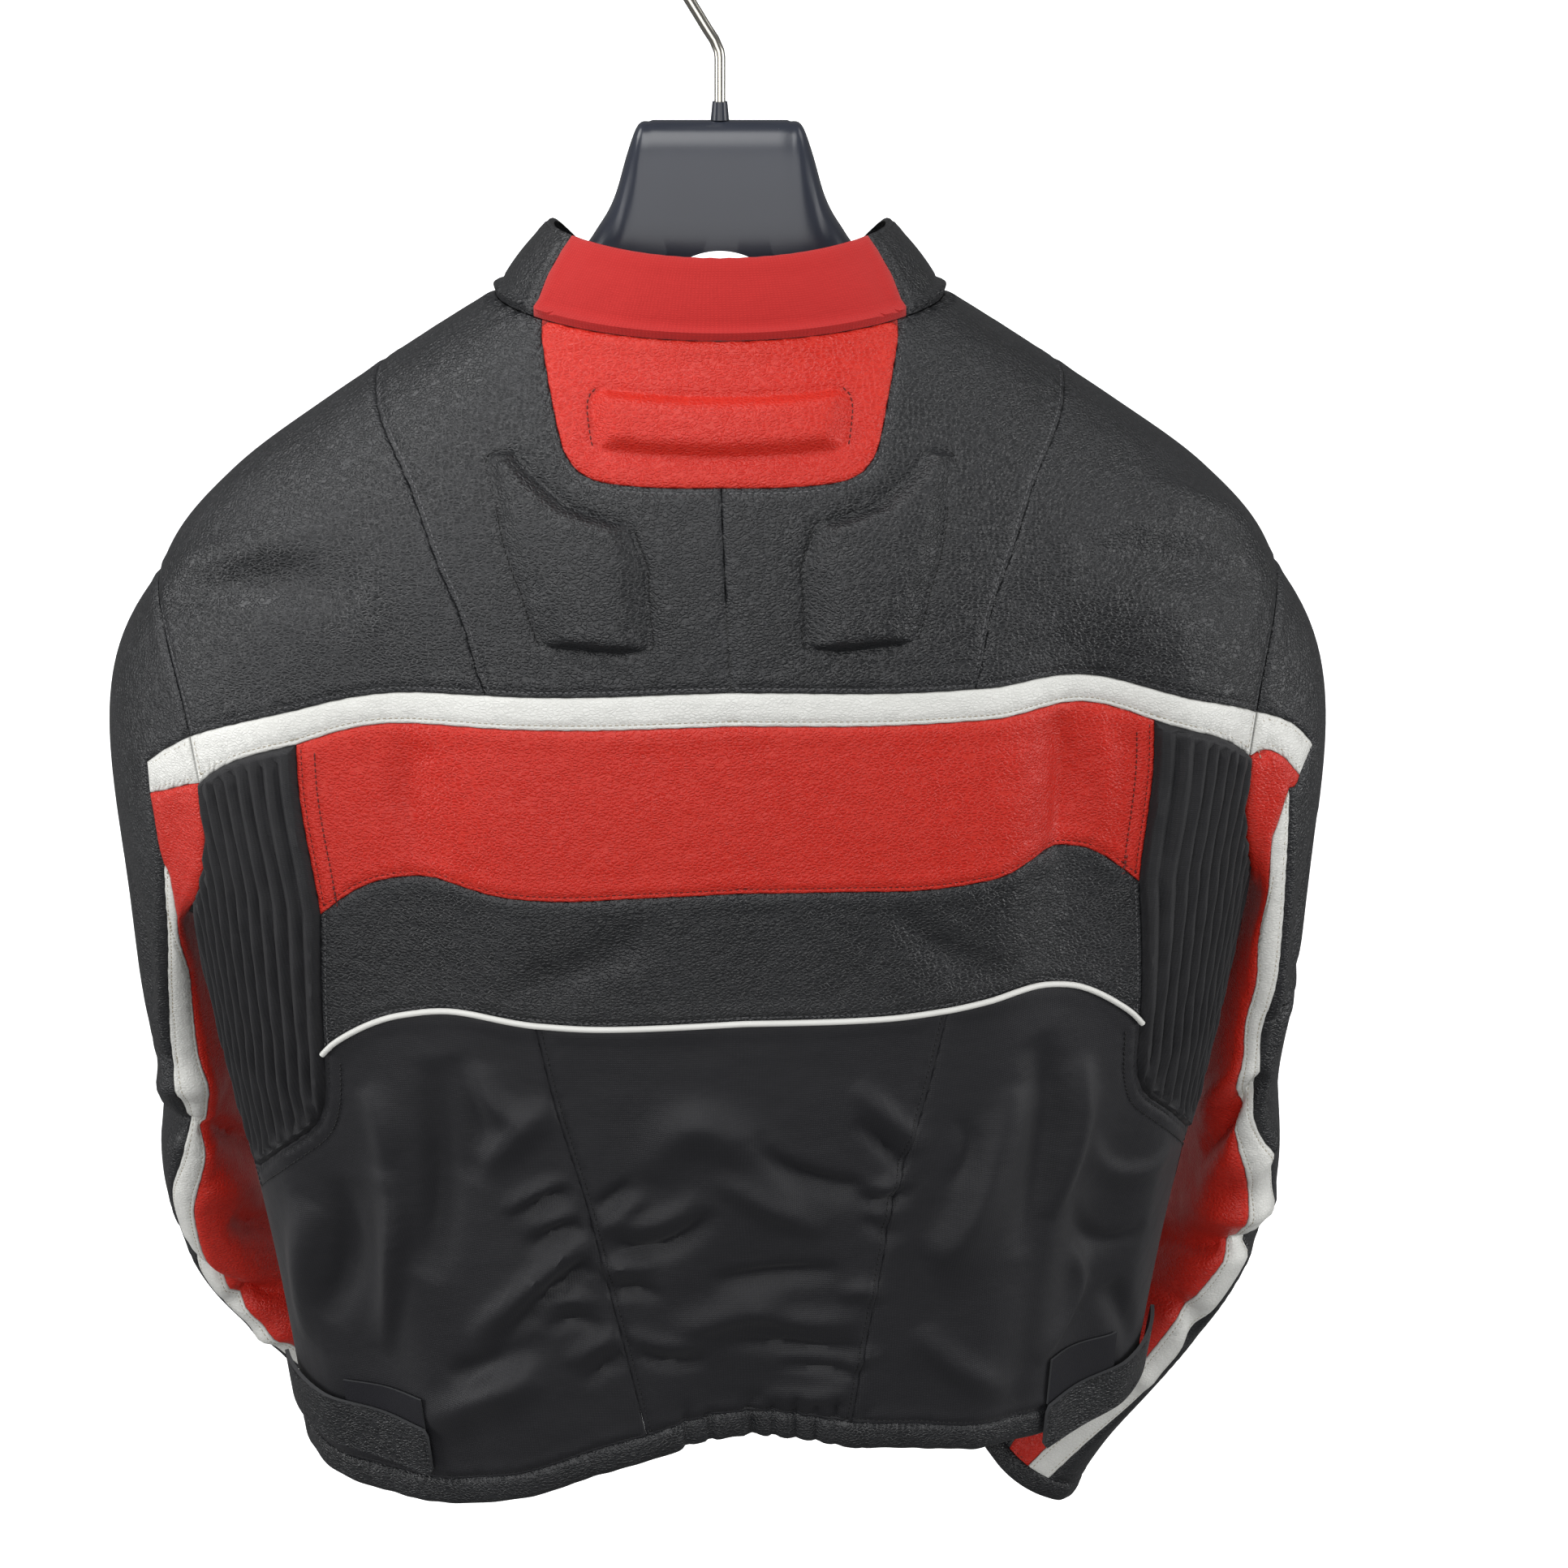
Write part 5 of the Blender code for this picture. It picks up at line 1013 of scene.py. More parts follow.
def shell(node, cloth, outlined, material, thickness=LEATHER, step=None, lift=0.0, relief=None, rings=(),
          lines=None, finish=True, edge_material=None):
    """A fine shell between its seams, with turned edges and stitch grooves, standing for one CAD node.

    `relief` gives how far outer points stand proud, from their places and their flat places in metres.
    `rings` are closed runs of places, and `lines` open ones, that the mesh follows. It returns the rows of
    stitches.
    """
    surface, _ = SURFACES[cloth]
    edge, stitched = outlined
    step = step or bpy.context.scene.jacket_sizes.cloth_step
    scale = np.array([np.linalg.norm(way, axis=1).mean() for way in steps_of(surface, edge)])
    into = inward(cloth, edge)
    rows = [
        (edge + into * (STITCH_OFFSET + number * ROW_APART))[np.arange(first, last) % len(edge)]
        for first, last, number in stitched
    ]
    ups = [SECOND_ROW_UP if number else 0.0 for _, _, number in stitched]
    rim_places = edge + into * HALF_GAP
    rim = rim_places * scale
    points = [tuple(place) for place in rim]
    ties = [(i, (i + 1) % len(rim)) for i in range(len(rim))]
    kept = [rim]
    for distance in RIM_RINGS if finish else ():
        ring = (edge + into * distance) * scale
        ring = ring[inside(ring, rim) & (edge_distance(ring, rim) > 0.55 * distance)]
        points += [tuple(place) for place in ring]
    for run in rings:
        run = np.asarray(run) * scale
        run = run[inside(run, rim) & (edge_distance(run, rim) > RING_TO_RIM)]
        points += [tuple(place) for place in run]
        kept.append(run)
    kept = np.concatenate(kept)
    margin = (RIM_RINGS[-1] if finish else 0) + 0.4 * step
    if lines is None:
        low, high = rim.min(axis=0), rim.max(axis=0)
        for number, v in enumerate(np.arange(low[1] + step / 2, high[1], step * 0.87)):
            u = np.arange(low[0] + step * (0.5 + 0.5 * (number % 2)), high[0], step)
            grid = np.column_stack([u, np.full_like(u, v)])
            grid = grid[inside(grid, rim)]
            grid = grid[edge_distance(grid, rim) > margin] if len(grid) else grid
            if len(grid) and len(kept) > len(rim):
                near = np.abs(kept[:, 1] - v) < step
                if near.any():
                    gap = np.linalg.norm(grid[:, None] - kept[near], axis=2).min(axis=1)
                    grid = grid[gap > 0.5 * step]
            points += [tuple(place) for place in grid]
    else:
        for line in lines:
            line = np.asarray(line) * scale
            good = inside(line, rim) & (edge_distance(line, rim) > margin)
            number = len(points) + np.cumsum(good) - 1
            ties += [(int(number[i]), int(number[i + 1])) for i in np.flatnonzero(good[:-1] & good[1:])]
            points += [tuple(place) for place in line[good]]
    found = delaunay_2d_cdt([Vector(point) for point in points], ties, [], 1, 1e-9)
    flat = np.array([tuple(point) for point in found[0]])
    faces = np.array([face for face in found[2]])
    corners = flat[faces]
    ahead, beside = corners[:, 1] - corners[:, 0], corners[:, 2] - corners[:, 0]
    turned = ahead[:, 0] * beside[:, 1] - ahead[:, 1] * beside[:, 0] < 0
    faces[turned] = faces[turned][:, ::-1]
    places = flat / scale
    base, normals = surface(places), normals_of(cloth, places)
    height = crease_height(cloth, base, normals) + lift
    if relief is not None:
        height = height + relief(places, flat)
    gap = how_far(base, surface(rim_places), closed=True)
    shaped = height + (rim_height(gap) if finish else 0)
    for row in rows:
        shaped = shaped - STITCH_GROOVE * np.exp(-((how_far(base, surface(row)) / GROOVE_WIDTH) ** 2))
    outer = base + normals * shaped[:, None]
    inner = base + normals * (height - thickness)[:, None]
    face_up = np.cross(outer[faces[:, 1]] - outer[faces[:, 0]], outer[faces[:, 2]] - outer[faces[:, 0]])
    if np.sum(face_up * normals[faces[:, 0]]) < 0:
        faces = faces[:, ::-1]
    count = len(flat)
    used = {}
    for a, b, c in faces.tolist():
        for pair in ((a, b), (b, c), (c, a)):
            used[pair] = True
    sides = [
        (start, start + count, end + count, end) for start, end in used if (end, start) not in used
    ]
    everything = faces.tolist() + (faces[:, ::-1] + count).tolist() + sides
    # The seam attribute is 1 at the rim. The leather paints wear, a seam highlight and a seam shade line from
    # it.
    seam = np.concatenate([np.exp(-gap / SEAM_WEAR_AND_LIGHT_WIDTH), np.zeros(count)])
    obj = mesh_piece(f"{node}_cut", np.concatenate([outer, inner]), everything, material, seam,
                     np.concatenate([flat, flat]))
    if edge_material:
        obj.data.materials.append(edge_material)
        for face in obj.data.polygons[-len(sides):]:
            face.material_index = 1
    corners = base[faces]
    crossed = np.cross(corners[:, 1] - corners[:, 0], corners[:, 2] - corners[:, 0])
    area = float(np.linalg.norm(crossed, axis=1).sum() / 2)
    long, short = float(np.ptp(flat, axis=0).max()), float(np.ptp(flat, axis=0).min())
    short = max(min(short, area / (0.6 * long)), area / (0.999 * long), 0.0101)
    stand_for(node)
    return [(row, cloth, lift + up) for row, up in zip(rows, ups)]


def stitch_shape():
    """One stitch: a short round length of thread whose ends dive into the leather."""
    sizes = bpy.context.scene.jacket_sizes
    half, radius = sizes.stitch_length / 2, sizes.thread_thickness / 2
    sections = ((-1.0, 0.35, -1.0), (-0.6, 1.0, 0.0), (0.6, 1.0, 0.0), (1.0, 0.35, -1.0))
    sides = 5
    points, faces = [], []
    for along, wide, sunk in sections:
        for turn in np.arange(sides) * 2 * math.pi / sides:
            points.append((
                along * half, wide * radius * math.cos(turn), radius * (wide * math.sin(turn) + 0.9 * sunk)
            ))
    for ring in range(len(sections) - 1):
        for side in range(sides):
            a, b = ring * sides + side, ring * sides + (side + 1) % sides
            faces.append((a, b, b + sides, a + sides))
    faces.append(tuple(range(sides))[::-1])
    faces.append(tuple(range((len(sections) - 1) * sides, len(sections) * sides)))
    return np.array(points), faces


def sew(name, rows, colour):
    """Rows of stitches as one mesh. Each row is places, the cloth they are on, and how far up they lie."""
    thread = material(f"polyester_thread_{colour}")
    pitch = bpy.context.scene.jacket_sizes.stitch_pitch
    origins, frames = [], []
    for places, cloth, lift in rows:
        points, normals = lay(cloth, places, lift - STITCH_GROOVE + THREAD_RISE)
        length = run_length(points)
        if length[-1] < pitch:
            continue
        at = np.arange(pitch / 2, length[-1], pitch)
        way = unit(read_run(at + THREAD_AIM, length, points) - read_run(at - THREAD_AIM, length, points))
        across = unit(np.cross(unit(read_run(at, length, normals)), way))
        origins.append(read_run(at, length, points))
        frames.append(np.stack([way, across, np.cross(way, across)], axis=1))
    joined_copies(name, stitch_shape(), (np.concatenate(origins), np.concatenate(frames)), thread)


def tube_piece(name, points, radii, material, sides=16, closed=False, ups=None, squash=1.0):
    """A round length along a run of points. `radii` is one radius or one for each point."""
    points = np.asarray(points, float)
    radii = np.broadcast_to(radii, len(points))
    if closed:
        way = unit(np.roll(points, -1, axis=0) - np.roll(points, 1, axis=0))
    else:
        way = unit(np.gradient(points, axis=0))
    up = np.array([0.0, 1.0, 0.0]) if ups is None else ups
    across = unit(np.cross(way, up))
    up = np.cross(across, way)
    turns = np.linspace(0, 2 * math.pi, sides, endpoint=False)
    rings = (
        points[:, None]
        + (across[:, None] * np.cos(turns)[:, None] + up[:, None] * np.sin(turns)[:, None] * squash)
        * radii[:, None, None]
    )
    return loft_piece(name, rings, material, closed)


def loft_piece(name, rings, material, closed=False, seam=None):
    """A closed mesh through rings of equally many points: capped at both ends, or joined end to end."""
    count, around = len(rings), len(rings[0])
    faces = []
    for i in range(count if closed else count - 1):
        for j in range(around):
            k, a, b = (j + 1) % around, i * around, (i + 1) % count * around
            faces.append((a + j, a + k, b + k, b + j))
    if not closed:
        faces.append(tuple(range(around))[::-1])
        faces.append(tuple(range((count - 1) * around, count * around)))
    points = np.concatenate(list(rings))
    size = np.ptp(points, axis=0).max()
    cut = np.column_stack([
        np.tile(np.arange(around) / around * 0.03, count), np.repeat(np.arange(count), around) * size / count
    ])
    obj = mesh_piece(name, points, faces, material, seam, cut)
    mesh = bmesh.new()
    mesh.from_mesh(obj.data)
    bmesh.ops.recalc_face_normals(mesh, faces=mesh.faces)
    mesh.to_mesh(obj.data)
    mesh.free()
    return obj


def rolled_edge(node, cloth, run, height, pinches, material, closed=False, sides=20):
    """The leather roll that binds a lower edge, with the small wrinkles that run across it."""
    surface, _ = SURFACES[cloth]
    keys = np.arange(len(run), dtype=float)
    fine = np.linspace(0, len(run) - 1, 2 * len(run) - 1)
    run = read_run(fine, keys, run)
    points, normals = lay(cloth, run)
    downward = steps_of(surface, run)[1]
    downward = unit(downward - normals * np.sum(downward * normals, axis=1, keepdims=True))
    length = run_length(points)
    swelling = sum(
        tall * np.sin(length / long + wander * np.sin(length / slow))
        for tall, long, wander, slow in ROLL_WRINKLES
    )
    for around, half_width, depth in pinches:
        place = length[np.abs(run[:, 0] - around).argmin()]
        swelling = swelling - depth * np.exp(-(((length - place) / half_width) ** 2))
    middle = points - normals * LEATHER / 2 + downward * (height / 2 - 0.0010)
    rings = []
    for turn in np.linspace(0, 2 * math.pi, sides, endpoint=False):
        across = signed_power(math.cos(turn), 0.8) * (LEATHER / 2 + HEM_ROLL_BULGE + swelling)
        along = signed_power(math.sin(turn), 0.7) * (height / 2 + 0.6 * swelling)
        rings.append(middle + normals * across[:, None] + downward * along[:, None])
    # The roll takes no seam wear and no painted seam highlight or shade.
    no_seam_wear_or_painted_light = np.zeros(len(run) * sides)
    obj = loft_piece(f"{node}_roll", np.stack(rings, axis=1), material, closed, seam=no_seam_wear_or_painted_light)
    stand_for(node)


def raised_pads(cloth, edge, shapes):
    """The relief of padded shapes on a panel, the rings its mesh follows there, and their stitch rows."""
    surface, _ = SURFACES[cloth]
    scale = np.array([np.linalg.norm(way, axis=1).mean() for way in steps_of(surface, edge)])
    marks, rings, rows = [], [], []
    for corners in shapes:
        shape = np.array(corners, float) * scale
        shape = shape if flat_area(shape) > 0 else shape[::-1]
        shape = rounded_run(shape, PAD_CORNER, PAD_RING_STEP)
        marks.append(shape)
        rings += [inset(shape, offset) / scale for offset in PAD_RINGS]
        # Only the upright sides are stitched through.
        stitch = inset(shape, -PAD_STITCHES_OUT)
        way = np.abs(np.roll(stitch, -1, axis=0) - stitch)
        steep = way[:, 1] > UPRIGHT_SLOPE * way[:, 0]
        start = int(np.flatnonzero(~steep)[0])
        stitch, steep = np.roll(stitch, -start, axis=0) / scale, np.roll(steep, -start)
        turns = np.flatnonzero(np.diff(steep.astype(int))) + 1
        for first, last in zip([0, *turns], [*turns, len(stitch)]):
            if steep[first]:
                rows.append((stitch[np.arange(first, last + 1) % len(stitch)], cloth, 0.0))

    def relief(_, flat):
        tall = np.zeros(len(flat))
        for mark in marks:
            within = inside(flat, mark)
            gap = edge_distance(flat, mark)
            # The foam thins towards the pad's upright ends, which are stitched nearly flush.
            eased = edge_distance(flat * PAD_EASE, mark * PAD_EASE)
            share = np.clip(eased / PAD_EDGE, 0, 1) * within
            crown = PAD_CROWN * (1 - np.exp(-eased / PAD_CROWN_REACH)) * within
            dent = PAD_DENT * np.exp(-((gap / PAD_DENT_WIDTH) ** 2))
            tall += (PAD_RAISE - PAD_SUNK) * share * share * (3 - 2 * share) + crown - dent
        return tall

    return relief, rings, rows


def rounded_run(corners, radius, spacing):
    """Places along a closed outline whose corners are rounded, with spacing along its straight sides."""
    places = []
    for before, corner, after in zip(np.roll(corners, 1, axis=0), corners, np.roll(corners, -1, axis=0)):
        ways = [(end - corner) / np.linalg.norm(end - corner) for end in (before, after)]
        half_angle = math.acos(float(np.clip(ways[0] @ ways[1], -1, 1))) / 2
        reach = min(radius / math.tan(half_angle), 0.4 * np.linalg.norm(before - corner),
                    0.4 * np.linalg.norm(after - corner))
        start, end = corner + ways[0] * reach, corner + ways[1] * reach
        if places:
            count = max(1, round(np.linalg.norm(start - places[-1]) / spacing))
            places += [places[-1] + (start - places[-1]) * i / count for i in range(1, count)]
        share = np.linspace(0, 1, 6)[:, None]
        places += list(start * (1 - share) ** 2 + 2 * corner * share * (1 - share) + end * share**2)
    count = max(1, round(np.linalg.norm(places[0] - places[-1]) / spacing))
    places += [places[-1] + (places[0] - places[-1]) * i / count for i in range(1, count)]
    return np.array(places)


# Materials

def linear(code):
    """The linear colour of an sRGB hex code."""
    values = [int(code[start:start + 2], 16) / 255 for start in (1, 3, 5)]
    return [value / 12.92 if value <= 0.04045 else ((value + 0.055) / 1.055) ** 2.4 for value in values]


def add(tree, kind, inputs=(), **settings):
    """A shader node with these settings, each of whose inputs is set to a value or linked to an output."""
    made = tree.nodes.new(f"ShaderNode{kind}")
    for name, value in settings.items():
        setattr(made, name, value)
    for name, value in dict(inputs).items():
        if isinstance(value, bpy.types.NodeSocket):
            tree.links.new(value, made.inputs[name])
        else:
            made.inputs[name].default_value = value
    return made


def mixed(tree, factor, first, second):
    """A colour between two, by this factor."""
    made = add(tree, "Mix", data_type="RGBA")
    for place, value in ((0, factor), (6, first), (7, second)):
        if isinstance(value, bpy.types.NodeSocket):
            tree.links.new(value, made.inputs[place])
        else:
            made.inputs[place].default_value = value if place == 0 else (*value, 1)
    return made.outputs[2]


def plain(name, colour, roughness, **others):
    """A new material with these plain settings, and its tree and shader."""
    material = bpy.data.materials.new(name)
    material.use_nodes = True
    shader = material.node_tree.nodes["Principled BSDF"]
    shader.inputs["Base Color"].default_value = (*colour, 1)
    shader.inputs["Roughness"].default_value = roughness
    for key, value in others.items():
        shader.inputs[key.replace("_", " ").title()].default_value = value
    material.diffuse_color = (*colour, 1)
    return material, material.node_tree, shader


def finish_with(tree, shader, tone, rough, height, distance, under=None):
    """Links the colour, the roughness and a height in metres to the shader."""
    settings = {"Height": height, "Distance": distance, "Strength": 1.0}
    if under is not None:
        settings["Normal"] = under
    bump = add(tree, "Bump", settings)
    if tone is not None:
        tree.links.new(tone, shader.inputs["Base Color"])
    if rough is not None:
        tree.links.new(rough, shader.inputs["Roughness"])
    tree.links.new(bump.outputs["Normal"], shader.inputs["Normal"])


def cowhide(name, colour, worn, line, grain, depth, roughness, shine):
    """Drum-dyed cowhide, embossed with a pebble grain: soft broken highlights, and paler where seams rub,
    partly as wear and partly as a painted highlight. Painted lines mark the folds between the pebbles, paler
    highlights on black and red, and a painted dark line stands for the shade where turned edges meet.

    The pebbles are drawn coarser than the real grain, which is too fine to show.
    """
    material, tree, shader = plain(name, colour, roughness)
    shader.inputs["Specular IOR Level"].default_value = shine
    place = add(tree, "TexCoord").outputs["Object"]
    stretch = add(tree, "TexNoise", {"Vector": place, "Scale": 1 / 0.0050, "Detail": 1.0})
    moved = add(tree, "VectorMath", {0: stretch.outputs["Color"], 1: (0.0012,) * 3},
                operation="MULTIPLY")
    shifted = add(tree, "VectorMath", {0: place, 1: moved.outputs[0]}, operation="ADD")
    # The hide was stretched sideways as it was embossed, so its pebbles are wider than they are high.
    warped = add(tree, "VectorMath", {0: shifted.outputs[0], 1: (1.0, 1.0, 1.6)}, operation="MULTIPLY")
    pebbles = add(tree, "TexVoronoi", {"Vector": warped.outputs[0], "Scale": 1 / grain},
                  feature="DISTANCE_TO_EDGE")
    domes = add(tree, "MapRange", {"Value": pebbles.outputs["Distance"], "From Max": 0.30},
                interpolation_type="SMOOTHSTEP")
    small = add(tree, "TexVoronoi", {"Vector": warped.outputs[0], "Scale": 2.7 / grain})
    broad = add(tree, "TexNoise", {"Vector": place, "Scale": 1 / 0.045, "Detail": 4.0})
    # The seam attribute drives the tone near the seams and the painted shade line where the turned edges
    # meet. On the black and red hides the paler tone near the seams is partly wear and partly a painted
    # highlight along the turned edges.
    rubbed = add(tree, "Attribute", attribute_name="seam")
    share = add(tree, "Math", {0: rubbed.outputs["Fac"], 1: broad.outputs["Fac"]},
                operation="MULTIPLY")
    patchy = add(tree, "MapRange", {"Value": broad.outputs["Fac"], "From Min": 0.35, "From Max": 0.75,
                                              "To Max": 0.30})
    both = add(tree, "Math", {0: share.outputs[0], 1: patchy.outputs[0]}, operation="ADD")
    rubbed_tone = mixed(tree, both.outputs[0], colour, worn)
    # Painted highlight: the folds between the pebbles are painted as fine paler lines, which stand in for
    # light caught on their edges; on the white hide they take its darker worn tone instead.
    folds = add(tree, "MapRange", {"Value": pebbles.outputs["Distance"], "From Max": 0.13,
                                             "To Min": 0.55, "To Max": 0.0})
    fold_painted_tone = mixed(tree, folds.outputs[0], rubbed_tone, line)
    # Painted shade: a thin dark line is painted where the turned edges meet, standing in for the shade in the
    # seam's crevice.
    painted_seam_shade = add(tree, "MapRange", {"Value": rubbed.outputs["Fac"], "From Min": 0.72, "From Max": 1.0,
                                            "To Max": 0.85})
    tone = mixed(tree, painted_seam_shade.outputs[0], fold_painted_tone, tuple(0.2 * value for value in colour))
    rough = add(tree, "MapRange", {"Value": broad.outputs["Fac"], "From Min": 0.3, "From Max": 0.7,
                                             "To Min": roughness - 0.06, "To Max": roughness + 0.07})
    hide = add(tree, "TexNoise", {"Vector": place, "Scale": 1 / 0.012, "Detail": 1.0})
    under = add(tree, "Bump", {"Height": hide.outputs["Fac"], "Distance": 0.0010, "Strength": 1.0})
    fine = add(tree, "Math", {0: small.outputs["Distance"], 1: 0.45}, operation="MULTIPLY")
    height = add(tree, "Math", {0: domes.outputs[0], 1: fine.outputs[0]}, operation="SUBTRACT")
    finish_with(tree, shader, tone, rough.outputs[0], height.outputs[0], depth, under.outputs["Normal"])
    return material


def woven(name, colour, pale, pitch, depth, roughness, sheen):
    """Plain-woven or knitted yarn, drawn along the cloth's own cut: a matt grid with a faint sheen.

    The real yarns are about half this pitch, which is drawn coarser because they are too fine to show.
    """
    material, tree, shader = plain(name, colour, roughness, sheen_weight=sheen, sheen_roughness=0.5)
    cut = add(tree, "UVMap", uv_map="cut").outputs["UV"]
    wander = add(tree, "TexNoise", {"Vector": cut, "Scale": 1 / 0.02, "Detail": 2.0})
    moved = add(tree, "VectorMath", {0: wander.outputs["Color"], 1: (0.0020,) * 3},
                operation="MULTIPLY")
    place = add(tree, "VectorMath", {0: cut, 1: moved.outputs[0]}, operation="ADD").outputs[0]
    yarns = [
        add(tree, "TexWave", {"Vector": place, "Scale": math.pi / 10 / wide}, bands_direction=way)
        for way, wide in (("X", pitch[0]), ("Y", pitch[1]))
    ]
    height = add(tree, "Math", {0: yarns[0].outputs["Fac"], 1: yarns[1].outputs["Fac"]},
                 operation="MULTIPLY")
    broad = add(tree, "TexNoise", {"Vector": cut, "Scale": 1 / 0.03, "Detail": 5.0})
    share = add(tree, "Math", {0: height.outputs[0], 1: broad.outputs["Fac"]}, operation="MULTIPLY")
    tone = mixed(tree, share.outputs[0], colour, pale)
    hand = add(tree, "Bump", {"Height": broad.outputs["Fac"], "Distance": 0.0014, "Strength": 1.0})
    finish_with(tree, shader, tone, None, height.outputs[0], depth, hand.outputs["Normal"])
    return material


def grainy(name, colour, pale, size, depth, roughness, **others):
    """A surface with fine even roughness, such as moulded plastic, cast or plated metal, pile or paint."""
    material, tree, shader = plain(name, colour, roughness, **others)
    place = add(tree, "TexCoord").outputs["Object"]
    grains = add(tree, "TexNoise", {"Vector": place, "Scale": 1 / size, "Detail": 3.0})
    broad = add(tree, "TexNoise", {"Vector": place, "Scale": 1 / 0.05, "Detail": 3.0})
    tone = mixed(tree, broad.outputs["Fac"], colour, pale)
    rough = add(tree, "MapRange", {"Value": broad.outputs["Fac"], "To Min": roughness * 0.85,
                                             "To Max": roughness * 1.15})
    finish_with(tree, shader, tone, rough.outputs[0], grains.outputs["Fac"], depth)
    return material


def finish_table():
    """The maker of each material, and what it is given."""
    tones = bpy.context.scene.jacket_colours
    black, red, white, dark = tones.black_hide, tones.red_hide, tones.white_hide, tones.textile
    return {
        "pebbled_cowhide_black": (
            cowhide, (black, tones.worn_and_seam_highlight_black, tones.grain_fold_highlight_black, 0.0027, 0.00030, 0.39, 0.50)),
        "pebbled_cowhide_red": (
            cowhide, (red, tones.worn_and_seam_highlight_red, tones.grain_fold_highlight_red, 0.0027, 0.00026, 0.38, 0.32)),
        # The white hide's folds between pebbles are painted in its darker worn tone.
        "coated_cowhide_white": (
            cowhide, (white, tones.worn_white, tones.worn_white, 0.0026, 0.00014, 0.42, 0.38)),
        "woven_polyamide_black": (woven, (dark, tones.textile_pale, (0.0011, 0.0011), 0.00010, 0.60, 0.05)),
        "knitted_polyamide_accordion": (
            woven, (tones.accordion, tones.textile_pale, (0.0013, 0.0010), 0.00008, 0.66, 0.04)),
        "bonded_knit_red": (woven, (tones.knit, tones.knit_pale, (0.0016, 0.0012), 0.00014, 0.88, 0.10)),
        "woven_polyester_zip_tape": (woven, (dark, dark, (0.0012, 0.0009), 0.00008, 0.75, 0.1)),
        "cut_pile_hook_and_loop": (grainy, (dark, tones.textile_pale, 0.0006, 0.0004, 0.95)),
        "coated_cord_white": (grainy, (white, tones.worn_white, 0.0030, 0.00004, 0.42)),
        "moulded_acetal_zip_teeth": (grainy, (dark, dark, 0.0020, 0.00001, 0.35)),
        "cast_zinc_zip_metal": (grainy, (tones.zip_metal, tones.zip_metal, 0.0010, 0.00001, 0.30)),
        "moulded_abs_slate": (grainy, (tones.slate, tones.slate_pale, 0.0008, 0.00002, 0.26)),
        "nickel_plated_wire": (grainy, (tones.wire, tones.wire, 0.0015, 0.00001, 0.20)),
        **{
            f"polyester_{thread}": (grainy, (*[getattr(tones, thread)] * 2, 0.0004, 0.00003, 0.55))
            for thread in ("thread_black", "thread_grey", "thread_red", "thread_white")
        },
        "cut_leather_edge_grey": (grainy, (tones.cut_edge, tones.cut_edge, 0.0008, 0.0001, 0.75)),
        "painted_studio_sweep": (grainy, (tones.backdrop, tones.backdrop, 0.02, 0.00005, 0.85)),
    }


# Materials that are metal
METALS = ("cast_zinc_zip_metal", "nickel_plated_wire")


def material(name):
    """The named material, made the first time it is asked for."""
    found = bpy.data.materials.get(name)
    if found is None:
        maker, given = finish_table()[name]
        found = maker(name, *(tuple(value) if hasattr(value, "__len__") else value for value in given))
        if name in METALS:
            found.node_tree.nodes["Principled BSDF"].inputs["Metallic"].default_value = 1.0
    return found


# What can be set

def length(name, description, default):
    return bpy.props.FloatProperty(name=name, description=description, default=default, min=0.0001,
                                   unit="LENGTH", subtype="DISTANCE", precision=4)


def tint(name, description, code):
    return bpy.props.FloatVectorProperty(name=name, description=description, default=linear(code), size=3,
                                         min=0.0, max=1.0, subtype="COLOR")


def power(name, description, default):
    return bpy.props.FloatProperty(name=name, description=description, default=default, min=0.0, unit="POWER")


class JacketSizes(bpy.types.PropertyGroup):
    """Sizes of the sewing and of the meshes."""
    stitch_pitch: length("Stitch pitch", "From one stitch to the next", 0.0031)
    stitch_length: length("Stitch length", "Length of the thread that shows at each stitch", 0.0023)
    thread_thickness: length("Thread thickness", "Thickness of the sewing thread", 0.0007)
    cloth_step: length("Leather spacing", "Distance between the points of a leather panel", 0.0045)
    textile_step: length("Textile spacing", "Distance between the points of a textile panel", 0.0036)
    seam_step: length("Seam spacing", "Distance between the points along a seam", 0.0045)
    tooth_pitch: length("Tooth pitch", "From one zip tooth to the next on the same side", 0.0030)
    crease_strength: bpy.props.FloatProperty(
        name="Crease strength", description="How strongly the creases stand out", default=2.3, min=0.0,
        max=3.0, subtype="FACTOR",
    )


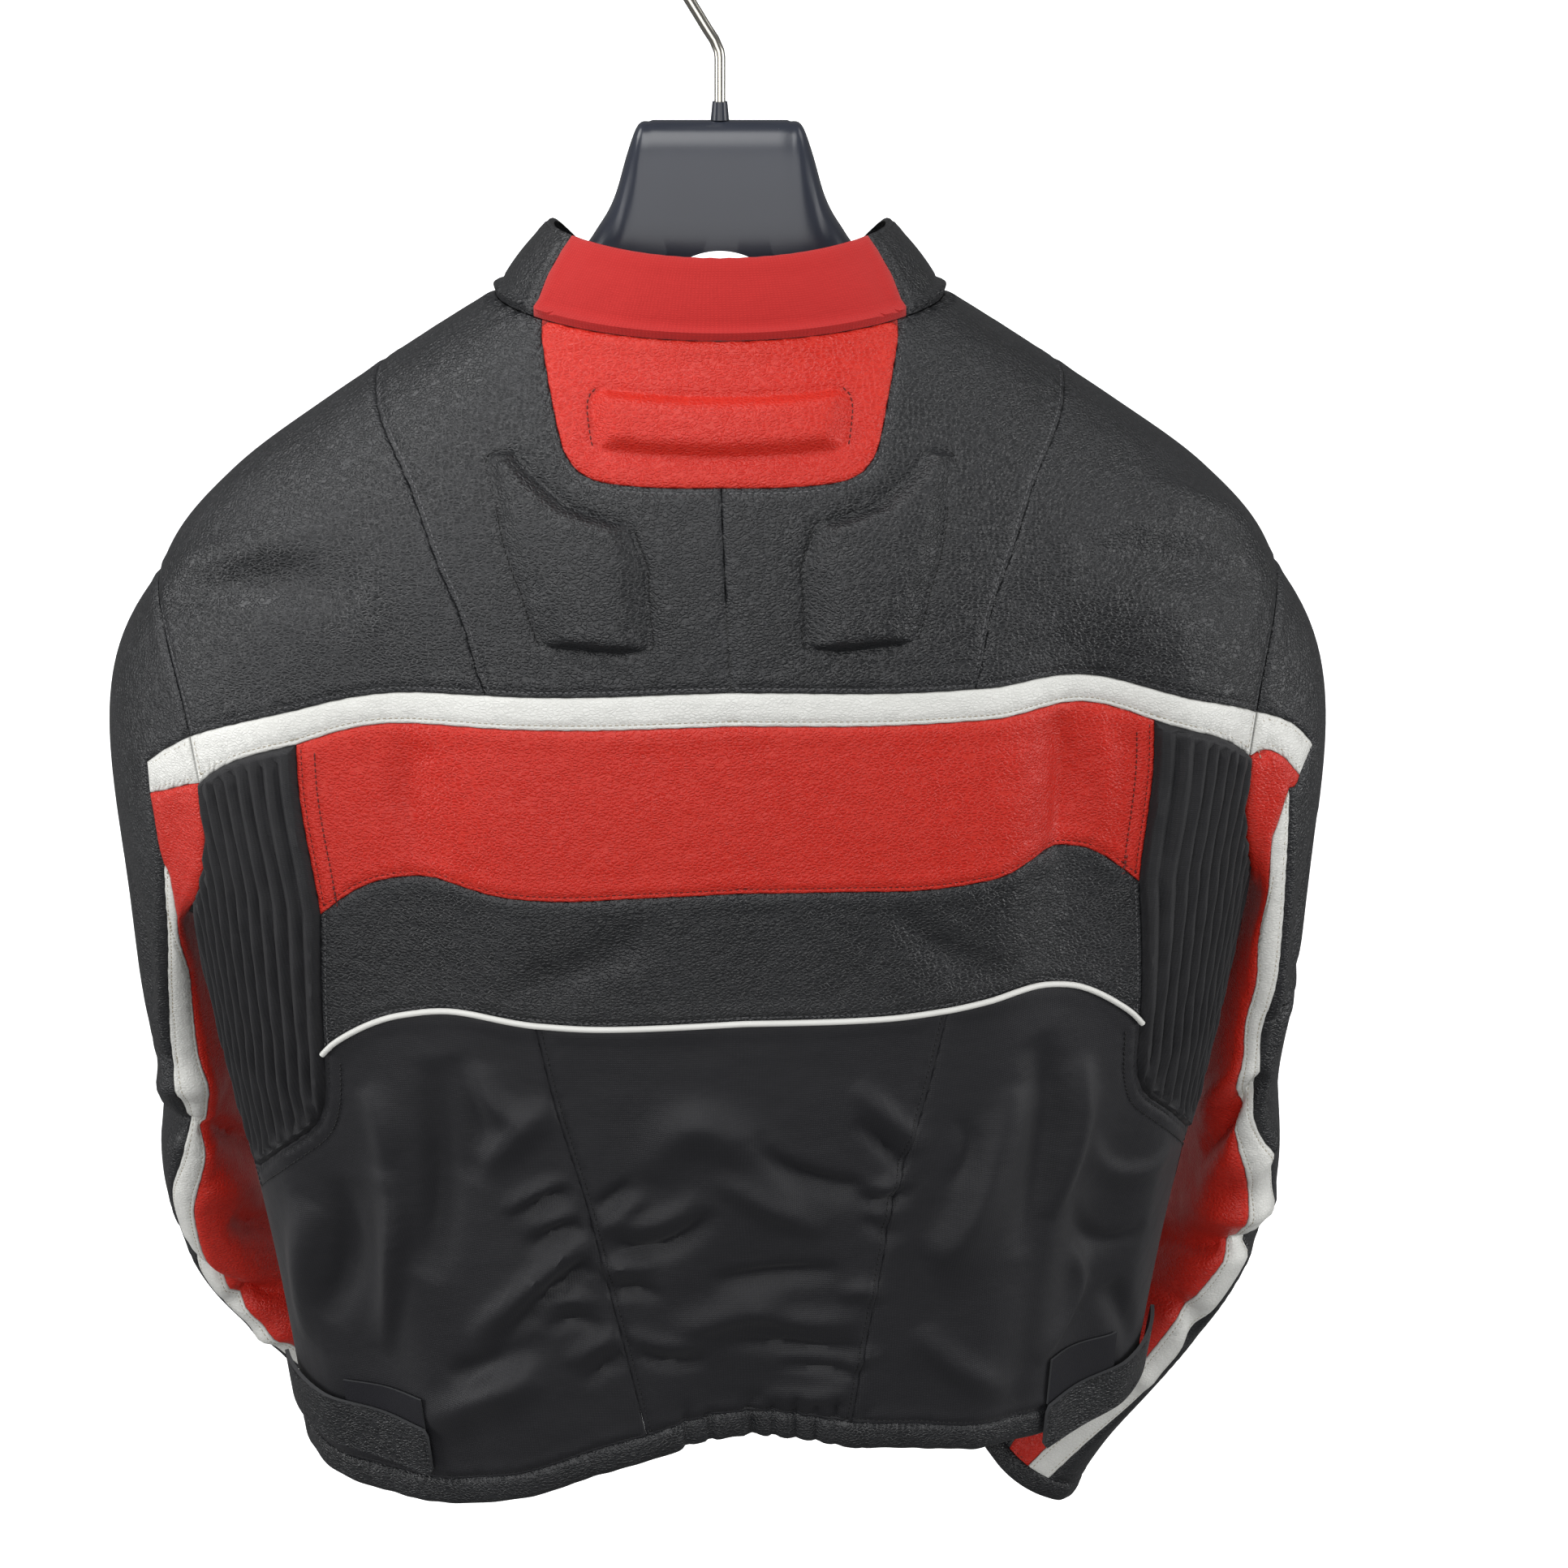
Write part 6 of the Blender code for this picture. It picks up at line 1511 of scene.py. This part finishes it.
class JacketColours(bpy.types.PropertyGroup):
    """Colours of the dyes, yarns, plastics and metals."""
    black_hide: tint("Black leather", "Dye of the black leather", "#161719")
    # The worn black tone is partly wear and partly a painted highlight along the seams.
    worn_and_seam_highlight_black: tint("Worn black leather", "Black leather where it is rubbed", "#27282b")
    # Painted highlight: the grain tone paints the folds between the black pebbles paler, for light caught on
    # their edges.
    grain_fold_highlight_black: tint("Grain of black leather", "Black leather's folds between pebbles", "#2c2d30")
    red_hide: tint("Red leather", "Dye of the red leather", "#c0241a")
    # The worn red tone is partly wear and partly a painted highlight along the seams.
    worn_and_seam_highlight_red: tint("Worn red leather", "Red leather where it is rubbed", "#c42e22")
    # Painted highlight: the grain tone paints the folds between the red pebbles paler, for light caught on
    # their edges.
    grain_fold_highlight_red: tint("Grain of red leather", "Red leather's folds between pebbles", "#cc3a2c")
    white_hide: tint("White leather", "Coating of the white leather", "#e4e4e0")
    worn_white: tint("Worn white leather", "White leather where it is handled", "#cfcfca")
    textile: tint("Woven textile", "Yarn of the lower back", "#0a0a10")
    textile_pale: tint("Raised yarn", "Tops of the yarns of the black textiles", "#17171e")
    accordion: tint("Accordion textile", "Yarn of the stretch panels", "#0b0b0f")
    knit: tint("Knit", "Yarn of the red collar", "#ac1715")
    knit_pale: tint("Raised knit", "Tops of the red knit's loops", "#c0231e")
    slate: tint("Slate plastic", "Pigment of the hanger", "#262932")
    slate_pale: tint("Slate plastic, handled", "The hanger where it is handled", "#30343e")
    wire: tint("Plated wire", "Plating of the hook", "#c4c0b8")
    zip_metal: tint("Zip metal", "Finish of the slider and the pull", "#8a8a8c")
    thread_black: tint("Black thread", "Thread on black leather and textile", "#0c0c0d")
    thread_grey: tint("Grey thread", "Thread on the seams of the black leather", "#5c5c5e")
    thread_red: tint("Red thread", "Thread on red leather", "#5c1812")
    thread_white: tint("White thread", "Thread on white leather", "#aaa291")
    cut_edge: tint("Cut leather edge", "Bare edge of a cut strap", "#3c3d3f")
    backdrop: tint("Backdrop", "Paint of the studio's sweep", "#f4f4f4")


class JacketStage(bpy.types.PropertyGroup):
    """Lights of the studio."""
    top_power: power("Top light", "Power of the soft box above", 11.0)
    left_shoulder_power: power("Left shoulder light", "Power of the soft box over the left shoulder", 15.0)
    right_shoulder_power: power("Right shoulder light", "Power of the soft box over the right shoulder", 6.0)
    front_power: power("Front light", "Power of the soft box by the camera", 46.0)
    side_power: power("Side lights", "Power of each soft box at the sides", 24.0)
    surround: bpy.props.FloatProperty(name="Surround", description="Brightness of the white room",
                                      default=0.15, min=0.0, max=3.0)
    sweep_glow: bpy.props.FloatProperty(
        name="Sweep glow", description="Brightness of the sweep's own light", default=0.80, min=0.0, max=3.0)


# Pieces

class JACKET_OT_back_panels(bpy.types.Operator):
    """Neck panel, yokes, shoulders and the bands across the back"""
    bl_idname = "jacket.back_panels"
    bl_label = "Back panels"

    def execute(self, context):
        seams = torso_seams()
        black, red, white = (material(name) for name in (
            "pebbled_cowhide_black", "pebbled_cowhide_red", "coated_cowhide_white"))
        edge = outline(seams, "neck_back.left neck_panel_edge.left -neck_panel_edge.right -neck_back.right")
        relief, rings, on_red = raised_pads("torso", edge[0], [NECK_PAD])
        on_red += shell("neck_panel", "torso", edge, red, relief=relief, rings=rings, step=0.0038)
        on_black, on_white, on_pads = [], [], []
        for side, mirror in SIDES.items():
            edge = outline(
                seams,
                "centre_back.S band_top_inner.S+ princess.S+ -shoulder_inner.S -neck_side.S -neck_corner.S "
                "neck_panel_edge.S+", side,
            )
            relief, rings, rows = raised_pads("torso", edge[0], [np.array(YOKE_PAD) * (mirror, 1)])
            on_pads += rows
            on_black += shell(f"back_yoke_{side}", "torso", edge, black, relief=relief, rings=rings)
            edge = outline(seams, "band_top_outer.S+ -armhole_top.S+ -shoulder_outer.S -princess.S", side)
            on_black += shell(f"shoulder_{side}", "torso", edge, black)
        on_white += shell("chest_band", "torso", outline(
            seams,
            "band_top_inner.left band_top_outer.left armhole_band.left+ -band_low_outer.left+ "
            "-band_low_inner.left+ band_low_inner.right+ band_low_outer.right+ -armhole_band.right+ "
            "-band_top_outer.right -band_top_inner.right",
        ), white)
        on_red += shell("back_band_red", "torso", outline(
            seams,
            "band_low_inner.left red_end.left++ -red_low.left+ red_low.right+ -red_end.right++ "
            "-band_low_inner.right",
        ), red)
        on_black += shell("back_band_black", "torso", outline(
            seams,
            "red_low.left black_end.left+ -piping_outer.left+ -piping_inner.left+ piping_inner.right+ "
            "piping_outer.right+ -black_end.right+ -red_low.right",
        ), black)
        sew("back_stitches_grey", on_black, "grey")
        sew("pad_stitches_black", on_pads, "black")
        sew("back_stitches_red", on_red, "red")
        sew("back_stitches_white", on_white, "white")
        return {"FINISHED"}


class JACKET_OT_lower_back(bpy.types.Operator):
    """Woven lower back, and the white piping above it"""
    bl_idname = "jacket.lower_back"
    bl_label = "Lower back"

    def execute(self, context):
        seams = torso_seams()
        cloth, step = material("woven_polyamide_black"), context.scene.jacket_sizes.textile_step
        rows = shell("lower_back_centre", "torso", outline(
            seams,
            "piping_inner.left lower_seam.left+ hem_back.left+ -hem_back.right+ -lower_seam.right+ "
            "-piping_inner.right",
        ), cloth, step=step)
        for side in SIDES:
            rows += shell(f"lower_back_{side}", "torso", outline(
                seams,
                "piping_outer.S stretch_low.S++ stretch_outer.S++ armhole_low.S+ side_seam.S hem_side.S+ "
                "-lower_seam.S", side,
            ), cloth, step=step)
        sew("lower_back_stitches", rows, "black")
        run = np.concatenate([
            seams["piping_outer.right"][::-1], seams["piping_inner.right"][-2::-1],
            seams["piping_inner.left"][1:], seams["piping_outer.left"][1:],
        ])
        centres, _ = lay("torso", run, PIPING_RADIUS + 0.0003)
        cord = tube_piece("piping_cord", centres, PIPING_RADIUS, material("coated_cord_white"), sides=14)
        stand_for("piping")
        return {"FINISHED"}


class JACKET_OT_stretch_panels(bpy.types.Operator):
    """Accordion panels under the arms: upright ribs that follow the panel's inner edge"""
    bl_idname = "jacket.stretch_panels"
    bl_label = "Stretch panels"

    def execute(self, context):
        seams = torso_seams()
        inner_edge = np.array(RIB_INNER_EDGE)
        down = np.arange(0.205, 0.470, 0.0045)
        for side, mirror in SIDES.items():
            edge = outline(
                seams,
                "band_low_outer.S armhole_stretch.S -stretch_outer.S -stretch_low.S -black_end.S -red_end.S",
                side,
            )
            start = np.interp(down, *inner_edge.T)
            lines = [
                np.column_stack([mirror * (start + number * RIB_PITCH / 8), down]) for number in RIB_LINES
            ]
            rim = edge[0]

            def ribs(places, flat):
                turns = places[:, 0] * mirror - np.interp(places[:, 1], *inner_edge.T)
                # Each rib leans and swells a little differently along its length.
                turns = turns / RIB_PITCH + RIB_LEAN * np.sin(places[:, 1] / RIB_LEAN_LENGTH + turns)
                scale = np.abs(flat).max(axis=0) / np.abs(places).max(axis=0)
                share = np.clip(edge_distance(flat, rim * scale) / RIB_FADE, 0, 1)
                wave = 0.5 - 0.5 * np.cos(2 * np.pi * turns)
                gathered = 1 + RIB_SWELL * np.sin(places[:, 1] / RIB_SWELL_LENGTH + 2.4 * turns)
                return RIB_RELIEF * wave ** 0.5 * share * gathered

            shell(f"stretch_panel_{side}", "torso", edge, material("knitted_polyamide_accordion"),
                  relief=ribs, lines=lines)
        return {"FINISHED"}


class JACKET_OT_fronts(bpy.types.Operator):
    """Front panels, finished plainly"""
    bl_idname = "jacket.fronts"
    bl_label = "Fronts"

    def execute(self, context):
        seams, rows = torso_seams(), []
        for side in SIDES:
            rows += shell(f"front_{side}", "torso", outline(
                seams,
                "neck_front.S zip.S+ hem_front.S+ -side_seam.S+ armhole_front.S+ -shoulder_outer.S+ "
                "-shoulder_inner.S+", side,
            ), material("pebbled_cowhide_black"), step=0.0055)
        sew("front_stitches", rows, "black")
        return {"FINISHED"}


class JACKET_OT_collar(bpy.types.Operator):
    """Stand-up collar: red knit at the back and black leather at the sides"""
    bl_idname = "jacket.collar"
    bl_label = "Collar"

    def execute(self, context):
        seams = torso_seams()

        def roll(places, _):
            above = -places[:, 1]
            ridge, groove = (
                tall * np.exp(-(((above - place) / width) ** 2))
                for tall, place, width in (COLLAR_RIDGE, COLLAR_GROOVE)
            )
            return ridge - groove

        rows = []
        shell("collar_back", "collar", outline(
            seams,
            "neck_back.left neck_corner.left collar_seam.left -collar_back_top.left collar_back_top.right "
            "-collar_seam.right -neck_corner.right -neck_back.right",
        ), material("bonded_knit_red"), thickness=COLLAR_WALL, step=0.0030, relief=roll)
        for side in SIDES:
            rows += shell(f"collar_{side}", "collar", outline(
                seams, "neck_side.S neck_front.S collar_front.S+ -collar_side_top.S+ -collar_seam.S+", side,
            ), material("pebbled_cowhide_black"), thickness=COLLAR_WALL, step=0.0032, relief=roll)
        sew("collar_stitches", rows, "black")
        return {"FINISHED"}


class JACKET_OT_hem(bpy.types.Operator):
    """Leather roll that binds the hem, from one side of the zip round the back to the other"""
    bl_idname = "jacket.hem"
    bl_label = "Hem"

    def execute(self, context):
        seams = torso_seams()
        names = ("hem_front.left", "hem_side.left", "hem_back.left")
        left = np.concatenate([seams[names[0]]] + [seams[name][1:] for name in names[1:]])
        right = np.concatenate([seams["hem_front.right"]] + [
            seams[name.replace("left", "right")][1:] for name in names[1:]
        ])
        rolled_edge("hem_binding", "torso", np.concatenate([left, right[-2::-1]]), HEM_ROLL_HEIGHT,
                    HEM_PINCHES, material("pebbled_cowhide_black"))
        return {"FINISHED"}


class JACKET_OT_straps(bpy.types.Operator):
    """Waist straps on their hook-and-loop patches"""
    bl_idname = "jacket.straps"
    bl_label = "Waist straps"

    def execute(self, context):
        rows = []
        raise_by = PATCH_THICK + 2 * LAY_CLEARANCE + STRAP_THICK
        for side, free, fixed, free_down, fixed_down in STRAPS:
            mirror = SIDES[side]
            around = np.linspace(free, fixed, 60)
            middle = free_down + (fixed_down - free_down) * (around - free) / (fixed - free)
            half = STRAP_WIDTH / 2 * np.clip((around - free) / 1.6 + 0.72, 0, 1)
            edge = self.strip(around, middle - half, middle + half, mirror)
            rows += shell(f"strap_{side}", "torso", (edge, [(0, len(edge) + 1, 0)]),
                          material("pebbled_cowhide_black"), thickness=STRAP_THICK, lift=raise_by,
                          finish=False, step=0.0035, edge_material=material("cut_leather_edge_grey"))
            around = np.linspace(free + 1.0, free + PATCH_REACH, 40)
            middle = np.full_like(around, PATCH_DOWN)
            edge = self.strip(around, middle - PATCH_WIDTH / 2, middle + PATCH_WIDTH / 2, mirror)
            shell(f"strap_patch_{side}", "torso", (edge, []), material("cut_pile_hook_and_loop"),
                  thickness=PATCH_THICK, lift=PATCH_THICK + LAY_CLEARANCE, finish=False,
                  edge_material=material("cut_leather_edge_grey"))
        sew("strap_stitches", rows, "black")
        return {"FINISHED"}

    @staticmethod
    def strip(around, upper, lower, mirror):
        """The outline of a strip, followed round from its upper edge."""
        top = smooth_seam("torso", np.column_stack([around, upper]) * (mirror, 1))
        bottom = smooth_seam("torso", np.column_stack([around, lower])[::-1] * (mirror, 1))
        return np.concatenate([top, bottom])


class JACKET_OT_sleeves(bpy.types.Operator):
    """Sleeves with their bands, stripes and rolled cuffs"""
    bl_idname = "jacket.sleeves"
    bl_label = "Sleeves"

    def execute(self, context):
        pieces = (
            ("band", "white", "band_top+ band_end -band_low+ -top_band"),
            ("red", "red", "band_low fold stripe_top stripe_inner cuff_red+ -red_inner -top_red"),
            ("stripe", "white",
             "stripe_top stripe_inner+ -cuff_stripe -stripe_outer_lower+ -stripe_outer_upper+"),
            ("outer_upper", "black",
             "top_cap band_top band_end fold stripe_outer_upper elbow+ -front_upper+"),
            ("outer_lower", "black", "elbow+ front_lower+ cuff_outer+ -stripe_outer_lower"),
            ("inner", "black", "top_inner inner_front_upper inner_front_lower -cuff_inner+ -red_inner+"),
        )
        hides = {
            "black": "pebbled_cowhide_black", "red": "pebbled_cowhide_red", "white": "coated_cowhide_white",
        }
        rows = {colour: [] for colour in hides}
        for side in SIDES:
            cloth = f"sleeve_{side}"
            seams = sleeve_seams(side)
            for name, colour, names in pieces:
                edge = outline(seams, names)
                rows[colour] += shell(f"{cloth}_{name}", cloth, edge, material(hides[colour]))
            cuff = np.concatenate([
                seams[name][:-1] for name in ("cuff_outer", "cuff_stripe", "cuff_red", "cuff_inner")
            ])
            rolled_edge(f"{cloth}_cuff", cloth, cuff, CUFF_ROLL_HEIGHT, (), material("pebbled_cowhide_black"),
                        closed=True)
        for colour, found in rows.items():
            sew(f"sleeve_stitches_{colour}", found, colour)
        return {"FINISHED"}


class JACKET_OT_zip(bpy.types.Operator):
    """Zip tapes, teeth, slider and pull"""
    bl_idname = "jacket.zip"
    bl_label = "Zip"

    def execute(self, context):
        seams = torso_seams()
        drop = -(LEATHER - ZIP_TAPE) / 2
        origins, frames = [], []
        pitch = context.scene.jacket_sizes.tooth_pitch
        for side, mirror in SIDES.items():
            down = np.concatenate([seams[f"collar_front.{side}"][:0:-1, 1], seams[f"zip.{side}"][:, 1]])
            down = np.interp(np.linspace(0, 1, 160), np.linspace(0, 1, len(down)), down)
            outer = np.column_stack([np.full_like(down, mirror * ZIP_HALF_OPENING), down])
            inner = np.column_stack([np.zeros_like(down), down])
            edge = np.concatenate([outer, inner[::-1]])
            shell(f"zip_tape_{side}", "zip", (edge, []), material("woven_polyester_zip_tape"),
                  thickness=ZIP_TAPE, lift=drop, finish=False)
            at = np.arange(down[0] + 0.004 + (pitch / 2 if mirror > 0 else 0), down[-1] - 0.003, pitch)
            places = np.column_stack([np.full_like(at, mirror * TOOTH_ACROSS), at])
            points, normals = lay("zip", places, drop)
            ahead, _ = lay("zip", places + (0, 0.001), drop)
            way = unit(ahead - points)
            across = unit(np.cross(way, normals))
            origins.append(points)
            frames.append(np.stack([across, way, normals], axis=1))
        corners = np.array([(x, y, z) for x in (-1, 1) for y in (-1, 1) for z in (-0.4, 0.5)]) * TOOTH_HALF
        corners[[1, 3, 5, 7], :2] *= TOOTH_TAPER
        faces = [(0, 1, 3, 2), (4, 6, 7, 5), (0, 4, 5, 1), (2, 3, 7, 6), (0, 2, 6, 4), (1, 5, 7, 3)]
        joined_copies("zip_teeth", (corners, faces), (np.concatenate(origins), np.concatenate(frames)),
                      material("moulded_acetal_zip_teeth"))
        for name in ("zip_slider", "zip_pull"):
            show(name, "cast_zinc_zip_metal")
        return {"FINISHED"}


def show(node, name):
    """Leaves a CAD node showing, with one of these materials."""
    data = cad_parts[node].data
    data.materials.clear()
    data.materials.append(material(name))


class JACKET_OT_hanger(bpy.types.Operator):
    """Moulded hanger with its pierced cap, boss and wire hook"""
    bl_idname = "jacket.hanger"
    bl_label = "Hanger"

    def execute(self, context):
        across = np.concatenate([
            np.linspace(0, HANGER_CAP_HALF_WIDTH, 8), np.linspace(0.036, 0.066, 24),
            np.linspace(0.070, 0.205, 34), np.linspace(0.2075, 0.222, 9),
        ])
        values = read_rows(HANGER_SECTIONS, across)
        values[across <= HANGER_CAP_HALF_WIDTH] = HANGER_SECTIONS[0, 1:]
        rows = np.column_stack([across, values])
        rings = [self.section(row, -1) for row in rows[:0:-1]] + [self.section(row, 1) for row in rows]
        form = loft_piece("hanger_body", rings, material("moulded_abs_slate"))
        for margin, depth, shift in ((0, 0.12, 0), (HANGER_RECESS_MARGIN, 0.04, 0.044)):
            self.pierce(form, margin, depth, shift)
        stand_for("hanger_form")
        show("hanger_boss", "moulded_abs_slate")
        lean = math.radians(HOOK_LEAN)
        start = -math.asin((HOOK_CENTRE - HOOK_START_Z) / HOOK_RADIUS)
        arc = [
            (HOOK_RADIUS * math.cos(angle), 0, HOOK_CENTRE + HOOK_RADIUS * math.sin(angle))
            for angle in np.linspace(start, math.radians(HOOK_END), 60)
        ]
        foot = HANGER_SECTIONS[0, 1] + BOSS_HEIGHT + 0.0001
        up = HOOK_STRAIGHT_TOP
        wire = [(0, 0, z) for z in np.linspace(foot, up - 0.006, 8)] + [(0.0004, 0, up - 0.003)]
        wire.append((HOOK_BEND, 0, up + 0.0025))
        wire.append((HOOK_BEND + HOOK_SLOPE * math.sin(lean), 0, up + 0.0025 + HOOK_SLOPE * math.cos(lean)))
        points = np.array(wire + arc) - (0, 0, HOOK_TO_NECK)
        radii = np.full(len(points), HOOK_WIRE)
        radii[-1] *= 0.6
        hook = tube_piece("hook_wire", points, radii, material("nickel_plated_wire"), sides=24)
        stand_for("hanger_hook")
        return {"FINISHED"}

    @staticmethod
    def section(row, mirror):
        """One upright section of the hanger: a rounded form, narrower at its top."""
        across, top, bottom, half_depth, taper = row
        turns = np.linspace(0, 2 * math.pi, 96, endpoint=False)
        up = signed_power(np.sin(turns), 0.55)
        depth = half_depth * signed_power(np.cos(turns), 0.7) * (1 - taper * (up + 1) / 2)
        middle, half_height = (top + bottom) / 2, (top - bottom) / 2
        high = middle + half_height * up - HOOK_TO_NECK
        return np.column_stack([np.full_like(up, mirror * across), depth, high])

    @staticmethod
    def pierce(form, margin, depth, shift):
        """Cuts an oval through the form, or a shallow one into its back."""
        mesh = bmesh.new()
        bmesh.ops.create_cone(mesh, cap_ends=True, segments=96, radius1=1, radius2=1, depth=depth)
        size = (HANGER_HOLE_HALF_WIDTH + margin, HANGER_HOLE_HALF_HEIGHT + margin, 1, 1)
        place = Matrix.Translation((0, shift, HANGER_HOLE_Z - HOOK_TO_NECK))
        place = place @ Matrix.Rotation(math.radians(90), 4, "X")
        bmesh.ops.transform(mesh, matrix=place @ Matrix.Diagonal(size), verts=mesh.verts)
        data = bpy.data.meshes.new("oval")
        mesh.to_mesh(data)
        mesh.free()
        oval = put("oval", data)
        cut = form.modifiers.new("cut", "BOOLEAN")
        cut.operation, cut.solver, cut.object = "DIFFERENCE", "EXACT", oval
        graph = bpy.context.evaluated_depsgraph_get()
        finished = bpy.data.meshes.new_from_object(form.evaluated_get(graph))
        form.modifiers.clear()
        form.data = finished
        form.data.shade_smooth()
        form.data.set_sharp_from_angle(angle=math.radians(40))
        bpy.data.objects.remove(oval)


class JACKET_OT_stage(bpy.types.Operator):
    """Pale sweep, soft lights and the camera at the photo's angle"""
    bl_idname = "jacket.stage"
    bl_label = "Stage"

    def execute(self, context):
        scene, settings = context.scene, context.scene.jacket_stage
        turn = np.linspace(0, math.pi / 2, 24)
        profile = [(-0.5, -1.45)] + [(-2.4 - 0.8 * math.sin(a), -0.65 - 0.8 * math.cos(a)) for a in turn]
        profile.append((-3.2, 1.6))
        points = [(x, y, z) for y, z in profile for x in (-1.8, 1.8)]
        faces = [(2 * i, 2 * i + 1, 2 * i + 3, 2 * i + 2) for i in range(len(profile) - 1)]
        data = bpy.data.meshes.new("studio_sweep")
        data.from_pydata(points, [], faces)
        data.shade_smooth()
        data.materials.append(material("painted_studio_sweep"))
        glow = data.materials[0].node_tree.nodes["Principled BSDF"].inputs
        glow["Emission Color"].default_value = (1, 1, 1, 1)
        glow["Emission Strength"].default_value = settings.sweep_glow
        sweep = put("studio_sweep", data)
        # The glowing sweep lights the part but leaves no white glare on edges turned from the camera.
        sweep.visible_glossy = False
        for name, (place, size, setting) in SOFT_BOXES.items():
            lamp = bpy.data.lights.new(name, "AREA")
            lamp.shape, lamp.size, lamp.energy = "SQUARE", size, getattr(settings, setting)
            light = put(name, lamp)
            light.location = place
            light.rotation_euler = (Vector(LIGHTS_AIM) - Vector(place)).to_track_quat("-Z", "Y").to_euler()
        world = bpy.data.worlds.new("white_room")
        world.use_nodes = True
        room = world.node_tree.nodes["Background"].inputs
        room["Color"].default_value = (1, 1, 1, 1)
        room["Strength"].default_value = settings.surround
        scene.world = world
        lens = bpy.data.cameras.new("camera")
        lens.lens, lens.sensor_width = CAMERA_LENS, CAMERA_SENSOR
        lens.shift_x, lens.clip_start = CAMERA_SHIFT, 0.05
        camera = put("camera", lens)
        pitch = math.radians(CAMERA_PITCH)
        camera.matrix_world = Matrix((
            (-1, 0, 0, 0),
            (0, -math.sin(pitch), math.cos(pitch), CAMERA_BACK),
            (0, math.cos(pitch), math.sin(pitch), CAMERA_UP),
            (0, 0, 0, 1),
        ))
        scene.camera = camera
        scene.view_settings.view_transform = "Standard"
        return {"FINISHED"}


OPERATORS = (
    JACKET_OT_back_panels, JACKET_OT_lower_back, JACKET_OT_stretch_panels, JACKET_OT_fronts, JACKET_OT_collar,
    JACKET_OT_hem, JACKET_OT_straps, JACKET_OT_sleeves, JACKET_OT_zip, JACKET_OT_hanger, JACKET_OT_stage,
)
GROUPS = {"jacket_sizes": JacketSizes, "jacket_colours": JacketColours, "jacket_stage": JacketStage}


class JACKET_PT_panel(bpy.types.Panel):
    """Everything that the add-on makes, and what can be set"""
    bl_idname = "JACKET_PT_panel"
    bl_label = "Motorcycle jacket"
    bl_space_type = "VIEW_3D"
    bl_region_type = "UI"
    bl_category = "Jacket"

    def draw(self, context):
        for name, group in GROUPS.items():
            box = self.layout.box()
            for setting in group.__annotations__:
                box.prop(getattr(context.scene, name), setting)
        for operator in OPERATORS:
            self.layout.operator(operator.bl_idname)


def register():
    for name, group in GROUPS.items():
        bpy.utils.register_class(group)
        setattr(bpy.types.Scene, name, bpy.props.PointerProperty(type=group))
    for made in (*OPERATORS, JACKET_PT_panel):
        bpy.utils.register_class(made)


def unregister():
    for made in (JACKET_PT_panel, *reversed(OPERATORS)):
        bpy.utils.unregister_class(made)
    for name, group in reversed(GROUPS.items()):
        delattr(bpy.types.Scene, name)
        bpy.utils.unregister_class(group)


def main():
    register()
    for operator in OPERATORS:
        family, name = operator.bl_idname.split(".")
        getattr(getattr(bpy.ops, family), name)()
    bpy.context.view_layer.update()


if __name__ == "__main__":
    main()
